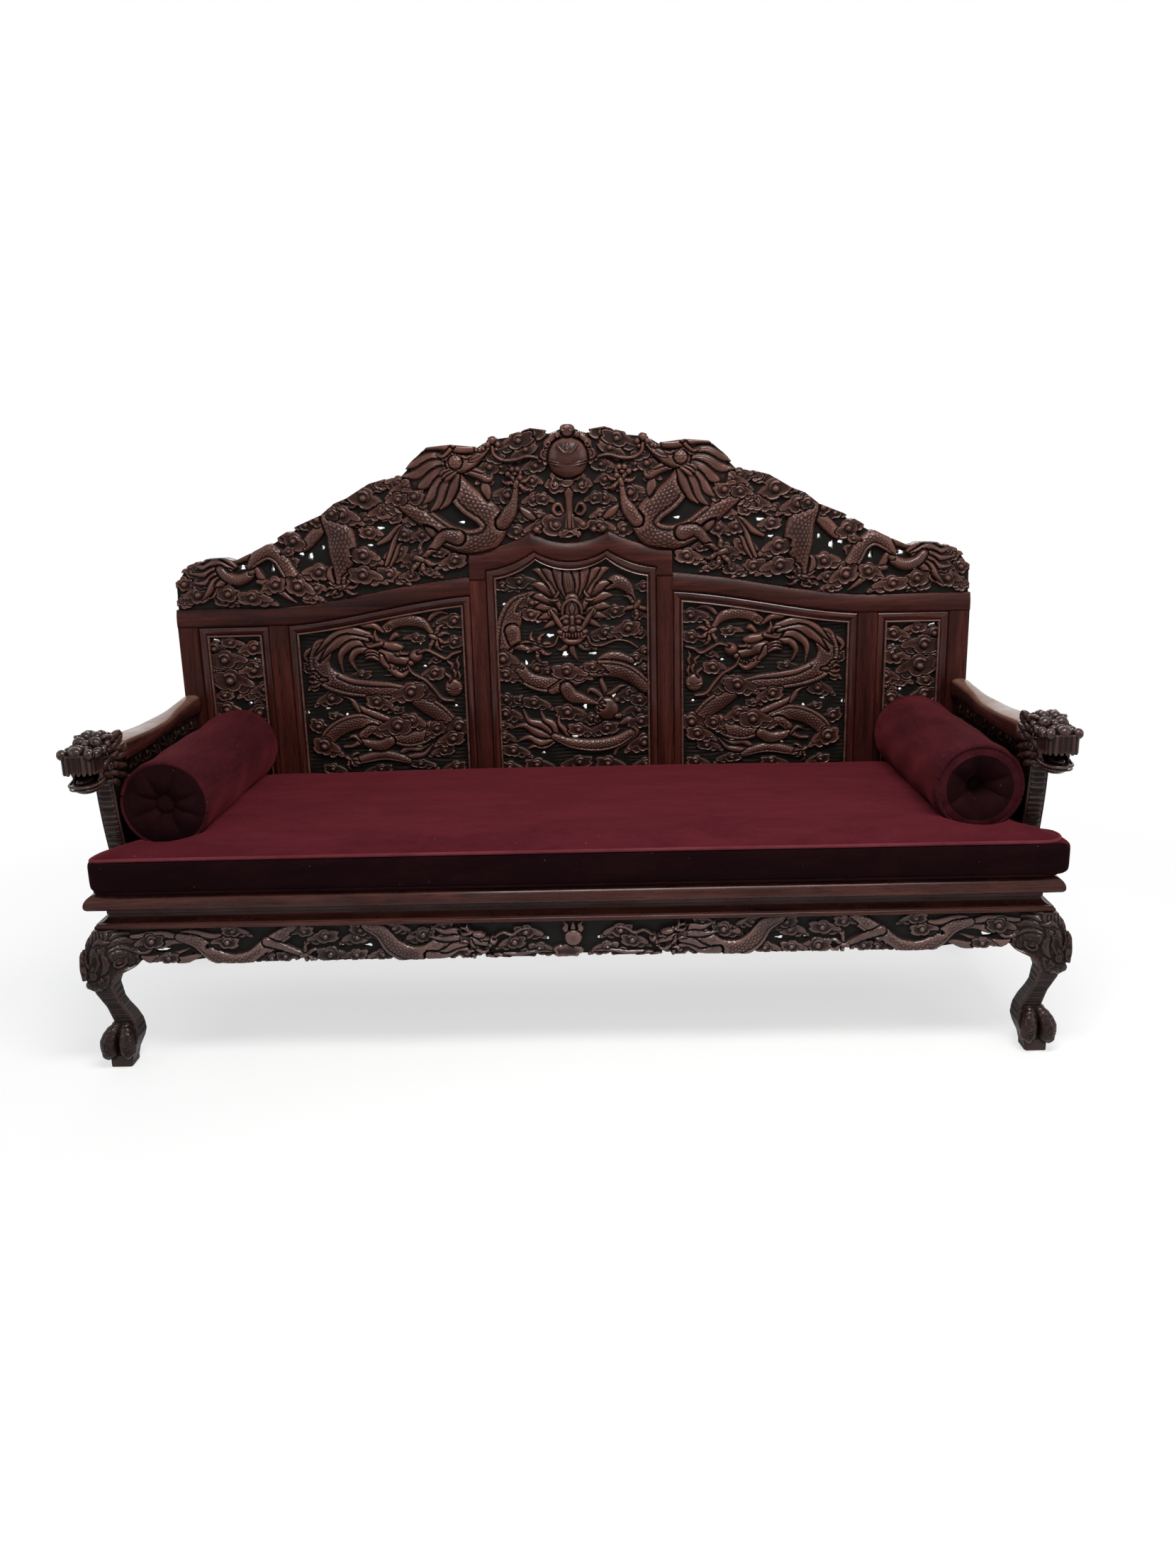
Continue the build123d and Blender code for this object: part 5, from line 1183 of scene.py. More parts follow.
# %% Carve an apron
def apron_side(pen, reach):
    """One dragon of the apron; reach is the distance to the leg."""
    for line in ([(reach, 318), (940, 322), (900, 314), (860, 318)],
                 [(reach - 10, 300), (950, 296), (916, 304), (880, 300)],
                 [(reach, 284), (985, 282), (960, 300), (930, 312)],
                 [(reach - 20, 268), (970, 262), (930, 268), (880, 286)],
                 [(930, 262), (900, 258), (870, 266), (838, 276)],
                 [(900, 322), (870, 324), (820, 316), (790, 326)]):
        pen.leaf(line, 10, 7, 4, lift=3)
    pen.stroke([(900, 316, 10), (860, 304, 15), (828, 274, 17), (786, 256, 17), (740, 262, 18),
                (704, 288, 18), (668, 314, 17), (640, 330, 14)], 10, scales, 8, 2.2, lift=3, ridge=1)
    for x, z, wide, tall, turn, hand in ((974, 304, 66, 40, 0, 1), (938, 262, 56, 30, 0, 1),
            (1000, 262, 50, 30, 0, -1), (800, 300, 60, 36, 0.2, 1), (770, 326, 60, 30, 0, -1),
            (700, 258, 60, 30, 0, 1), (655, 262, 50, 30, 0, -1), (575, 308, 70, 36, 0, 1),
            (548, 264, 74, 40, 0, -1), (500, 305, 60, 36, 0, 1), (478, 322, 60, 34, 0.2, -1),
            (505, 262, 60, 30, 0, 1), (350, 308, 64, 40, 0, 1), (400, 326, 60, 30, 0, -1),
            (444, 262, 60, 30, 0, 1), (300, 258, 60, 30, 0, -1), (250, 262, 56, 32, 0, 1),
            (100, 310, 64, 36, 0, -1), (142, 286, 60, 36, 0, 1), (70, 268, 60, 34, 0, -1),
            (118, 256, 56, 28, 0, 1), (300, 328, 50, 26, 0, 1), (620, 322, 50, 30, 0, 1)):
        if x < reach - 12:
            pen.cloud(x, z, wide, tall, turn, hand, 2.0, 6.5, 0.4)
    pen.stroke([(700, 300, 12), (670, 290, 10), (640, 276, 7), (622, 268, 6)], 8, scales, 7.5, 1.9, lift=5)
    pen.claw(616, 266, 3.1, 0.9, 4, 5, 2.6)
    pen.stroke([(470, 336, 12), (436, 318, 18), (412, 284, 21), (376, 264, 21), (336, 266, 21),
                (306, 288, 19), (286, 306, 16)], 12, scales, 8, 2.2, lift=3, ridge=1)
    pen.stroke([(330, 262, 12), (290, 262, 9), (262, 276, 7), (236, 270, 5)], 8, scales, 7.5, 1.9, lift=5)
    pen.claw(232, 268, 3.0, 0.8, 4, 5, 2.6)
    for line in ([(240, 306), (268, 318), (296, 318), (322, 330)],
                 [(238, 296), (270, 302), (300, 300), (330, 306)],
                 [(244, 286), (270, 284), (292, 272), (312, 272)]):
        pen.leaf(line, 9, 8, 4, lift=7, depth=1.4)
    profile_head(pen.at(216, 292, 0.55, hand=1))
    pen.stroke([(180, 300, 2.5), (160, 312, 3), (140, 306, 3), (120, 318, 2.5), (100, 322, 2)], 5, lift=7)
    for i in range(3):
        pen.leaf([(200 - 20 * i, 256 + 2 * i), (160 - 16 * i, 250 + 4 * i), (110 - 12 * i, 256 + 4 * i),
                  (50 - 8 * i, 262)], 5, 6, 3, lift=4)


def apron_carving(reach):
    """An apron from its middle out to both ends. A short one keeps the middle of the design."""
    board = Board(-reach, reach, 246, 341, 1.9)
    board.wood = np.minimum(9.0, board.z - 259.0 + 3 * np.sin(board.x / 21))
    for hand in (1, -1):
        pen = Chisel(board, hand=hand)
        holes = ((944, 284, 44, 16), (862, 270, 44, 13), (812, 318, 18, 8), (600, 300, 18, 12),
                 (470, 284, 26, 12), (530, 285, 16, 8), (300, 300, 14, 10), (196, 268, 20, 8),
                 (60, 292, 14, 14), (380, 296, 30, 10))
        pen.holes(hole for hole in holes if hole[0] + 30 < reach)
        apron_side(pen, min(reach - 4, 1010))
    middle = Chisel(board)
    for x in (-18, 0, 18):
        middle.leaf([(x * 0.5, 306), (x, 318), (x * 0.8, 326), (x * 1.3, 336)], 7, 7, 3, lift=4)
    middle.cloud(0, 262, 90, 36, 0, 1, 5, 6, 0, False)
    middle.bead(0, 296, 20, 10, 5)
    rim = np.minimum(reach - np.abs(board.x), 340.0 - board.z)
    trim(board, np.minimum(np.maximum(rim, 0.05), board.z - 252.0))
    return board

# %% [markdown]
# ## From heights to wood
# A field of heights becomes a solid board: the grid is laid out at each height, squares that lie in
# a hole or past the edge are left out, and the points along such an edge slide onto its true
# line, so that it is smooth and not stepped. A flat back and walls close it. Two values are
# kept at every point for the finish: how high it stands, and how deep it lies in a hollow. The
# colour is painted darker, as shade, on the low ground and in the hollows, and lighter, as a
# highlight, on the high places, and the wax coat follows them too.

# %% Turn a board into a closed mesh
def blurred(values, reach):
    """Box blur, twice along each axis."""
    for axis in 2 * tuple(range(values.ndim)):
        pad = [(0, 0)] * values.ndim
        pad[axis] = (reach + 1, reach)
        total = np.cumsum(np.pad(values, pad, "edge"), axis)
        count = values.shape[axis]
        ahead = np.take(total, range(2 * reach + 1, 2 * reach + 1 + count), axis)
        values = (ahead - np.take(total, range(count), axis)) / (2 * reach + 1)
    return values


def carved_mesh(name, points, quads, basis, origin, material, relief, hollow):
    """A piece from points in its own millimetres, turned by basis and moved to origin."""
    basis = np.array(basis, float)
    if np.linalg.det(basis) < 0:
        quads = quads[:, ::-1]
    mesh = bpy.data.meshes.new(name)
    mesh.vertices.add(len(points))
    mesh.vertices.foreach_set("co", (points * MM @ basis + np.array(origin)).astype(np.float32).ravel())
    mesh.loops.add(quads.size)
    mesh.loops.foreach_set("vertex_index", quads.astype(np.int32).ravel())
    mesh.polygons.add(len(quads))
    mesh.polygons.foreach_set("loop_start", np.arange(0, quads.size, 4, dtype=np.int32))
    mesh.update(calc_edges=True)
    mesh.polygons.foreach_set("use_smooth", [True] * len(quads))
    for label, values in (("relief", relief), ("hollow", hollow)):
        mesh.attributes.new(label, "FLOAT", "POINT").data.foreach_set("value", values.astype(np.float32))
    mesh.materials.append(material)
    made = bpy.data.objects.new(name, mesh)
    bpy.context.scene.collection.objects.link(made)
    print(name, len(quads), "faces")
    return made


sides = (("right", 1), ("left", -1))


def facing_front(hand=1):
    """The directions of a board that faces the front: across, back and up."""
    return (hand, 0, 0), (0, 1, 0), (0, 0, 1)


def solid_board(name, board, ground, back, material, basis=facing_front(), origin=(0, 0, 0),
                both_faces=False, span_x=None):
    """A closed mesh. Across, depth and up follow basis; ground and back are depths in millimetres."""
    wood, step = board.wood, board.step
    kept = (wood[:-1, :-1] + wood[1:, :-1] + wood[:-1, 1:] + wood[1:, 1:]) > 0
    if span_x:
        centre = (board.x[0, :-1] + board.x[0, 1:]) / 2
        kept &= ((centre > span_x[0]) & (centre < span_x[1]))[None, :]
    around = np.zeros(wood.shape, int)
    for rows in (slice(None, -1), slice(1, None)):
        for columns in (slice(None, -1), slice(1, None)):
            around[rows, columns] += kept
    used = around > 0
    slope_z, slope_x = np.gradient(wood, step)
    steep = slope_x**2 + slope_z**2 + 1e-4
    slide = np.where(used & (around < 4) & (np.abs(wood) < 1.5 * step), wood / steep, 0.0)
    shift_x = np.clip(-slope_x * slide, -0.75 * step, 0.75 * step)
    shift_z = np.clip(-slope_z * slide, -0.75 * step, 0.75 * step)
    x, z = board.x + shift_x, board.z + shift_z
    raised = board.height
    hollow = np.clip((blurred(raised, 3) - raised) / 5.0, -1, 1)
    front = np.stack([x[used], (ground - raised)[used], z[used]], 1)
    depth = (back + raised)[used] if both_faces else np.full(front.shape[0], float(back))
    rear = np.stack([x[used], depth, z[used]], 1)
    count = len(front)
    index = np.full(wood.shape, -1)
    index[used] = np.arange(count)
    a, b, c, d = index[:-1, :-1], index[:-1, 1:], index[1:, 1:], index[1:, :-1]
    face = np.stack([a[kept], b[kept], c[kept], d[kept]], 1)
    sides = [face, face[:, ::-1] + count]
    open_to = np.pad(kept, 1)
    for edge, neighbour in (((a, b), open_to[:-2, 1:-1]), ((b, c), open_to[1:-1, 2:]),
                            ((c, d), open_to[2:, 1:-1]), ((d, a), open_to[1:-1, :-2])):
        wall = kept & ~neighbour
        start, end = edge[0][wall], edge[1][wall]
        sides.append(np.stack([end, start, start + count, end + count], 1))
    top = max(float(raised[used].max()), 1.0)
    relief, hollow = (np.concatenate([values[used], values[used] if both_faces else np.zeros(count)])
                      for values in (raised / top, hollow))
    return carved_mesh(name, np.vstack([front, rear]), np.vstack(sides), basis, origin, material, relief,
                       hollow)


def dressed(made, body, slot, *replaced):
    """Puts a piece on its body, in place of the solids it stands for; slot is not used."""
    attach(made, body)
    if replaced:
        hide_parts(*replaced)
    return made


# %% [markdown]
# ## The carver's finish
# Old carving isn't one colour. The ground is painted near black, partly its dark stain and greenish
# wax and partly painted shade for its depth. The forms are red-brown, their crests are painted
# lighter, partly rubbed wear and partly a painted highlight, and shinier, and the hollows are
# painted dark as shade. The two values kept in the mesh drive this: they are mixed with the same
# grain and wear as the plain wood.

# %% A carved rosewood
# ground is the near-black colour of the low ground: partly its stain and greenish wax, partly painted shade
# for its depth.
def carved_rosewood(name, along, ground=(0.0045, 0.0042, 0.0032), form=(0.027, 0.0092, 0.0067),
                    crest=(0.092, 0.036, 0.026), roughness=0.27, polish=0.36):
    material, tree, shader = new_material(name)
    relief = node(tree, "Attribute", attribute_name="relief").outputs["Fac"]
    hollow = node(tree, "Attribute", attribute_name="hollow").outputs["Fac"]
    tones = [[c * share for c in form] for share in (0.5, 1.0, 1.5)]
    grained, worn_away = grain_and_wear(tree, along, *tones, 0.35)
    # Painted shade: the lower a point lies, the more it takes the ground colour.
    clear_of_painted_shade = span(tree, relief, 0.06, 0.34)
    colour = mixed(tree, clear_of_painted_shade, ground, grained.outputs["Color"])
    # Painted highlight: convex crests are painted in the crest colour, partly rubbed wear and partly a
    # highlight.
    highlight_and_rubbed = sums(tree, "MULTIPLY", span(tree, hollow, -0.02, -0.24),
                  span(tree, worn_away.outputs["Shine"], -1.2, 0.8))
    colour = mixed(tree, highlight_and_rubbed, colour, crest)
    # Painted shade: the hollows are painted near black.
    colour = mixed(tree, sums(tree, "MULTIPLY", span(tree, hollow, 0.02, 0.24), 0.92), colour,
                   (0.005, 0.0035, 0.003))
    colour = mixed(tree, sums(tree, "MULTIPLY", worn_away.outputs["Dust"], 0.2), colour, (0.15, 0.13, 0.11))
    rough = sums(tree, "ADD", span(tree, hollow, -0.3, 0.3, roughness - 0.05, roughness + 0.25),
                 sums(tree, "MULTIPLY", worn_away.outputs["Shine"], 0.05))
    # The shine is a coat of wax: none in the hollows, most on the rubbed crests.
    waxed = sums(tree, "MULTIPLY", span(tree, hollow, 0.12, -0.25, polish * 0.1, polish),
                 span(tree, relief, 0.05, 0.3, 0.25, 1.0))
    tree.links.new(waxed, shader.inputs["Coat Weight"])
    shader.inputs["Coat Roughness"].default_value = 0.17
    tool_marks = node(tree, "TexNoise", Vector=node(tree, "TexCoord").outputs["Object"], Scale=160.0,
                      Detail=3.0, Roughness=0.6)
    height = sums(tree, "ADD", sums(tree, "MULTIPLY", grained.outputs["Height"], 0.4),
                  tool_marks.outputs["Fac"])
    finished(tree, shader, colour, rough, height, 0.3, 0.0008, wood_specular)
    return material


carved_wood = {way: carved_rosewood("rosewood_carved_" + way, ways[way]) for way in ways}
# The aprons' crests are painted lighter still: a stronger painted highlight.
apron_wood = {way: carved_rosewood("rosewood_apron_" + way, ways[way], (0.0045, 0.0038, 0.0034),
        (0.023, 0.0100, 0.0084), (0.105, 0.052, 0.043), polish=0.6) for way in ways}
head_wood = {way: carved_rosewood("rosewood_round_" + way, ways[way], (0.0035, 0.0026, 0.0024),
        (0.0175, 0.0068, 0.0054), (0.050, 0.021, 0.016), roughness=0.22, polish=0.55) for way in "yz"}
leg_wood = carved_rosewood("rosewood_leg", ways["z"], (0.003, 0.0023, 0.0021), (0.0125, 0.0054, 0.0045),
                           (0.036, 0.016, 0.0128), roughness=0.24, polish=0.3)

# %% [markdown]
# Each board is cut to the opening it fills, with a margin that goes under the moulding, and the
# mirrored panels are one carving laid out with its across direction reversed.

# %% Lay the panels in the back
panel_ground, panel_back = 370.0, 385.5
inner = inner_carving()
inner_drop, tucked_in = 78.0, 7.0            # from the rail's top to the opening, and under the moulding
inner_top = shoulder_line(inner.x) - inner_drop + tucked_in
trim(inner, inner_top - inner.z)
for side, hand in sides:
    made = solid_board(f"dragon_panel_{side}", inner, panel_ground, panel_back, carved_wood["x"],
                       facing_front(hand))
    dressed(made, "frame", "carved_wood", f"inner_panel_{side}")

centre = centre_carving()
centre_half_wide, centre_drop = 211.0, 66.0
centre_top = cusp_line(centre.x, centre_half_wide, centre_drop)
trim(centre, centre_top - centre.z)
made = solid_board("dragon_panel_centre", centre, panel_ground, panel_back, carved_wood["z"])
dressed(made, "frame", "carved_wood", "centre_panel")

outer = outer_carving()
for side, hand in sides:
    made = solid_board(f"cloud_panel_{side}", outer, panel_ground, panel_back, carved_wood["z"],
                       facing_front(hand))
    dressed(made, "frame", "carved_wood", f"outer_panel_{side}")

# %% Stand the crest on the back
crest_ground, crest_back = 361.0, 391.5
crest = crest_carving()
joints_across = (-1090.0, -520.0, -170.0, 170.0, 520.0, 1090.0)
for number, ends in enumerate(zip(joints_across, joints_across[1:])):
    made = solid_board(f"crest_{number + 1}", crest, crest_ground, crest_back, carved_wood["x"], span_x=ends)
    dressed(made, "frame", "carved_wood")
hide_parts("crest")

# %% Hang the aprons under the seat
apron_thick = 11.5
long_apron, short_apron = apron_carving(1014.0), apron_carving(314.0)
made = solid_board("dragon_apron_front", long_apron, -359.0, apron_thick - 359.0, apron_wood["x"])
dressed(made, "frame", "carved_wood", "apron_front")
made = solid_board("dragon_apron_rear", long_apron, 0.0, apron_thick, apron_wood["x"],
                   ((-1, 0, 0), (0, -1, 0), (0, 0, 1)), (0, 0.372, 0))
dressed(made, "frame", "carved_wood", "apron_rear")
for side, hand in sides:
    basis = ((0, hand, 0), (-hand, 0, 0), (0, 0, 1))
    made = solid_board(f"dragon_apron_{side}", short_apron, 0.0, apron_thick, apron_wood["y"], basis,
                       (hand * 1.0655, 0.0065, 0))
    dressed(made, "frame", "carved_wood", f"apron_{side}")

# %% [markdown]
# ## The mouldings round the panels
# Each opening of the back is lined with a moulding whose corners are mitred: a quirk against the
# stile, a broad swell that falls towards the panel, and a fine bead at its edge that catches the
# light. A bevel could hint at it, but the tops are curved. The opening's outline can be drawn at
# any distance in, so the profile is simply one such outline for each of its points, joined in rings.

# %% Run the mouldings
moulded_wood = {way: rosewood("rosewood_moulded_" + way, ways[way], roughness=0.22, wear_amount=0.2,
                              bump=0.12, polish=0.5, **red_tones) for way in "xz"}
# The fine bead is painted paler than the rest, a painted highlight along its edge.
bead_highlight_wood = rosewood("rosewood_bead_highlight", ways["x"], dark=(0.030, 0.014, 0.011), middle=(0.085, 0.040, 0.032),
                     light=(0.14, 0.075, 0.06), roughness=0.2, bump=0.1, polish=0.6)
rail_deep, opening_low, centre_opening = 49.0, 475.0, 232.0
top_slant = 29.0 / 28.0       # how much faster the profile runs in along the sloping tops
moulding_profile = ((0, 352.6), (1.4, 355.6), (2.8, 352.8), (5, 351.4), (12, 351.2), (17, 352.6), (21, 355.6),
                    (22.2, 357.4), (22.9, 353.6), (24.2, 350.9), (25.8, 350.2), (27.4, 351.2), (28.5, 354.6),
                    (28.5, 389.4), (0, 389.4))
first_of_bead, last_of_bead = 8, 11


def opening(kind, inset):
    """The points of an opening's outline at a distance in, and how many lie along its top."""
    drop = rail_deep + inset * top_slant
    if kind == "centre":
        half = centre_opening - inset
        cusp = cusp_place(half)
        top_x = np.concatenate([np.linspace(half, cusp, 12), np.linspace(cusp, -cusp, 31)[1:],
                np.linspace(-cusp, -half, 12)[1:]])
        top_z = cusp_line(top_x, half, rail_deep + inset * top_slant * 0.85)
    elif kind == "inner":
        top_x = np.linspace(778.0 - inset, 274.0 + inset, 40)
        top_z = shoulder_line(top_x) - drop
    else:
        top_x = np.array((1025.0 - inset, 829.0 + inset))
        top_z = np.full(2, 935.0 - inset)
    low = opening_low + inset
    return [(top_x[-1], low), (top_x[0], low)] + list(zip(top_x, top_z)), len(top_x)


def moulding(name, kind, hand):
    rings = [opening(kind, inset)[0] for inset, _ in moulding_profile]
    top_count = opening(kind, 0)[1]
    count = len(rings[0])
    points = [(hand * x * MM, y * MM, z * MM)
              for ring, (_, y) in zip(rings, moulding_profile) for x, z in ring]
    faces = [quad[::hand] for quad in ring_quads(len(rings), count, closed=True)]
    # The bead has its own paler wood, a painted highlight, and the two upright sides have theirs.
    woods = [2 if first_of_bead <= i <= last_of_bead else int(k in (1, count - 1))
             for i in range(len(rings)) for k in range(count)]
    made = mesh_object(name, points, faces, False)
    for wood in (moulded_wood["x"], moulded_wood["z"], bead_highlight_wood):
        made.data.materials.append(wood)
    made.data.polygons.foreach_set("material_index", np.array(woods, np.int32))
    print(name, len(faces), "faces,", top_count, "points along its top")
    return made


for kind in ("inner", "outer"):
    for side, hand in sides:
        dressed(moulding(f"moulding_{kind}_{side}", kind, hand), "frame", "frame_wood",
                f"{kind}_moulding_{side}")
dressed(moulding("moulding_centre", "centre", 1), "frame", "frame_wood", "centre_moulding")

# %% [markdown]
# ## The rails under the crest
# The faces of these rails are planed to a soft round that falls back towards the crest, so a band of
# light runs along them. A bevel would round both edges alike, and only at the very edge. The board
# of heights that the carving uses can fall away as slowly as the plane left it.

# %% Round the faces of the top rails
rail_round, rail_round_wide, rail_ease, rail_ease_wide = 8.0, 34.0, 3.0, 8.0
rail_front, rail_back = 348.5, 394.5


def rounded_rail(name, ends, levels, top_line, bottom_line, hand):
    board = Board(*ends, *levels, 2.5)
    top, bottom = top_line(board.x), bottom_line(board.x)
    slope = np.sqrt(1 + np.gradient(top, board.x[0], axis=1) ** 2)
    below, above = (top - board.z) / slope, (board.z - bottom) / slope
    trim(board, np.minimum(below, above))
    board.height = rail_round * (1 - (1 - np.clip(below / rail_round_wide, 0, 1)) ** 2.2)
    board.height -= rail_ease * (1 - np.clip(above / rail_ease_wide, 0, 1)) ** 2
    made = solid_board(name, board, rail_front + rail_round, rail_back, red_wood["x"], facing_front(hand))
    return dressed(made, "frame", "frame_wood")


def side_rail_top(x):
    return shoulder_line(np.clip(x, 0, shoulder_end))


def centre_rail_bottom(x):
    return np.where(np.abs(x) < centre_opening, cusp_line(x, centre_opening, rail_deep), 1045.0)


for side, hand in sides:
    made = rounded_rail(f"top_rail_{side}", (centre_half, back_half), (930.0, 1060.0), side_rail_top,
                        lambda x: side_rail_top(x) - rail_deep, hand)
    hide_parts(f"side_top_rail_{side}")
made = rounded_rail("top_rail_centre", (-centre_half, centre_half), (1040.0, 1172.0), cusp_line,
                    centre_rail_bottom, 1)
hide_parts("centre_top_rail")

# %% [markdown]
# ## The carver's block
# The dragon heads on the arms, the necks under them and the legs are carved in the round, so a
# board of heights can't hold them. Each is a block of distances instead: below zero in the wood,
# above zero in the air. Balls, limbs and slabs are joined to it or cut from it with a small round
# in the corner, as a gouge leaves it, and a skin is then drawn where the distance is zero. Boxes and
# balls put together as meshes would leave their inner walls and seams to see.

# %% A block, and what joins it or is cut from it
class Block:
    """A grid of distances over a block of wood, in millimetres. With mirrored, only x >= 0 is kept."""

    def __init__(self, low, high, step, mirrored=False):
        self.low, self.step, self.mirrored = np.array(low, float), step, mirrored
        if mirrored:
            self.low[0] = -step * 1.5
        self.axes = [np.arange(a, b + step, step) for a, b in zip(self.low, high)]
        self.field = np.full([len(axis) for axis in self.axes], 30.0)

    def near(self, low, high):
        """The part of the grid in a box: its slices, and its coordinates ready to combine."""
        part = tuple(slice(*np.searchsorted(axis, (a, b))) for axis, a, b in zip(self.axes, low, high))
        x, y, z = (axis[cut] for axis, cut in zip(self.axes, part))
        return part, x[:, None, None], y[None, :, None], z[None, None, :]

    def join(self, part, distance, blend=1.5):
        field = self.field[part]
        share = np.clip(0.5 + 0.5 * (field - distance) / blend, 0, 1)
        field[...] = field * (1 - share) + distance * share - blend * share * (1 - share)

    def cut(self, part, distance, blend):
        field = self.field[part]
        share = np.clip(0.5 - 0.5 * (field + distance) / blend, 0, 1)
        field[...] = field * (1 - share) - distance * share + blend * share * (1 - share)

    def ball(self, x, y, z, rx, ry=None, rz=None, blend=1.5):
        ry, rz = ry or rx, rz or rx
        reach = 6 + blend
        part, px, py, pz = self.near((x - rx - reach, y - ry - reach, z - rz - reach),
                                     (x + rx + reach, y + ry + reach, z + rz + reach))
        u, v, w = (px - x) / rx, (py - y) / ry, (pz - z) / rz
        near = np.sqrt(u**2 + v**2 + w**2) + 1e-6
        distance = near * (near - 1) / (np.sqrt((u / rx) ** 2 + (v / ry) ** 2 + (w / rz) ** 2) + 1e-6)
        self.join(part, distance, blend)

    def slab(self, low, high, edge=2.0, blend=1.5, cut=False):
        """A box with rounded edges."""
        low, high = np.array(low, float), np.array(high, float)
        part, *place = self.near(low - 6 - blend, high + 6 + blend)
        q = [np.abs(p - c) - h + edge for p, c, h in zip(place, (low + high) / 2, (high - low) / 2)]
        outside = np.sqrt(sum(np.maximum(side, 0) ** 2 for side in q))
        distance = outside + np.minimum(np.maximum(np.maximum(q[0], q[1]), q[2]), 0) - edge
        (self.cut if cut else self.join)(part, distance, blend)

    def limb(self, line, blend=1.5, grooves=0, depth=1.0, cut=False):
        """A round form along a line of (x, y, z, radius), with grooves combed along it if asked."""
        path = flowing([(p[0], p[1], p[3], p[2]) for p in line], 6.0)[:, [0, 1, 3, 2]]
        reach = path[:, 3].max() + 5 + blend
        part, x, y, z = self.near(path[:, :3].min(0) - reach, path[:, :3].max(0) + reach)
        if min(x.size, y.size, z.size) == 0:
            return
        best = np.full((x.size, y.size, z.size), 1e3)
        for start, end in zip(path, path[1:]):
            step = end[:3] - start[:3]
            length = float(step @ step) + 1e-9
            dx, dy, dz = x - start[0], y - start[1], z - start[2]
            t = np.clip((dx * step[0] + dy * step[1] + dz * step[2]) / length, 0, 1)
            ox, oy, oz = dx - t * step[0], dy - t * step[1], dz - t * step[2]
            radius = start[3] + t * (end[3] - start[3])
            distance = np.sqrt(ox**2 + oy**2 + oz**2) - radius
            if grooves:
                ahead = step / math.sqrt(length)
                side = np.cross(ahead, (1.0, 0.0, 0.0))
                side /= np.linalg.norm(side) + 1e-6
                turn = (oy * side[1] + oz * side[2]) / np.maximum(radius, 1.0)
                distance = distance + depth * (1 - np.abs(np.sin(math.pi * grooves * (turn + 1) / 2)) ** 0.6)
            best = np.minimum(best, distance)
        (self.cut if cut else self.join)(part, best, blend)

    def whole(self):
        """The full field and its low corner, with the mirrored half laid beside it."""
        if not self.mirrored:
            return self.field, self.low
        half = self.field[2:]              # the first two layers lie past the middle
        low = self.low.copy()
        low[0] = -(half.shape[0] - 0.5) * self.step
        return np.concatenate([half[::-1], half]), low


# %% Draw the skin of a block
def skinned(field, low, step):
    """Points and four-sided faces where a field of distances crosses zero."""
    cells = np.array(field.shape) - 1
    total, number = np.zeros((*cells, 3), np.float32), np.zeros(cells, np.int8)

    def corner(c):
        return field[tuple(slice(k, k + n) for k, n in zip(c, cells))]

    for axis in range(3):
        for first in (0, 1):
            for second in (0, 1):
                c = [0, 0, 0]
                c[(axis + 1) % 3], c[(axis + 2) % 3] = first, second
                d = list(c)
                d[axis] = 1
                f, g = corner(c), corner(d)
                crossed = (f < 0) != (g < 0)
                t = np.where(crossed, f / np.where(crossed, f - g, 1), 0)
                number += crossed
                for k in range(3):
                    total[..., k] += np.where(crossed, t if k == axis else c[k], 0)
    used = number > 0
    index = np.full(cells, -1)
    index[used] = np.arange(used.sum())
    points = (np.argwhere(used) + total[used] / number[used][:, None]) * step + low
    faces = []
    for axis in range(3):
        u, v = (axis + 1) % 3, (axis + 2) % 3
        inner = [slice(1, -1)] * 3
        inner[axis] = slice(None, -1)
        beyond = list(inner)
        beyond[axis] = slice(1, None)
        f, g = field[tuple(inner)], field[tuple(beyond)]
        crossed = (f < 0) != (g < 0)
        place = np.argwhere(crossed)
        outward = (f < 0)[crossed]
        place[:, u] += 1
        place[:, v] += 1
        quad = []
        for du, dv in ((-1, -1), (0, -1), (0, 0), (-1, 0)):
            cell = place.copy()
            cell[:, u] += du
            cell[:, v] += dv
            quad.append(index[tuple(cell.T)])
        quad = np.stack(quad, 1)
        quad[~outward] = quad[~outward][:, ::-1]
        faces.append(quad)
    return points, np.vstack(faces).astype(np.int32)

# %% [markdown]
# ## The dragon heads of the arms
# Each arm ends in a dragon's head: a broad snout with a ball nose between two nostril curls, a row
# of upper teeth like a fluted curtain, a smooth lower jaw, ball eyes under knobbed brows, horn
# stubs, and a mane in combed tufts. x runs across the head, y from the nose back, z up from the chin.

# %% Carve a head
head_long, head_tall = 218.0, 135.0


def teeth(block):
    """The upper lip and teeth: a curtain that bends round the snout, pointed tooth by tooth."""
    part, x, y, z = block.near((-50, -6, 40), (50, 78, 112))
    half, front, round_corner = 37.0, 5.0, 25.0
    side = np.abs(x) - half + round_corner
    ahead = (front + round_corner) - y
    plan = np.hypot(np.maximum(side, 0), np.maximum(ahead, 0)) + np.minimum(np.maximum(side, ahead),
            0) - round_corner
    around = np.arctan2(np.maximum(side, 0) + 0 * y, np.maximum(ahead, 0) + 0 * x) * round_corner
    run = np.where((side > 0) | (ahead > 0), np.minimum(np.abs(x), half - round_corner) + around, 0.0)
    run = run + np.maximum(y - front - round_corner, 0) * (np.abs(x) > half - round_corner)
    tooth = 12.6
    share = np.abs((run / tooth) % 1 - 0.5) * 2
    plan = plan - 1.9 * (1 - share**2) + 0.7
    low_edge = 51.0 + 12.0 * share - 0.05 * np.maximum(y - 30, 0)
    outer = np.maximum(np.maximum(plan, low_edge - z), z - 100)
    block.join(part, np.maximum(outer, y - 66), 1.2)


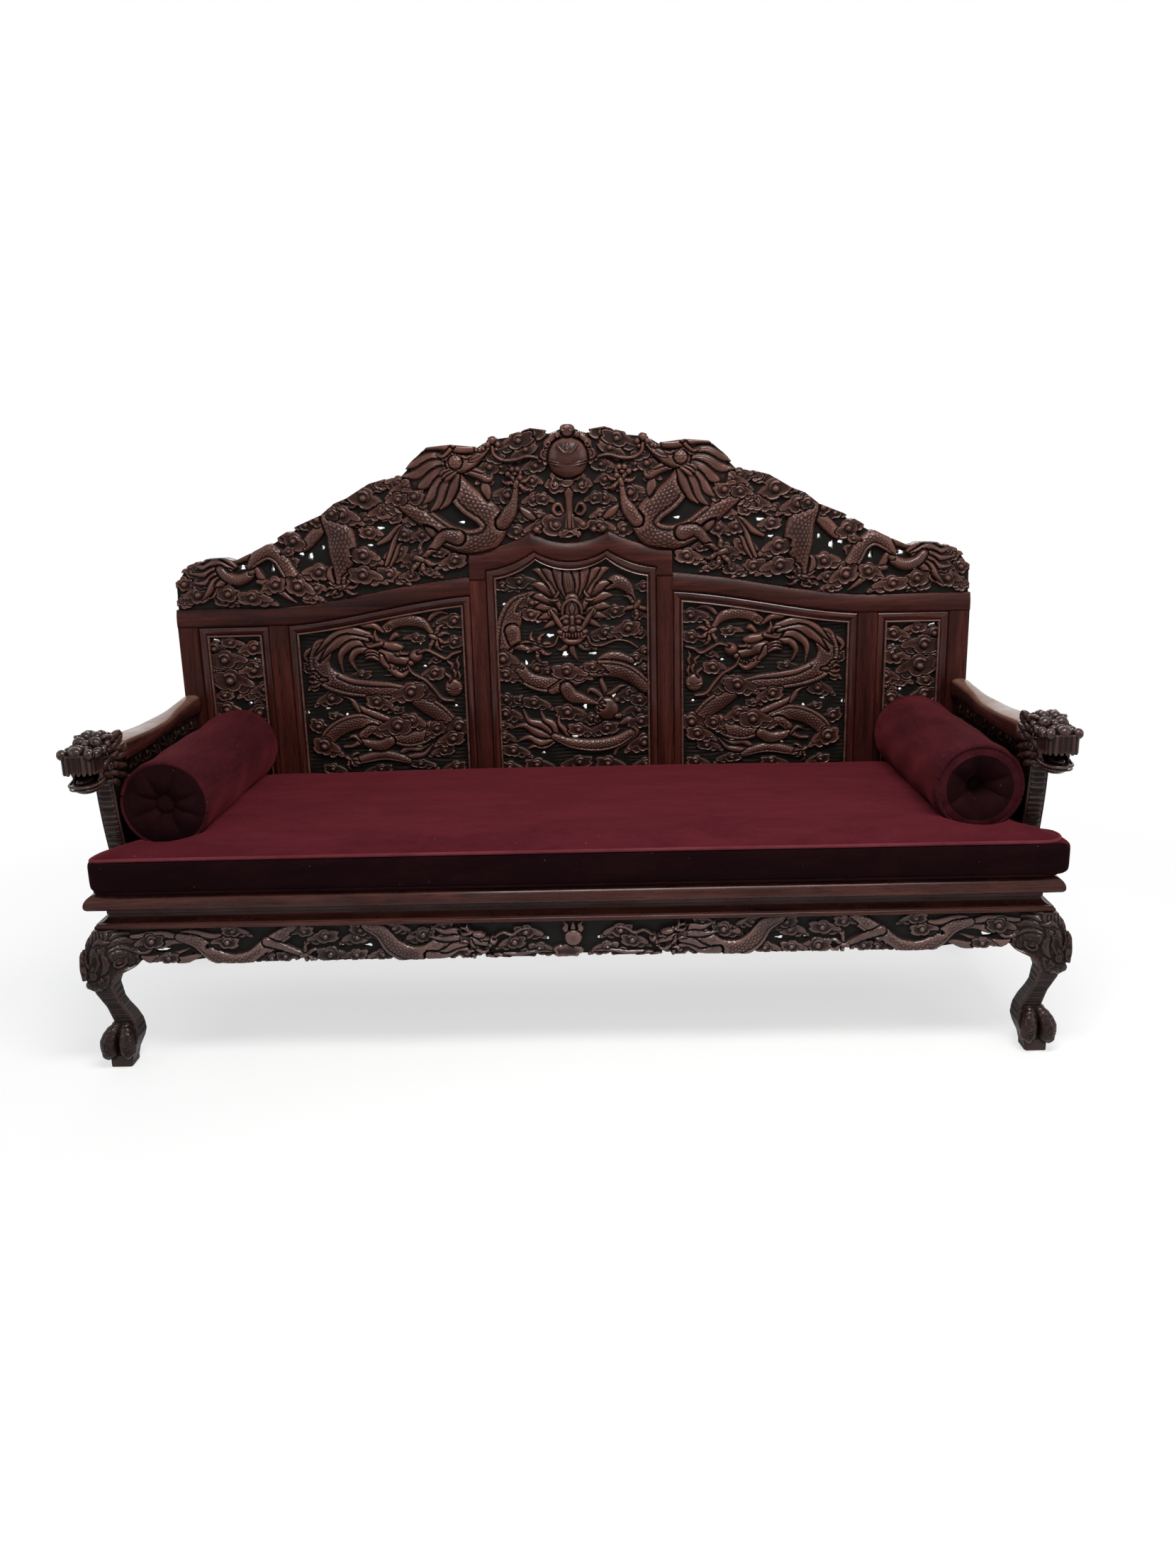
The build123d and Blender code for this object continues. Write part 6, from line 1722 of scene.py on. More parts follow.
def arm_head():
    block = Block((0, -3, -3), (45, head_long + 3, head_tall + 4), 1.25, mirrored=True)
    # The mass: the skull, the back of the head where it meets the arm, the throat and the jaws.
    block.ball(0, 122, 88, 33, 66, 34)
    block.slab((-25, 128, 0.5), (25, head_long, 92), 7, 8)
    block.limb([(0, 96, 52, 28), (0, 130, 56, 30), (0, 176, 56, 27)], 8)
    block.ball(0, 66, 30, 31, 56, 26, 6)
    block.ball(0, 52, 86, 29, 44, 19, 4)
    block.slab((-33, 44, 58), (33, 104, 98), 6, 4)
    block.slab((-35.5, 58, 36), (35.5, 100, 96), 5, 3)
    teeth(block)
    # The mouth: open in front and at the sides, with the tongue in it.
    block.slab((-60, -20, 31), (60, 52, 55), 3, 2, cut=True)
    block.slab((-27, 12, 31), (27, 88, 68), 8, 2, cut=True)
    block.ball(0, 48, 36, 15, 32, 8, 2)
    block.ball(0, 24, 37, 9, 9, 6, 1)
    # The lower lip: a smooth band that runs round the jaw, and a second line under it.
    for up, out, thick in ((29, 33.5, 3.4), (21, 32.5, 2.2)):
        block.limb([(0, 8 if up > 25 else 12, up, thick), (16, 12 if up > 25 else 15, up, thick),
                    (out - 4, 30, up, thick), (out, 56, up + 2, thick), (out - 1, 84, up + 10, thick)], 1.2)
    # The snout: a ball nose, nostril curls, and small balls along the lip.
    block.ball(0, 18, 104, 16.5, 16, 14)
    block.ball(0, 36, 108, 12, 12, 10)
    for x, y, z, r in ((30, 16, 101, 12), (36, 39, 97, 9.5), (33, 57, 98, 11), (14, 40, 107, 8)):
        block.ball(x, y, z, r, blend=0.8)
    block.limb([(40.5, 38, 96, 1.2), (42.5, 38, 96, 3.8)], cut=True)
    block.limb([(37, 14, 101, 2.2), (43, 12, 101, 3.2)], cut=True)
    # The eyes, with a drilled pupil, under their brows.
    block.ball(18, 84, 111, 16, 15, 15, 1)
    block.limb([(19, 70, 114, 1.5), (20, 68, 115, 3.2)], 0.6, cut=True)
    block.ball(0, 74, 112, 9, 13, 9)
    block.ball(35, 82, 98, 10.5, 11, 10.5, 0.8)
    block.ball(34, 104, 106, 10, 10, 9)
    for x, y, z, r in ((13, 108, 121, 13), (0, 104, 117, 9), (31, 112, 116, 10), (12, 132, 120, 12),
                       (0, 148, 113, 12), (30, 136, 111, 11)):
        block.ball(x, y, z, r, r * 1.15, r * 0.95, 1.0)
    block.limb([(24, 96, 118, 4), (32, 100, 122, 5), (38, 112, 120, 4), (37, 124, 116, 2.5)], 0.8)
    # A horn stub: a short tube with a dished end, and a curl behind it.
    block.limb([(30, 116, 92, 10), (37, 94, 88, 8.5), (38, 84, 86, 8)], 0.8)
    block.limb([(38.5, 78, 85, 5.0), (38.5, 72, 85, 5.4)], 0.8, cut=True)
    block.limb([(28, 150, 110, 9), (34, 160, 116, 8), (36, 172, 118, 6), (35, 184, 114, 3)], 0.8, 4)
    # The cheek: a large curl with its eye, and flames behind the jaw.
    block.limb([(30, 76, 58, 9), (36, 90, 70, 8), (36, 106, 72, 8), (36, 116, 62, 7), (36, 110, 50, 6),
                (36, 98, 50, 5), (36, 96, 58, 3.5)], 0.8, 3, 0.8)
    block.ball(38, 104, 60, 4.6, blend=0.6)
    block.limb([(30, 70, 44, 6), (35, 84, 40, 7), (36, 98, 34, 6), (35, 110, 26, 3)], 0.8, 3, 0.8)
    for y, z, dz in ((112, 88, 8), (116, 72, 2), (116, 54, -6), (112, 38, -12), (104, 22, -14)):
        block.limb([(28, y, z, 6), (35, y + 12, z + dz * 0.4, 8), (37, y + 26, z + dz * 0.8, 7),
                    (36, y + 40, z + dz * 1.5, 2.5)], 0.7, 4, 1.1)
    # The mane: two ranks of tufts that lie back over the arm.
    for y, z, dz in ((146, 96, 8), (150, 80, 4), (152, 62, 0), (150, 44, -6), (146, 26, -10)):
        block.limb([(24, y, z, 7), (32, y + 14, z + dz * 0.5, 8.5), (35, y + 30, z + dz, 7),
                    (34, y + 48, z + dz * 1.9, 2.5)], 0.7, 4, 1.1)
    for x, z in ((8, 108), (22, 104)):
        block.limb([(x, 150, z + 2, 9), (x + 1, 168, z + 3, 9), (x + 2, 190, z - 4, 7),
                    (x + 2, 210, z - 14, 3)], 0.8, 4, 1.0)
    return block


# %% [markdown]
# ## The necks
# Under each head the neck runs down to the seat, and its front sweeps back as it goes. Plates lie
# across its front like a snake's belly, and rows of scales cover its sides.

# %% Carve a neck
neck_low, neck_high, neck_half, neck_rear = 425.0, 678.0, 22.0, 80.0


def neck_line(z):
    """How far the neck's front lies behind its foremost place at a height."""
    share = np.clip((neck_high - z) / (neck_high - neck_low), 0, 1)
    return 50.0 * share**1.7


def arm_neck():
    """x across, y back from the neck's foremost place, z as it stands."""
    block = Block((0, -2, neck_low - 18), (neck_half + 2, neck_rear + 2, neck_high + 2), 1.3, mirrored=True)
    part, x, y, z = block.near((-99, -99, 0), (99, 99, 999))
    front = neck_line(z) + 1.6
    plate = 1.5 * (np.abs(np.sin(math.pi * (z - neck_low) / 13.5)) ** 0.5 - 1)
    rounded = 1.6 * (np.abs(x) / neck_half) ** 4
    ahead = (front - y) * 0.9 + rounded - plate * (np.abs(x) < 17)
    ahead = ahead + 1.4 * np.exp(-(((np.abs(x) - 18) / 1.3) ** 2))
    along = (neck_high - z) + 0 * y
    scaled = scales(along, np.clip((y - front) / 40 - 0.7, -0.99, 0.99), 26.0, 12.0) - 1
    behind_edge = np.clip((y - front - 9) / 3, 0, 1)
    aside = np.abs(x) - neck_half + 1.6 - 1.4 * scaled * behind_edge * 0.8 - 0.6
    wood = np.maximum(np.maximum(ahead, aside),
                      np.maximum(y - neck_rear, np.maximum(z - neck_high, neck_low - z)))
    block.join(part, wood, 0.1)
    block.slab((-9, 54, neck_low - 16), (9, 76, neck_low + 4), 1)      # its tenon, in the seat rail
    return block

# %% [markdown]
# ## The legs
# The four cabriole legs curve out at the knee, in at the ankle and out again to a paw that stands
# on a small square block. They are square in section with crisp corners. On the knee a beast's face
# wraps round the corner: its brow, its long nose down the corner, a nostril, and clouds below.
# u and v are the distances in from the leg's two outermost faces, z up from the ground.

# %% The curve of a leg
leg_out = ((0, 42), (24, 42), (34, 40), (60, 44), (86, 51), (104, 52), (150, 42),
           (194, 26), (210, 15), (232, 10), (256, 9), (290, 11), (318, 20), (340, 33), (402, 33))
leg_in = ((0, 86), (10, 86), (30, 90), (54, 100), (70, 104), (85, 103), (100, 101), (125, 93), (148, 83),
          (168, 76), (206, 72), (229, 80), (238, 92), (246, 118), (254, 127), (402, 127))
leg_wide, leg_tall = 129.0, 402.0
paw = ((38, 38, 20), (80, 38, 19), (38, 80, 19))         # each toe's place in plan, and its half thickness


def leg_curve(points, z):
    z0, inset = zip(*points)
    fine = np.arange(z0[0], z0[-1] + 1.0)
    rough = np.interp(fine, z0, inset)
    kernel = np.hanning(11) / np.hanning(11).sum()
    smooth = np.convolve(np.pad(rough, 5, "edge"), kernel, "valid")
    return np.interp(z, fine, smooth)


def knee_face():
    """The carving on one face of the knee, u in from the corner, as heights."""
    board = Board(0, 130, 178, 344, 1.3)
    pen = Chisel(board)
    # Locks that stream back to the apron, and the cloud under them.
    for line, wide in ((((70, 322), (92, 330), (112, 326), (130, 332)), 7),
                       (((72, 308), (94, 314), (114, 306), (130, 310)), 8),
                       (((74, 296), (96, 296), (112, 286), (130, 290)), 8),
                       (((84, 284), (102, 278), (116, 270), (130, 274)), 7)):
        pen.leaf(line, wide, 6, 5)
    pen.stroke([(82, 282, 12), (92, 278, 15), (104, 268, 13), (110, 258, 8)], 6, lift=1)
    pen.curl(90, 265, 13, 0.4, 1.2, 3, 4.5, 4)
    pen.bead(90, 265, 4.5, 4, 5)
    # The hair over the brow, in a fan from the corner.
    for i in range(8):
        pen.leaf([(6 + 7.5 * i, 341), (10 + 8 * i, 328), (14 + 6.5 * i, 314), (20 + 4.5 * i, 302)], 5.2, 5, 2)
    # The brow, the cheek and the long nose that ends in a nostril.
    pen.stroke([(66, 312, 5), (56, 310, 12), (48, 296, 17), (44, 282, 16), (38, 266, 13), (30, 248, 10)], 7,
               lift=1)
    pen.stroke([(74, 316, 2), (62, 318, 4.5), (50, 320, 5), (40, 312, 3)], 4, lift=6)
    pen.bead(54, 300, 6.5, 5, 5)
    pen.bead(54, 300, 2.6, 1.6, 9.5)
    pen.stroke([(0, 306, 6), (4, 288, 15), (5, 262, 18), (6, 240, 14)], 6.5, lift=2.5, flat=True)
    pen.stroke([(24, 300, 1.6), (22, 282, 2), (26, 262, 2)], 3, lift=6)
    pen.bead(34, 238, 8, 6, 3)
    pen.curl(34, 238, 9.5, 2.0, 0.8, 2.2, 3.5, 4)
    pen.stroke([(60, 284, 6), (66, 270, 8), (62, 254, 6), (54, 244, 3)], 5, lift=2)
    # The clouds under the chin.
    pen.stroke([(12, 214, 10), (30, 210, 13), (48, 214, 12), (60, 226, 8), (66, 238, 4)], 5, lift=0.5)
    pen.bead(20, 212, 7.5, 4.5, 4)
    pen.bead(48, 224, 7, 4.5, 4)
    pen.bead(44, 206, 7, 4.5, 4)
    pen.curl(48, 224, 9, 1.2, 0.8, 1.8, 3, 4)
    pen.bead(6, 204, 7, 4, 2)
    return board


def leg_block():
    """One leg, with its corner at u = v = 0."""
    block = Block((-2, -2, -2), (leg_wide + 2, leg_wide + 2, leg_tall + 2), 1.6)
    # The paw: three broad toes, one at the corner, that swell out of the ankle.
    for u0, v0, thick in paw:
        in_u, in_v = 72 - u0, 72 - v0
        block.limb([(u0 + in_u * 0.6, v0 + in_v * 0.6, 102, 8),
                    (u0 + in_u * 0.25, v0 + in_v * 0.25, 86, thick - 4), (u0, v0, 64, thick),
                    (u0 + 1, v0 + 1, 44, thick)], 3.5)
    part, u, v, z = block.near((-99, -99, -99), (999, 999, 999))
    outer, inner = leg_curve(leg_out, z), leg_curve(leg_in, z)
    face = knee_face()
    rows = np.clip(((z - face.low) / face.step).astype(int), 0, face.height.shape[0] - 1)
    in_height = (z > face.low) & (z < 340)

    def relief(across):
        columns = np.clip(((across - face.left) / face.step).astype(int), 0, face.height.shape[1] - 1)
        return np.where(in_height, np.clip(face.height, 0, 12)[rows, columns] * 0.75, 0.0)

    knee_back = 4.0 * np.clip((z - 190) / 20, 0, 1) * np.clip((344 - z) / 8, 0, 1)
    high_up = np.clip((z - 222) / 30, 0, 1)

    def falls_back(across):
        """The knee runs back into the apron on each side of the corner."""
        share = np.clip((across - 58) / 68, 0, 1)
        return 40.0 * share**2 * (3 - 2 * share) * high_up

    on_front = outer + knee_back + falls_back(u) - v - relief(u)
    on_side = outer + knee_back + falls_back(v) - u - relief(v)
    edge = np.where(z < 200, 2.0, 4.0)
    a, b = np.maximum(on_front, v - inner) + edge, np.maximum(on_side, u - inner) + edge
    section = np.hypot(np.maximum(a, 0), np.maximum(b, 0)) + np.minimum(np.maximum(a, b), 0) - edge
    block.join(part, np.maximum(np.maximum(section, -z), z - 340), 4)
    block.slab((87, 87, 330), (128.5, 128.5, leg_tall - 0.4), 1)       # the stem in the seat frame
    # The block under the paw, chamfered below on the inner sides.
    block.slab((37, 37, 0), (85, 85, 30), 3)
    # The nails and the creases over them.
    for u0, v0, thick in paw:
        way = np.array([u0 - 72.0, v0 - 72.0])
        way /= np.linalg.norm(way)

        def off(out, aside, z, radius):
            return (u0 + way[0] * out - way[1] * aside, v0 + way[1] * out + way[0] * aside, z, radius)

        block.limb([off(9, 0, 42, 9), off(10, 0, 35, 8.5), off(5, 0, 28, 7)], 0.8)
        for up in (49, 55):
            block.limb([off(thick - 5, 12, up + 4, 0.9), off(thick + 0.3, 0, up, 1.1),
                        off(thick - 5, -12, up + 4, 0.9)], 0.4, cut=True)
    return block

# %% [markdown]
# ## Stand the round carvings in place
# A block becomes a mesh in its own millimetres and is then turned and moved to where it stands.
# The two sides are mirror images. As on the boards, every point keeps how deep it lies in a
# hollow, measured by blurring the distances round it, so that the painted shade in the hollows, the
# painted highlight on the crests and the polish follow the carving.

# %% Make a carved block into a piece
def carved_block(name, block, material, basis, origin, dark=None):
    """basis gives the world directions of the block's three axes; dark is a box painted in the ground's
    near-black colour, painted shade, and left unpolished.
    """
    field, low = block.whole()
    points, quads = skinned(field, low, block.step)
    soft = blurred(np.clip(field, -8, 8), 2)
    cell = np.clip(np.rint((points - low) / block.step).astype(int), 0, np.array(field.shape) - 1)
    hollow = np.clip(-(soft[tuple(cell.T)] - 0.1) / 2.2, -1, 1)
    relief = np.ones(len(points))
    if dark is not None:
        # Points in the dark box take the ground's near-black colour: painted shade.
        relief[np.all((points > dark[0]) & (points < dark[1]), 1)] = 0.0
    return carved_mesh(name, points, quads, basis, origin, material, relief, hollow)


# %% The arms' heads and necks
head, neck = arm_head(), arm_neck()
# The inside of the mouth is painted dark, painted shade.
mouth_shade_box = (np.array((-30, 8, 30)), np.array((30, 90, 66)))
head_slimmer, head_raised = 0.97, 0.0011        # set this much slimmer and higher than it was carved
for side, _ in sides:
    low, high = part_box(f"arm_head_{side}")
    middle = (low.x + high.x) / 2
    made = carved_block(f"dragon_head_{side}", head, head_wood["y"],
                        ((head_slimmer, 0, 0), (0, 1, 0), (0, 0, 1)), (middle, low.y, low.z + head_raised),
                        mouth_shade_box)
    dressed(made, "frame", "carved_wood", f"arm_head_{side}")
    low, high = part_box(f"arm_post_{side}")
    made = carved_block(f"dragon_neck_{side}", neck, head_wood["z"], facing_front(), (middle, low.y, 0))
    dressed(made, "frame", "carved_wood", f"arm_post_{side}")

# %% The legs
leg = leg_block()
for across in ("left", "right"):
    for along in ("front", "rear"):
        low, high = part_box(f"leg_{along}_{across}")
        x_way, y_way = (1 if across == "left" else -1), (1 if along == "front" else -1)
        corner = (low.x if x_way > 0 else high.x, low.y if y_way > 0 else high.y, 0)
        made = carved_block(f"carved_leg_{along}_{across}", leg, leg_wood,
                            ((x_way, 0, 0), (0, y_way, 0), (0, 0, 1)), corner)
        dressed(made, "frame", "carved_wood", f"leg_{along}_{across}")

# %% [markdown]
# The panel in each arm is pierced with clouds and carved alike on both faces, because it is seen
# from the seat and from outside.

# %% Carve and fit the arm panels
def arm_clouds():
    board = Board(-222, 357, 447, 708, 1.8)
    pen = Chisel(board)
    pen.ripples(11, 1.0)
    rng = np.random.default_rng(8)

    def places():
        """Rows of places, each second one shifted, none quite in line."""
        for row in range(5):
            for column in range(8):
                x = -190 + 72 * column + 34 * (row % 2) + rng.uniform(-6, 6)
                yield x, 474 + 51 * row + rng.uniform(-5, 5)

    for x, z in places():
        pen.pierce(x + 34, z + 4, 22 + rng.uniform(-4, 6), 14 + rng.uniform(-3, 4), rng.uniform(-0.5, 0.5))
    for x, z in places():
        pen.cloud(x, z, 62 + rng.uniform(-6, 8), 40 + rng.uniform(-4, 6), rng.uniform(-0.25, 0.25),
                  1 if rng.random() < 0.5 else -1, 1.0, 3.6, 0.45)
    return board


clouds = arm_clouds()
clouds.height = np.clip(clouds.height * 0.55, 0, 7)
for side, hand in sides:
    low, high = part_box(f"arm_panel_{side}")
    made = solid_board(f"arm_clouds_{side}", clouds, -3.0, 3.0, apron_wood["y"],
                       ((0, 1, 0), (hand, 0, 0), (0, 0, 1)), ((low.x + high.x) / 2, 0, 0), both_faces=True)
    dressed(made, "frame", "carved_wood", f"arm_panel_{side}")

# %% [markdown]
# ## The arm rails
# Each arm is sawn from one thick board. It leaves the back narrow, dips, and swells in an ogee to
# the width of the dragon's neck. Its upper face is painted a pale tan, a painted reflection of the
# light on it, over the scuffs of wear. The plain rail could only be straight-sided, so a section is
# drawn at many places along it and joined.

# %% Sweep the arm rails
# Its upper face is painted a pale tan, a painted reflection of the light, over the scuffs of wear.
arm_wood = rosewood("rosewood_arm", ways["y"], worn_and_reflected=(0.20, 0.105, 0.074), roughness=0.25, wear_amount=0.25,
                    bump=0.14, polish=0.3, painted_top_reflection=0.6, **dark_tones)
section_count = 50


def eased(t):
    t = min(max(t, 0.0), 1.0)
    return t * t * (3 - 2 * t)


def swept_arm(name, middle, front, rear, low, top):
    points = []
    for i in range(section_count):
        t = i / (section_count - 1)
        y = rear + (front - rear) * t
        half = 0.019 + 0.005 * eased((0.12 - t) / 0.12) + 0.017 * eased((t - 0.22) / 0.30)
        half += 0.003 * math.sin(9 * t)
        level = top - 0.014 * math.sin(math.pi * t) ** 1.5
        side = [(half * 0.86, low), (half, low + 0.007), (half, level - 0.013), (half - 0.003, level - 0.005),
                (half - 0.009, level - 0.0015), (half * 0.4, level + 0.0005)]
        ring = side + [(-x, z) for x, z in reversed(side)]
        points += [(middle + x, y, z) for x, z in ring]
    count = len(points) // section_count
    faces = [quad[::-1] for quad in ring_quads(section_count, count)]
    faces.append(tuple(range(count)))
    faces.append(tuple(range(len(points) - 1, len(points) - 1 - count, -1)))
    made = mesh_object(name, points, faces)
    made.data.materials.append(arm_wood)
    return made


for side, _ in sides:
    low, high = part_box(f"arm_rail_{side}")
    made = swept_arm(f"arm_swept_{side}", (low.x + high.x) / 2, low.y, high.y - 0.018, low.z + 0.0015, high.z)
    dressed(made, "frame", "frame_wood", f"arm_rail_{side}")

# %% [markdown]
# ## Velvet
# The cushions are covered in wine-red cotton velvet. Its pile stands on end, so it is dark when
# it is looked into and pale where it turns away, and every stroke of a hand leaves a streak. A hair
# system would be true and slow. The shader's sheen gives the pale rim, and a group shared by
# the three velvets draws the streaks, the weave of the pile and a little lint. The upright sides
# of the seat and the bolster ends are also painted darker, painted shade, and the upper piping
# lighter, a painted highlight.

# %% The velvet group and the three velvets
def make_nap():
    group, inside, out = group_with(
        "nap", [("Brushed", "NodeSocketVector", (1, 1, 1))],
        [("Streaks", "NodeSocketFloat"), ("Pile", "NodeSocketFloat"), ("Lint", "NodeSocketFloat")])
    place = node(group, "TexCoord").outputs["Object"]
    drawn = node(group, "VectorMath", operation="MULTIPLY", i0=place, i1=inside.outputs["Brushed"]).outputs[0]
    broad = node(group, "TexNoise", Vector=drawn, Scale=5.0, Detail=4.0, Roughness=0.6, Distortion=0.6)
    narrow = node(group, "TexNoise", Vector=drawn, Scale=38.0, Detail=4.0, Roughness=0.65)
    pile = node(group, "TexNoise", Vector=place, Scale=900.0, Detail=2.0, Roughness=0.6)
    specks = node(group, "TexVoronoi", Vector=place, Scale=34.0, Randomness=1.0)
    streaks = sums(group, "ADD", sums(group, "MULTIPLY", broad.outputs["Fac"], 0.65),
                   sums(group, "MULTIPLY", narrow.outputs["Fac"], 0.35))
    group.links.new(span(group, streaks, 0.36, 0.64), out.inputs["Streaks"])
    group.links.new(pile.outputs["Fac"], out.inputs["Pile"])
    group.links.new(span(group, specks.outputs["Distance"], 0.045, 0.02), out.inputs["Lint"])
    return group


nap = make_nap()


velvet_specular = 0.04


def velvet(name, dark, light, brushed, lint=0.5, sheen=0.13):
    material, tree, shader = new_material(name)
    pile = node(tree, "Group", node_tree=nap, Brushed=brushed)
    colour = mixed(tree, pile.outputs["Streaks"], dark, light)
    colour = mixed(tree, span(tree, pile.outputs["Pile"], 0.3, 0.7, 0.0, 0.35), colour,
                   [c * 1.7 for c in light])
    colour = mixed(tree, sums(tree, "MULTIPLY", pile.outputs["Lint"], lint), colour, (0.30, 0.22, 0.21))
    rough = span(tree, pile.outputs["Streaks"], 0.0, 1.0, 0.95, 0.82)
    shader.inputs["Sheen Weight"].default_value = sheen
    shader.inputs["Sheen Roughness"].default_value = 0.38
    shader.inputs["Sheen Tint"].default_value = (0.92, 0.13, 0.155, 1)
    finished(tree, shader, colour, rough, pile.outputs["Pile"], 0.25, 0.0007, velvet_specular)
    return material


velvet_top = velvet("velvet_seat", (0.032, 0.0040, 0.0066), (0.056, 0.0075, 0.0115), (1.0, 3.2, 1.0))
# The boxing is the seat's velvet painted many times darker with little sheen: painted shade on the upright
# sides.
velvet_side_shaded = velvet("velvet_boxing_shaded", (0.0022, 0.0005, 0.0008), (0.0068, 0.0013, 0.0019), (1.0, 1.0, 4.0),
                     0.3, 0.035)
velvet_round = velvet("velvet_bolster", (0.0080, 0.0015, 0.0022), (0.036, 0.0058, 0.0080), (3.5, 0.8, 3.5))
# The upper piping is the seat's velvet painted lighter: a painted highlight along the cord.
velvet_cord_highlight = velvet("velvet_piping_highlight", (0.055, 0.0090, 0.0130), (0.100, 0.0200, 0.0260), (1.0, 1.0, 1.0), 0.3,
                     0.25)
# The ends and buttons are the bolster's velvet painted much darker with little sheen: painted shade on the
# upright ends and in the dimples.
velvet_end_shaded = velvet("velvet_bolster_end_shaded", (0.0026, 0.0006, 0.0009), (0.0105, 0.0022, 0.0031), (1.5, 1.0, 1.5),
                    0.3, 0.03)
print("velvets", sum(m.name.startswith("velvet") for m in bpy.data.materials))

# %% [markdown]
# ## The seat cushion
# It is a long boxed cushion, T-shaped in plan because its front runs out past the arms. It could
# be modelled with a crowned surface. A filled cushion, though, swells in between its seams, so
# the cover is sewn a little small and blown up as cloth, with gravity off and a cap on how far any
# point may move. It is then pressed flat where it lies on the boards. Its underside rests there.

# %% Sew the cover and fill it
def rounded_plan(corners, radius, gap):
    """A closed line through corners, rounded, with a point every gap."""
    made = []
    count = len(corners)
    for i, corner in enumerate(corners):
        before, after = Vector(corners[i - 1]), Vector(corners[(i + 1) % count])
        here = Vector(corner)
        into, away = (before - here).normalized(), (after - here).normalized()
        start, end = here + into * radius, here + away * radius
        for k in range(6):
            t = k / 5
            made.append(start * (1 - t) ** 2 + here * 2 * t * (1 - t) + end * t**2)
    line = []
    for i, point in enumerate(made):
        following = made[(i + 1) % len(made)]
        steps = max(1, int((following - point).length / gap))
        line += [point.lerp(following, k / steps) for k in range(steps)]
    return line


def applied(piece):
    """Turns a piece's modifiers into plain mesh."""
    made = bpy.data.meshes.new_from_object(piece.evaluated_get(bpy.context.evaluated_depsgraph_get()))
    piece.modifiers.clear()
    piece.data = made
    return made


def remeshed(piece, voxel):
    remesh = piece.modifiers.new("even", "REMESH")
    remesh.mode, remesh.voxel_size = "VOXEL", voxel
    return applied(piece)


def points_of(mesh):
    co = np.empty(len(mesh.vertices) * 3)
    mesh.vertices.foreach_get("co", co)
    return co.reshape(-1, 3)


def move_points(mesh, co):
    mesh.vertices.foreach_set("co", co.ravel())
    mesh.update()


def filled_by_cloth(piece, pressure, cap, frames=20):
    """Blows a cover up as cloth and leaves plain mesh behind. No point moves further than cap."""
    before = points_of(piece.data)
    cloth = piece.modifiers.new("fill", "CLOTH").settings
    cloth.use_pressure, cloth.uniform_pressure_force = True, pressure
    cloth.tension_stiffness = cloth.compression_stiffness = 22
    cloth.quality, cloth.mass = 5, 0.4
    cloth.effector_weights.gravity = 0
    for number in range(1, frames + 1):
        bpy.context.scene.frame_set(number)
    blown = applied(piece)
    move = points_of(blown) - before
    far = np.linalg.norm(move, axis=1, keepdims=True)
    move_points(blown, before + move * np.minimum(1.0, cap / np.maximum(far, 1e-9)))
    bpy.context.scene.frame_set(1)
    print(piece.name, "moved up to", round(float(far.max()) * 1000, 1), "mm, capped at", cap * 1000)


def subdivided(piece):
    modifier = piece.modifiers.new("soft", "SUBSURF")
    modifier.levels = modifier.render_levels = 1
    made = applied(piece)
    made.polygons.foreach_set("use_smooth", [True] * len(made.polygons))


low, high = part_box("seat_cushion")
board_top, cushion_front, cushion_rear = low.z, low.y, high.y
wide, narrow = high.x, 1.030          # half the width in front of the arms, and between them
step_y = -0.2815                      # where the wide front ends
plan = [(-wide, cushion_front), (wide, cushion_front), (wide, step_y), (narrow, step_y),
        (narrow, cushion_rear), (-narrow, cushion_rear), (-narrow, step_y), (-wide, step_y)]
edge_height, crown_height = 0.084, high.z - low.z
sewn_height = edge_height - 0.006
start_small = 0.010                   # how much the cover is sewn small
seam_height = 0.089          # of the seam between the top and the boxing, above the boards


def crown(x, y):
    """Height of the top above the boards before it is filled."""
    across = np.clip(1 - (abs(x) / wide) ** 2.4, 0, 1)
    middle = (cushion_front + cushion_rear) / 2
    deep = np.clip(1 - (abs(y - middle) / ((cushion_rear - cushion_front) / 2)) ** 2.2, 0, 1)
    return sewn_height + (crown_height - edge_height - 0.012) * (across * deep) ** 0.55


def sewn_cover():
    """The cover: a grid over the plan, top and bottom, closed by its boxing."""
    shape = bmesh.new()
    shrunk = [(x - math.copysign(start_small, x), y + (start_small if y < 0 else -start_small * 0.4))
              for x, y in plan]
    ring = [shape.verts.new((p.x, p.y, board_top + 0.004)) for p in rounded_plan(shrunk, 0.036, 0.03)]
    bottom = shape.faces.new(ring)
    raised = bmesh.ops.extrude_face_region(shape, geom=[bottom])
    for vertex in (v for v in raised["geom"] if isinstance(v, bmesh.types.BMVert)):
        vertex.co.z = board_top + sewn_height
    mesh = bpy.data.meshes.new("seat_cushion_cover")
    bmesh.ops.recalc_face_normals(shape, faces=shape.faces)
    shape.to_mesh(mesh)
    shape.free()
    return mesh


cushion = bpy.data.objects.new("velvet_seat_cushion", sewn_cover())
bpy.context.scene.collection.objects.link(cushion)
cover_grid, fill_pressure, fill_cap = 0.011, 3.0, 0.022
even = remeshed(cushion, cover_grid)
points = points_of(even)
lift = (points[:, 2] - board_top) / sewn_height
points[:, 2] = board_top + np.clip(lift, 0, 1) * crown(points[:, 0], points[:, 1])
move_points(even, points)
filled_by_cloth(cushion, fill_pressure, fill_cap)
subdivided(cushion)
# The filling draws the cover in, so it is let out again to the width it is sewn for.
cover = points_of(cushion.data)
for axis, ends in ((0, (-wide - 0.002, wide + 0.026)), (1, (cushion_front - 0.004, cushion_rear))):
    cover[:, axis] = np.interp(cover[:, axis], (cover[:, axis].min(), cover[:, axis].max()), ends)
move_points(cushion.data, cover)


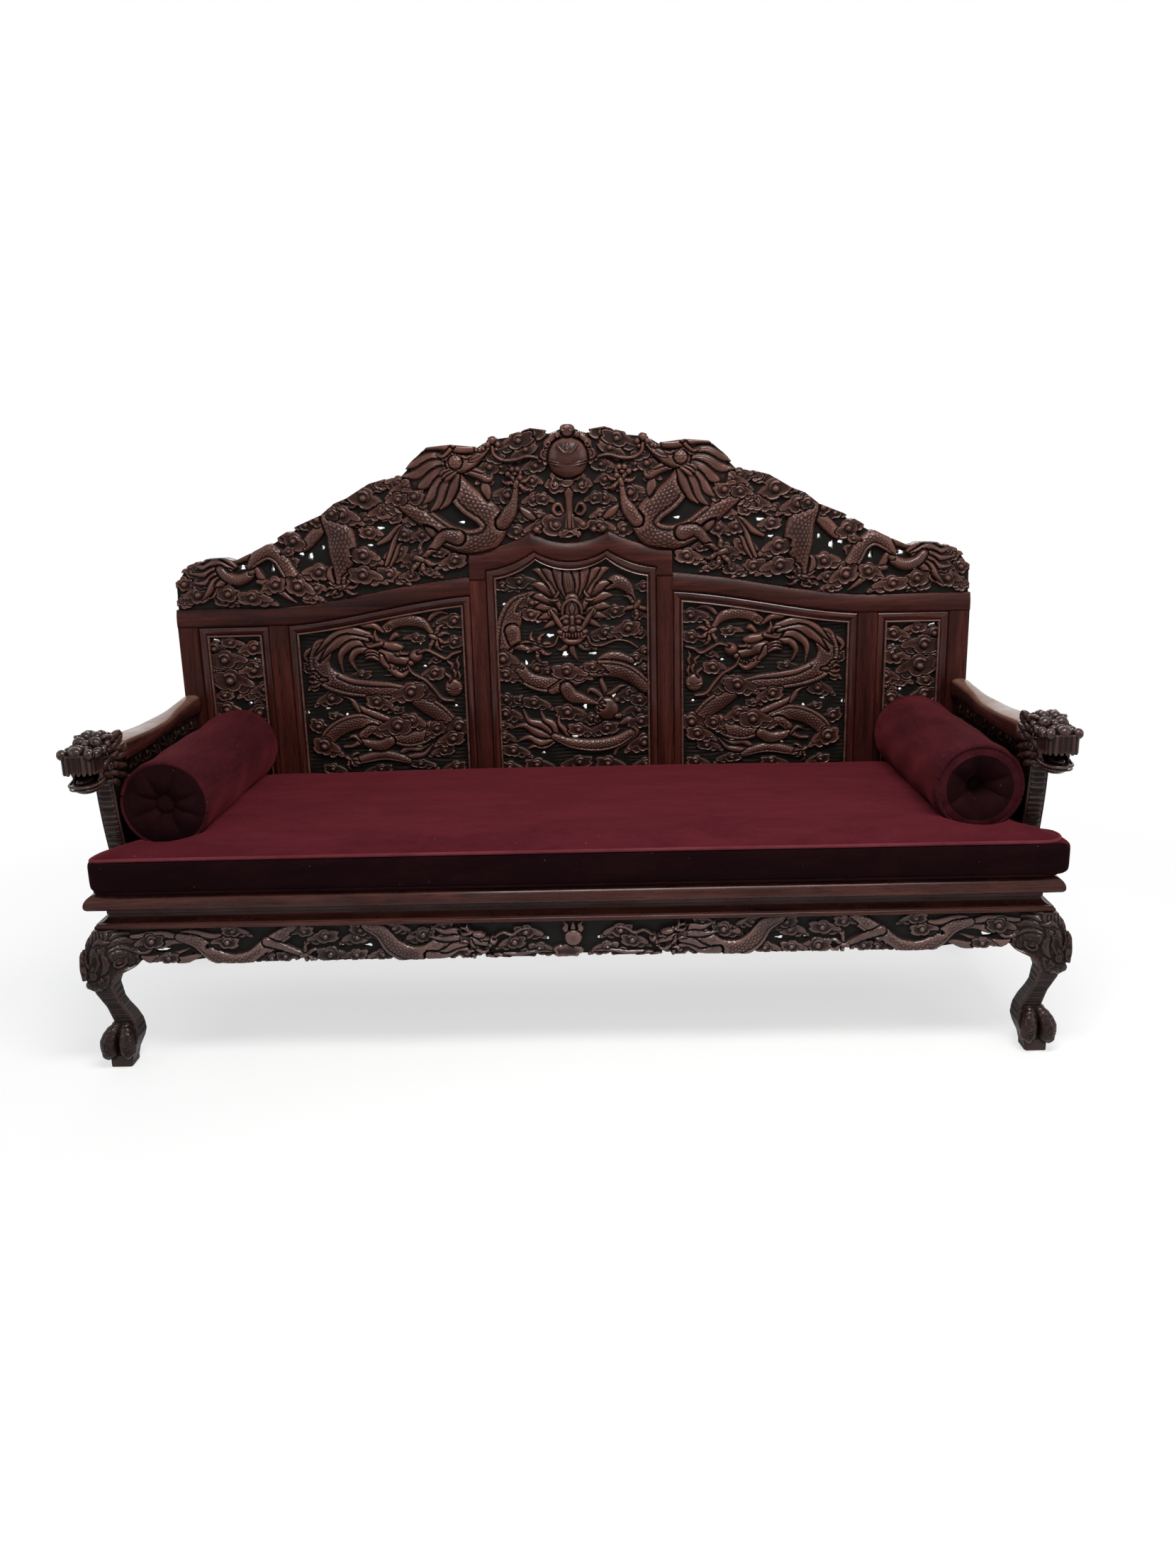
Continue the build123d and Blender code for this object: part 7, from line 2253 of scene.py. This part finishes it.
def settled(piece, floor, ceiling=None):
    """Presses a piece flat on what it lies on, and keeps it under a height."""
    co = points_of(piece.data)
    co[:, 2] = np.maximum(co[:, 2], floor)
    if ceiling:
        over = co[:, 2] > ceiling - 0.01
        co[over, 2] = ceiling - 0.01 * np.exp(-(co[over, 2] - ceiling + 0.01) / 0.01)
    move_points(piece.data, co)
    return co


points = settled(cushion, board_top, high.z + 0.004)
rim_radius, bolster_sink = 0.103, 0.003        # a bolster's half thickness, and how far it has sunk in
hollow_floor = 0.07                             # no hollow goes lower than this above the boards
# The bolsters' weight presses a hollow under each of them.
for side in ("left", "right"):
    tube_low, tube_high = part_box(f"bolster_{side}")
    middle = (tube_low + tube_high) / 2 - Vector((0, 0, bolster_sink))
    aside = np.clip(np.abs(points[:, 0] - middle.x), 0, rim_radius)
    under = middle.z - np.sqrt(rim_radius**2 - aside**2)
    beyond = np.maximum(np.maximum(tube_low.y + 0.012 - points[:, 1], points[:, 1] - tube_high.y + 0.012), 0)
    limit = np.maximum(under, board_top + hollow_floor) + 0.6 * beyond - 0.001
    points[:, 2] = np.minimum(points[:, 2], limit)
# Slow unevenness in the filling, and small puckers along the front seam.
soft = field(4, points[:, 0] * 1000, points[:, 1] * 1000, 90.0)
top_share = np.clip((points[:, 2] - board_top) / edge_height, 0, 1)
points[:, 2] += 0.0018 * soft * top_share
near_front = np.exp(-np.abs(points[:, 1] - cushion_front) / 0.03)
puckers = np.sin(points[:, 0] * 95 + 3 * np.sin(points[:, 0] * 11))
points[:, 1] += 0.0012 * near_front * puckers * top_share * (1 - top_share) * 4
move_points(cushion.data, points)
for material in (velvet_top, velvet_side_shaded):
    cushion.data.materials.append(material)
count = len(cushion.data.polygons)
facing, centres = np.empty(count * 3), np.empty(count * 3)
cushion.data.polygons.foreach_get("normal", facing)
cushion.data.polygons.foreach_get("center", centres)
# The upright sides below the seam take the darker velvet, painted shade.
boxing = (centres[2::3] < board_top + seam_height) & (facing[2::3] < 0.75)
cushion.data.polygons.foreach_set("material_index", boxing.astype(np.int32))
dressed(cushion, "cushion", "velvet_cushion", "seat_cushion")
print("cushion", len(cushion.data.polygons), "faces, top at", round(float(points[:, 2].max()) * 1000), "mm")

# %% [markdown]
# Piping covers the seams. It is laid after the filling, on the swollen cover's own edge: each
# point of the plan looks for the nearest place on the cushion, and a cord runs through them.

# %% Lay the piping
from mathutils.bvhtree import BVHTree


def cord_along(name, line, radius, material, facets=8):
    """A closed tube through a ring of points."""
    line = [Vector(p) for p in line]
    count = len(line)
    points = []
    for i, here in enumerate(line):
        ahead = (line[(i + 1) % count] - line[i - 1]).normalized()
        side = ahead.cross(Vector((0, 0, 1)))
        if side.length < 0.2:
            side = ahead.cross(Vector((1, 0, 0)))
        side.normalize()
        above = side.cross(ahead)
        for k in range(facets):
            turn = 2 * math.pi * k / facets
            points.append(here + side * radius * math.cos(turn) + above * radius * math.sin(turn))
    made = mesh_object(name, points, ring_quads(count, facets, closed=True))
    made.data.materials.append(material)
    return made


def seam_on(piece, line, out):
    """A line moved onto a piece's surface and smoothed along its length."""
    mesh = piece.data
    tree = BVHTree.FromPolygons([v.co for v in mesh.vertices], [p.vertices for p in mesh.polygons])
    found = []
    for point in line:
        place, normal, _, _ = tree.find_nearest(point)
        found.append(place + normal * out)
    for _ in range(3):
        found = [(found[i - 1] + found[i] * 2 + found[(i + 1) % len(found)]) / 4 for i in range(len(found))]
    return found


piping = 0.0040
outline = rounded_plan(plan, 0.045, 0.02)
for label, height in (("upper", seam_height), ("lower", 0.006)):
    line = seam_on(cushion, [Vector((p.x * 1.01, p.y * 1.01, board_top + height)) for p in outline],
                   piping * 0.5)
    if label == "lower":
        line = [Vector((p.x * 0.998, p.y * 0.992, board_top + piping + 0.002)) for p in line]
    # The upper piping takes the lighter velvet, a painted highlight, and the lower one the darker side
    # velvet, painted shade.
    made = cord_along("seat_piping_" + label, line, piping, velvet_cord_highlight if label == "upper" else velvet_side_shaded)
    dressed(made, "cushion", "velvet_cushion")
print("piping", round(sum((a - b).length for a, b in zip(line, line[1:])), 2), "m a run")

# %% [markdown]
# ## The bolsters
# A round bolster lies against each arm. Its tube is one width of velvet, gathered at both ends into
# pleats under a covered button, with piping round the rim. The cover is laid out as rings, from one
# button, over the rim, along the tube and round to the other, because the pleats radiate from the
# button and a ring is the natural place to put them. It is stuffed hard, so it isn't blown up
# as the seat is: a cloth fill would only iron the pleats out.

# %% Sew a bolster
around_count = 144
end_inset, button_inset = 0.012, 0.010          # from the bolster's full length, to its rim and its button
rim_cord, cord_inset = 0.0048, 0.0055           # the piping's half thickness, and how far in its middle lies


def bolster_cover(name, front, rear, seed, dimple, pleats, button_radius):
    """A closed cover about its own axis, which runs along y through the origin."""
    rng = np.random.default_rng(seed)
    end_radii = [0.010] + list(np.linspace(button_radius * 0.9, rim_radius - 0.004, 20))
    # Rings of (y, radius, end), where end is 1 at the front, -1 at the rear and 0 along the tube.
    rows = [(front, r, 1.0) for r in end_radii]
    rows += [(y, rim_radius, 0.0) for y in np.linspace(front + 0.006, rear - 0.006, 70)]
    rows += [(rear, r, -1.0) for r in reversed(end_radii)]
    turn = np.linspace(0, 2 * math.pi, around_count, endpoint=False)
    wander = rng.uniform(-0.5, 0.5, 3)
    shift = 0.25 * np.sin(2 * turn + wander[0]), 0.2 * np.sin(3 * turn + wander[1])
    crease = np.abs(np.cos(pleats * turn / 2 + shift[0] + shift[1]))
    points = []
    for y, r, end in rows:
        radius = np.full(around_count, r)
        depth = np.zeros(around_count)
        if end:
            share = np.clip((r - button_radius) / (rim_radius - button_radius), 0, 1)
            sunk = dimple * math.exp(-share / 0.26)
            dome = 0.013 * math.sin(math.pi * min(share, 1) ** 0.8)
            fold = 0.011 * math.sin(math.pi * share**0.55) * (1 - share) ** 0.4
            depth = end * (sunk - dome + fold * (1 - crease ** 0.55))
        else:
            off = min(y - front, rear - y)
            pull = math.exp(-off / 0.012)
            tuck = np.sin(26 * turn + 3 * np.sin(3 * turn + seed)) * 0.0011 * math.exp(-off / 0.05)
            waves = 0.0016 * np.sin(2 * turn + y * 21 + seed) + 0.0012 * np.sin(5 * turn - y * 34)
            radius = radius + tuck + waves - 0.0045 * pull
        points.append(np.stack([radius * np.cos(turn), y + depth, radius * np.sin(turn)], 1))
    points = np.vstack(points)
    faces = list(ring_quads(len(rows), around_count))
    last = (len(rows) - 1) * around_count
    faces.append(tuple(range(around_count))[::-1])
    faces.append(tuple(last + k for k in range(around_count)))
    return mesh_object(name, points, faces)


def covered_button(name, place, way, radius):
    """A domed button with the small gathers of its cover."""
    points = []
    rows, count = 9, 40
    for i in range(rows):
        tilt = i / (rows - 1) * math.pi / 2
        for k in range(count):
            turn = 2 * math.pi * k / count
            gather = 1 + 0.03 * math.sin(9 * turn) * math.sin(tilt) ** 3
            r = radius * math.sin(tilt) * gather + 1e-5
            points.append((place[0] + r * math.cos(turn), place[1] + way * 0.007 * math.cos(tilt),
                           place[2] + r * math.sin(turn)))
    for k in range(count):
        turn = 2 * math.pi * k / count
        points.append((place[0] + radius * 0.9 * math.cos(turn), place[1] - way * 0.006,
                       place[2] + radius * 0.9 * math.sin(turn)))
    faces = [(a, d, c, b)[::way] for a, b, c, d in ring_quads(rows + 1, count)]
    faces.append(tuple(rows * count + k for k in range(count))[::-1 if way > 0 else 1])
    return mesh_object(name, points, faces)


# Each side's hand, how deep its ends are pulled in, their pleats, the button's radius, and how wide
# the tube's own velvet shows inside the rim, before the darker end velvet, painted shade, begins.
bolster_ends = (("left", -1, 0.009, 8, 0.021, 0.008), ("right", 1, 0.050, 6, 0.014, 0.026))
for side, hand, dimple, pleats, button, ring_wide in bolster_ends:
    low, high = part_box(f"bolster_{side}")
    axis = (low + high) / 2 - Vector((0, 0, bolster_sink))
    bolster = bolster_cover(f"velvet_bolster_{side}", low.y + end_inset, high.y - end_inset, 5 + hand, dimple,
                            pleats, button)
    bolster.data.transform(Matrix.Translation((axis.x, 0, axis.z)))
    for material in (velvet_round, velvet_end_shaded):
        bolster.data.materials.append(material)
    centres = np.empty(len(bolster.data.polygons) * 3)
    bolster.data.polygons.foreach_get("center", centres)
    from_axis = np.hypot(*(centres.reshape(-1, 3)[:, [0, 2]] - np.array((axis.x, axis.z))).T)
    # Inside the ring the end is painted darker, painted shade.
    bolster.data.polygons.foreach_set("material_index", (from_axis < rim_radius - ring_wide).astype(np.int32))
    subdivided(bolster)
    settled(bolster, board_top + hollow_floor)
    dressed(bolster, f"bolster_{side}", "velvet_bolsters", f"bolster_{side}")
    for label, y in (("front", low.y + end_inset), ("rear", high.y - end_inset)):
        turns, out = np.linspace(0, 2 * math.pi, 96, endpoint=False), rim_radius - cord_inset
        ring = [Vector((axis.x + out * math.cos(t), y, axis.z + out * math.sin(t))) for t in turns]
        made = cord_along(f"bolster_piping_{side}_{label}", ring, rim_cord, velvet_round)
        dressed(made, f"bolster_{side}", "velvet_bolsters")
    for label, y, way in (("front", low.y + button_inset + dimple, -1),
                          ("rear", high.y - button_inset - dimple, 1)):
        made = covered_button(f"bolster_button_{side}_{label}", (axis.x, y, axis.z), way, button)
        made.data.materials.append(velvet_end_shaded)
        dressed(made, f"bolster_{side}", "velvet_buttons")
    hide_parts(f"bolster_buttons_{side}")
    print("bolster", side, len(bolster.data.polygons), "faces")

# %% [markdown]
# ## Finish
# The last cell measures the bounds of the dressed daybed.

# %% Measure the bounds of the dressed daybed
low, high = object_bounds()
